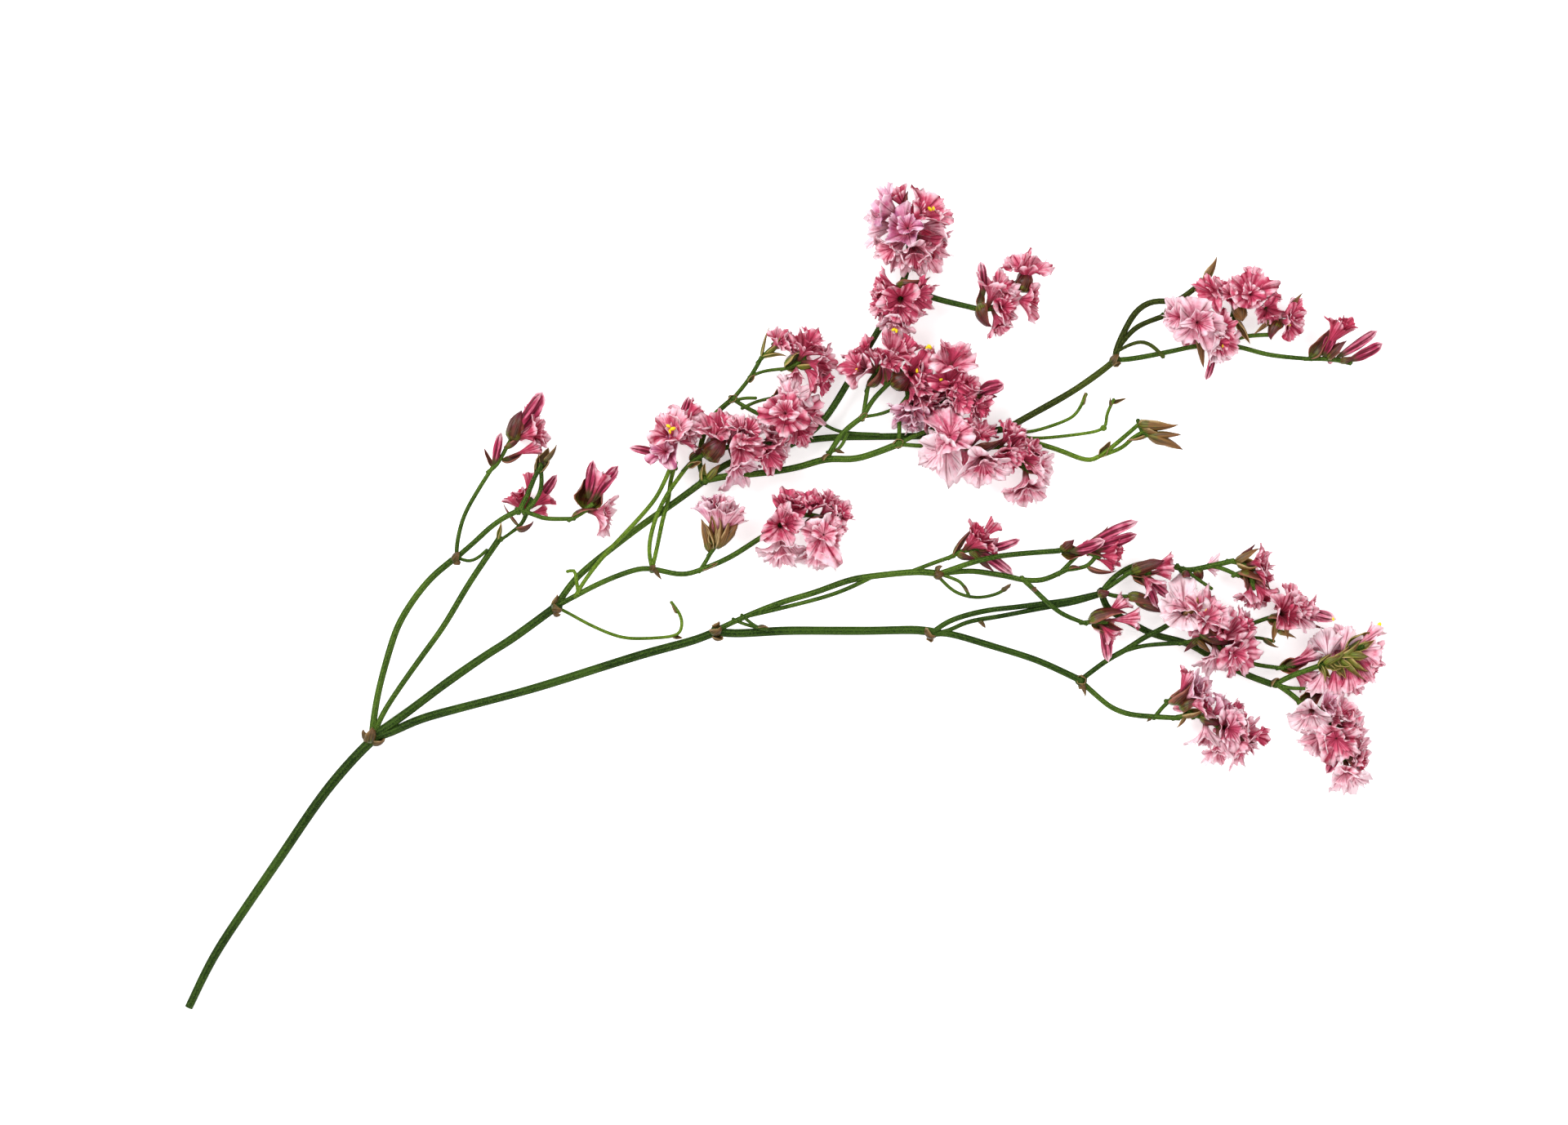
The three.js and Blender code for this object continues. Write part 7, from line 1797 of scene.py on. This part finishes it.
# === Spike low right ===
# The small spike to its right, with one long crimson tube.
spike(
    "spike_low_right",
    stems=[(0.95, 1.2, [(106.4, -4.8, 5.8), (108.5, -4.2, 6.6), (112, -3.6, 6.8)])],
    petal_look=rosy_petal, pale=0.35,
    half_open=[
        ((108.8, -4, 7), (110.9, -2.8, 12), 4.1), ((110.4, -3.8, 7), (112.8, 0.8, 9), 3),
        ((111, -3.7, 7), (114.6, -3.4, 10), 3.4),
    ],
    narrow=[((111.6, -3.6, 6.8), (117.4, -2.4, 8), 2.4), ((110.4, -4, 6.4), (111.4, -2.2, 1.3), 2.4)],
    buds=[((111.2, -4, 6.8), (121.3, -4.8, 8), 1.6)],
    bract_look=maroon_bract,
    bracts=[((106.8, -4.8, 6.2), (112.2, -6, 7.4), 1.9), ((110.6, -4.4, 6.4), (119, -6.4, 6.8), 1)],
    dry_bracts=[
        ((109, -5, 6.6), (108.4, -9.8, 6.2), 1.1), ((109, -7.4, 6.4), (112.8, -9.4, 6.2), 0.8),
        ((110.8, -4.8, 6.6), (110.8, -9, 6.2), 0.8),
    ],
    anthers=[(121, -4.8, 8.2, 0.8)],
)

# === Spike low end ===
# The end spike, seen from behind: its green bracts lie over the backs of the pale flowers.
spike(
    "spike_low_end",
    stems=[(1.2, 1.2, [(117, -15.5, 7.2), (120, -14.3, 7.6), (124, -12.6, 7.8), (127, -11.2, 7.8)])],
    petal_look=pink_petal, pale=0.5,
    half_open=[
        ((120, -14.3, 7.6), (120.2, -9.8, 5), 3.9, 0.95, 0.15),
        ((122.8, -13.1, 7.7), (124.8, -8.8, 5), 3.2, 0.85), ((126, -11.7, 7.8), (130.2, -13, 6.4), 3.2),
        ((125, -12.2, 7.8), (130, -15.8, 5.6), 3), ((119.4, -14.6, 7.5), (118.8, -19.8, 4.8), 3.4, 0.7),
        ((121.6, -13.7, 7.7), (122, -19.8, 4.8), 3.2), ((124, -12.6, 7.8), (125.4, -19.2, 5), 3.2),
        ((125, -12.2, 7.8), (128.4, -18, 4.8), 2.8),
    ],
    narrow=[
        ((125.6, -11.6, 7.6), (131, -6.8, 7.4), 2), ((126, -11.7, 7.8), (130.6, -10.4, 7), 2.4),
        ((122, -13.5, 7.7), (123.4, -13, 1.3), 2.4),
    ],
    bract_look=green_bract,
    bracts=[
        ((124, -12, 8), (128.8, -8, 9), 1.9), ((124, -12.8, 8), (129, -15.4, 8.4), 1.6),
        ((122.6, -13.3, 8), (128.2, -17.4, 7.8), 1.2), ((121, -14, 8), (124, -17.6, 7.8), 1.1),
        ((119.4, -14.6, 7.8), (122.4, -17.8, 7.6), 1.1), ((118.2, -15, 7.6), (120.4, -17.6, 7.2), 1),
        ((117.8, -15.2, 8.2), (120.4, -12.2, 8.8), 0.9), ((119, -14.6, 8.3), (122.6, -12.4, 9.2), 1.1),
        ((119.4, -14.9, 8.2), (122.6, -15.6, 8.9), 1), ((120.8, -13.9, 8.4), (124.6, -11.2, 9.4), 1.1),
        ((121.2, -14.2, 8.4), (124.8, -15, 9.2), 1.1), ((122.6, -13.2, 8.4), (126.4, -13.4, 9.5), 1.1),
        ((122.8, -13, 8.4), (126.8, -10.2, 9.6), 1.2), ((124.4, -12.6, 8.5), (128.6, -13, 9.3), 1.3),
        ((125.4, -11.8, 8.4), (129.8, -9.4, 9.4), 1.2), ((118.4, -15, 8), (119.6, -18.6, 8), 0.9),
    ],
    anthers=[(131.2, -6.2, 8, 1.3), (130.6, -6.9, 8.3, 0.9)],
)

# === Spike low side ===
# A few narrow flowers beside it.
spike(
    "spike_low_side",
    stems=[(0.95, 0.95, [(109.6, -15.6, 5.8), (112, -15.2, 5.6)])],
    petal_look=rosy_petal, pale=0.4,
    narrow=[
        ((111, -15.4, 5.6), (117.6, -11.9, 5.6), 2.2), ((111, -15.4, 5.7), (116.2, -18.2, 3.6), 2.5),
    ],
    buds=[((110.4, -15.4, 5.8), (119, -12.8, 5.6), 1.2)],
    bract_look=maroon_bract,
    bracts=[((109.6, -15.6, 5.8), (115.6, -14.4, 6.8), 1.9)],
)

# === Spike lowest ===
# The lowest spike on the far branch.
spike(
    "spike_lowest",
    stems=[
        (1.2, 1.2, [
            (86.6, -26.6, 6.2), (90, -26, 6.6), (93, -26.6, 6.8), (96, -28.5, 6.8), (99, -30.6, 6.8),
        ]),
        (0.95, 1.2, [(85, -23, 6.6), (87.6, -23.4, 7), (90, -26, 6.6)]),
    ],
    petal_look=pink_petal, pale=0.35,
    half_open=[
        ((87.6, -22.8, 7.2), (92, -19.8, 11), 3.5, 0.5, 0.7),
        ((88.4, -23.6, 7.2), (93.4, -23.2, 10.4), 3.4), ((93, -26.8, 6.4), (93.4, -32, 6.4), 3.7, 0.85),
        ((95.8, -28.4, 6.6), (96.6, -35.4, 7.4), 3.7, 0.75),
        ((93.4, -26.8, 7), (97.4, -23.8, 8.6), 3, 0.4, 0.5),
        ((94.8, -27.6, 7), (100.8, -25.2, 9.6), 3.4),
        ((96.2, -28.6, 7.2), (98.5, -28.6, 12), 3.8, 0.5, 0.1),
        ((98.4, -30.2, 7), (103.4, -30, 9.6), 3.3), ((98.4, -30.4, 7), (101.6, -34.2, 9.4), 3.8, 0.5),
    ],
    narrow=[
        ((87, -22.4, 7), (89.4, -16.6, 8.6), 2.1), ((89.4, -25.6, 6.6), (89, -23.4, 1.3), 2.5),
        ((96.4, -28.8, 6.6), (98, -30.4, 1.3), 2.5),
    ],
    bract_look=maroon_bract,
    bracts=[
        ((85.2, -23.4, 6.8), (89, -17.6, 8.8), 2.7), ((87.6, -23.8, 7.4), (87.9, -20.8, 9.4), 0.6),
        ((87.4, -24.6, 7), (92.2, -22.6, 8.2), 1.7), ((91.8, -26.2, 6.6), (96.2, -27.8, 8), 1.6),
        ((98.6, -30.4, 7.2), (103.6, -31.6, 9.4), 1.3),
    ],
    dry_bracts=[
        ((88, -26.2, 6.8), (93.2, -24.8, 8.6), 1.2), ((88.8, -26.2, 6.6), (86.9, -28.7, 7), 0.6),
    ],
)

# === Spike lowest end ===
# The last spike of all, which hangs down from the end fork.
spike(
    "spike_lowest_end",
    stems=[
        (1.2, 1.2, [
            (114.4, -23.4, 6), (117, -24, 6.6), (120, -26.4, 6.8), (122, -29.4, 6.8), (123.4, -33, 6.8),
            (124, -36.4, 6.8),
        ]),
    ],
    petal_look=pink_petal, pale=0.4,
    wide=[
        ((116.8, -24, 6.6), (115.7, -26.6, 10), 4.3, 0.9),
        ((121.8, -29.4, 7.2), (121.5, -32, 12), 4.6, 0.3),
        ((124, -36.2, 6.8), (124.3, -40.6, 9.4), 4.3, 0.7),
    ],
    half_open=[
        ((118.2, -25, 6.6), (120.6, -23.4, 9.6), 2.8, 0.4, 0.5),
        ((120.2, -26.8, 6.6), (124.2, -24.6, 8.8), 3.5), ((121.2, -28.2, 6.6), (126.2, -27.8, 8), 3),
        ((122, -29.6, 6.6), (127, -30.8, 8.6), 3.2), ((121, -28.4, 6.4), (117, -32, 8), 3.9, 0.8),
        ((123.4, -33, 6.6), (127.2, -34.6, 7.6), 3.2), ((123.8, -35.4, 6.4), (127.4, -37.4, 7.6), 3.3),
    ],
    narrow=[
        ((119.4, -26, 6.8), (121.6, -26.8, 10.4), 1.6), ((121, -28, 6.4), (120, -25.8, 1.3), 2.5),
        ((123.6, -34.4, 6.4), (122.2, -33, 1.3), 2.5, 0.3),
    ],
    buds=[((123.4, -33.4, 6.4), (120, -38.7, 6.2), 1.4)],
    bract_look=maroon_bract,
    bracts=[
        ((114.2, -23.2, 6.4), (118.4, -21.4, 8), 2), ((119.4, -28.6, 7.2), (125.8, -28.8, 9.6), 1.9),
        ((123.2, -33.6, 7), (126.4, -37.4, 8.8), 1.5),
    ],
)

# === Lower right twigs ===
# The twigs where the pair meet. They pass behind the small flowers, and part once more.
branch(
    "lower_right_twigs", leaf_green,
    stems=[
        (1.2, 1.2, [
            (70.3, 1.2, 6.2), (73, 4.4, 5.6), (77.4, 7, 4.6), (82, 7.6, 4.2), (86.8, 6.6, 5),
            (89.4, 6, 6), (93.3, 6.7, 6.6), (98.5, 7.9, 7),
        ]),
        (0.95, 0.95, [(70.3, 1.2, 6.2), (73.2, 3.2, 6.7), (76, 5.2, 7)]),
        (0.95, 0.95, [(70.3, 1.2, 6.2), (73.4, 0.2, 6.3), (76.4, 0.2, 6.4)]),
        (0.95, 0.95, [(94.4, 6.9, 6.6), (97, 6.3, 6.6), (99.8, 5, 6.8)]),
        (0.95, 0.75, [(88.8, 6, 5.8), (90.6, 4.6, 6), (93.9, 2.3, 6.2)]),
        (0.95, 0.95, [(87.4, 6.5, 5.2), (88.6, 4.6, 5.4), (90.4, 2.4, 5.2)]),
    ],
    knots=[(70.3, 1.1, 6, 2.6), (88.8, 5.8, 5.8, 1.8)],
)
pale_flower = flower((92.2, 6.5, 6.6), (95.4, 7, 4.4), 2.2, 0.85, 0.1, FOLDED_NARROW)
grown_piece("lower_right_twigs_petals", "lower_right_twigs", pink_petal, pale_flower, PAPER)
scales = [
    leaf((69.4, 0.4, 6.6), (71.7, 1.4, 7.3), 1.1, SCALE_WRAP),
    leaf((88, 5.4, 6.2), (89.6, 4.7, 7.1), 0.9, SCALE_WRAP),
    leaf((76, 0.4, 6.4), (82, -1.4, 7.2), 1.7, SCALE_WRAP),
    leaf((77.6, -0.6, 6.3), (84.2, -3.4, 6.8), 1.4, SCALE_WRAP),
    leaf((91.2, 6.4, 6.3), (92.4, 3.9, 5), 1.2, SCALE_WRAP),
]
grown_piece("lower_right_twigs_scales", "lower_right_twigs", maroon_bract, scales, SCALE_WALL)

# === Table, light and camera ===
# The spray lies on a plain pale table under wide soft lights, and is looked down on squarely.
TABLE_SIZE = 6
TABLE_WHITE, TABLE_ROUGHNESS, TABLE_GLOW = (0.93, 0.93, 0.93, 1), 0.9, 0.4
WHITE = (1, 1, 1, 1)
bpy.ops.mesh.primitive_plane_add(size=TABLE_SIZE, location=(0, 0, 0))
table = bpy.context.object
table.name = "table"
table_top = bpy.data.materials.new("table_top")
table_top.use_nodes = True
table_shader = table_top.node_tree.nodes["Principled BSDF"]
table_shader.inputs["Base Color"].default_value = TABLE_WHITE
table_shader.inputs["Roughness"].default_value = TABLE_ROUGHNESS
table_shader.inputs["Emission Color"].default_value = WHITE
table_shader.inputs["Emission Strength"].default_value = TABLE_GLOW
table.data.materials.append(table_top)

# Each lamp's name, its place and size in metres, and its power in watts.
LAMPS = [
    ("lamp_left", (-0.7, 0.6, 1.1), 0.9, 18.0),
    ("lamp_right", (0.8, 0.1, 1.4), 1.3, 9.0),
    ("lamp_front", (0.0, -0.9, 1.2), 1.2, 7.0),
]
for lamp_name, lamp_place, lamp_size, lamp_power in LAMPS:
    bpy.ops.object.light_add(type="AREA", location=lamp_place)
    lamp = bpy.context.object
    lamp.name = lamp_name
    lamp.data.size = lamp_size
    lamp.data.energy = lamp_power
    lamp.rotation_euler = (-lamp.location).to_track_quat("-Z", "Y").to_euler()

ROOM_LIGHT = 0.55
room = bpy.data.worlds.new("room")
room.use_nodes = True
room.node_tree.nodes["Background"].inputs["Color"].default_value = WHITE
room.node_tree.nodes["Background"].inputs["Strength"].default_value = ROOM_LIGHT
bpy.context.scene.world = room

VIEW_WIDTH = 0.3456
LENS, SENSOR = 100.0, 36.0
SEES_TO = 20
LOOKED_AT_ON_PLAN = (0.18, 7.65, 7.0)
bpy.ops.object.camera_add(location=on_table(LOOKED_AT_ON_PLAN), rotation=(0, 0, 0))
camera = bpy.context.object
camera.data.lens = LENS
camera.data.sensor_width = SENSOR
camera.location.z += VIEW_WIDTH * LENS / SENSOR
camera.data.clip_end = SEES_TO
bpy.context.scene.camera = camera
bpy.context.scene.view_settings.view_transform = "Standard"
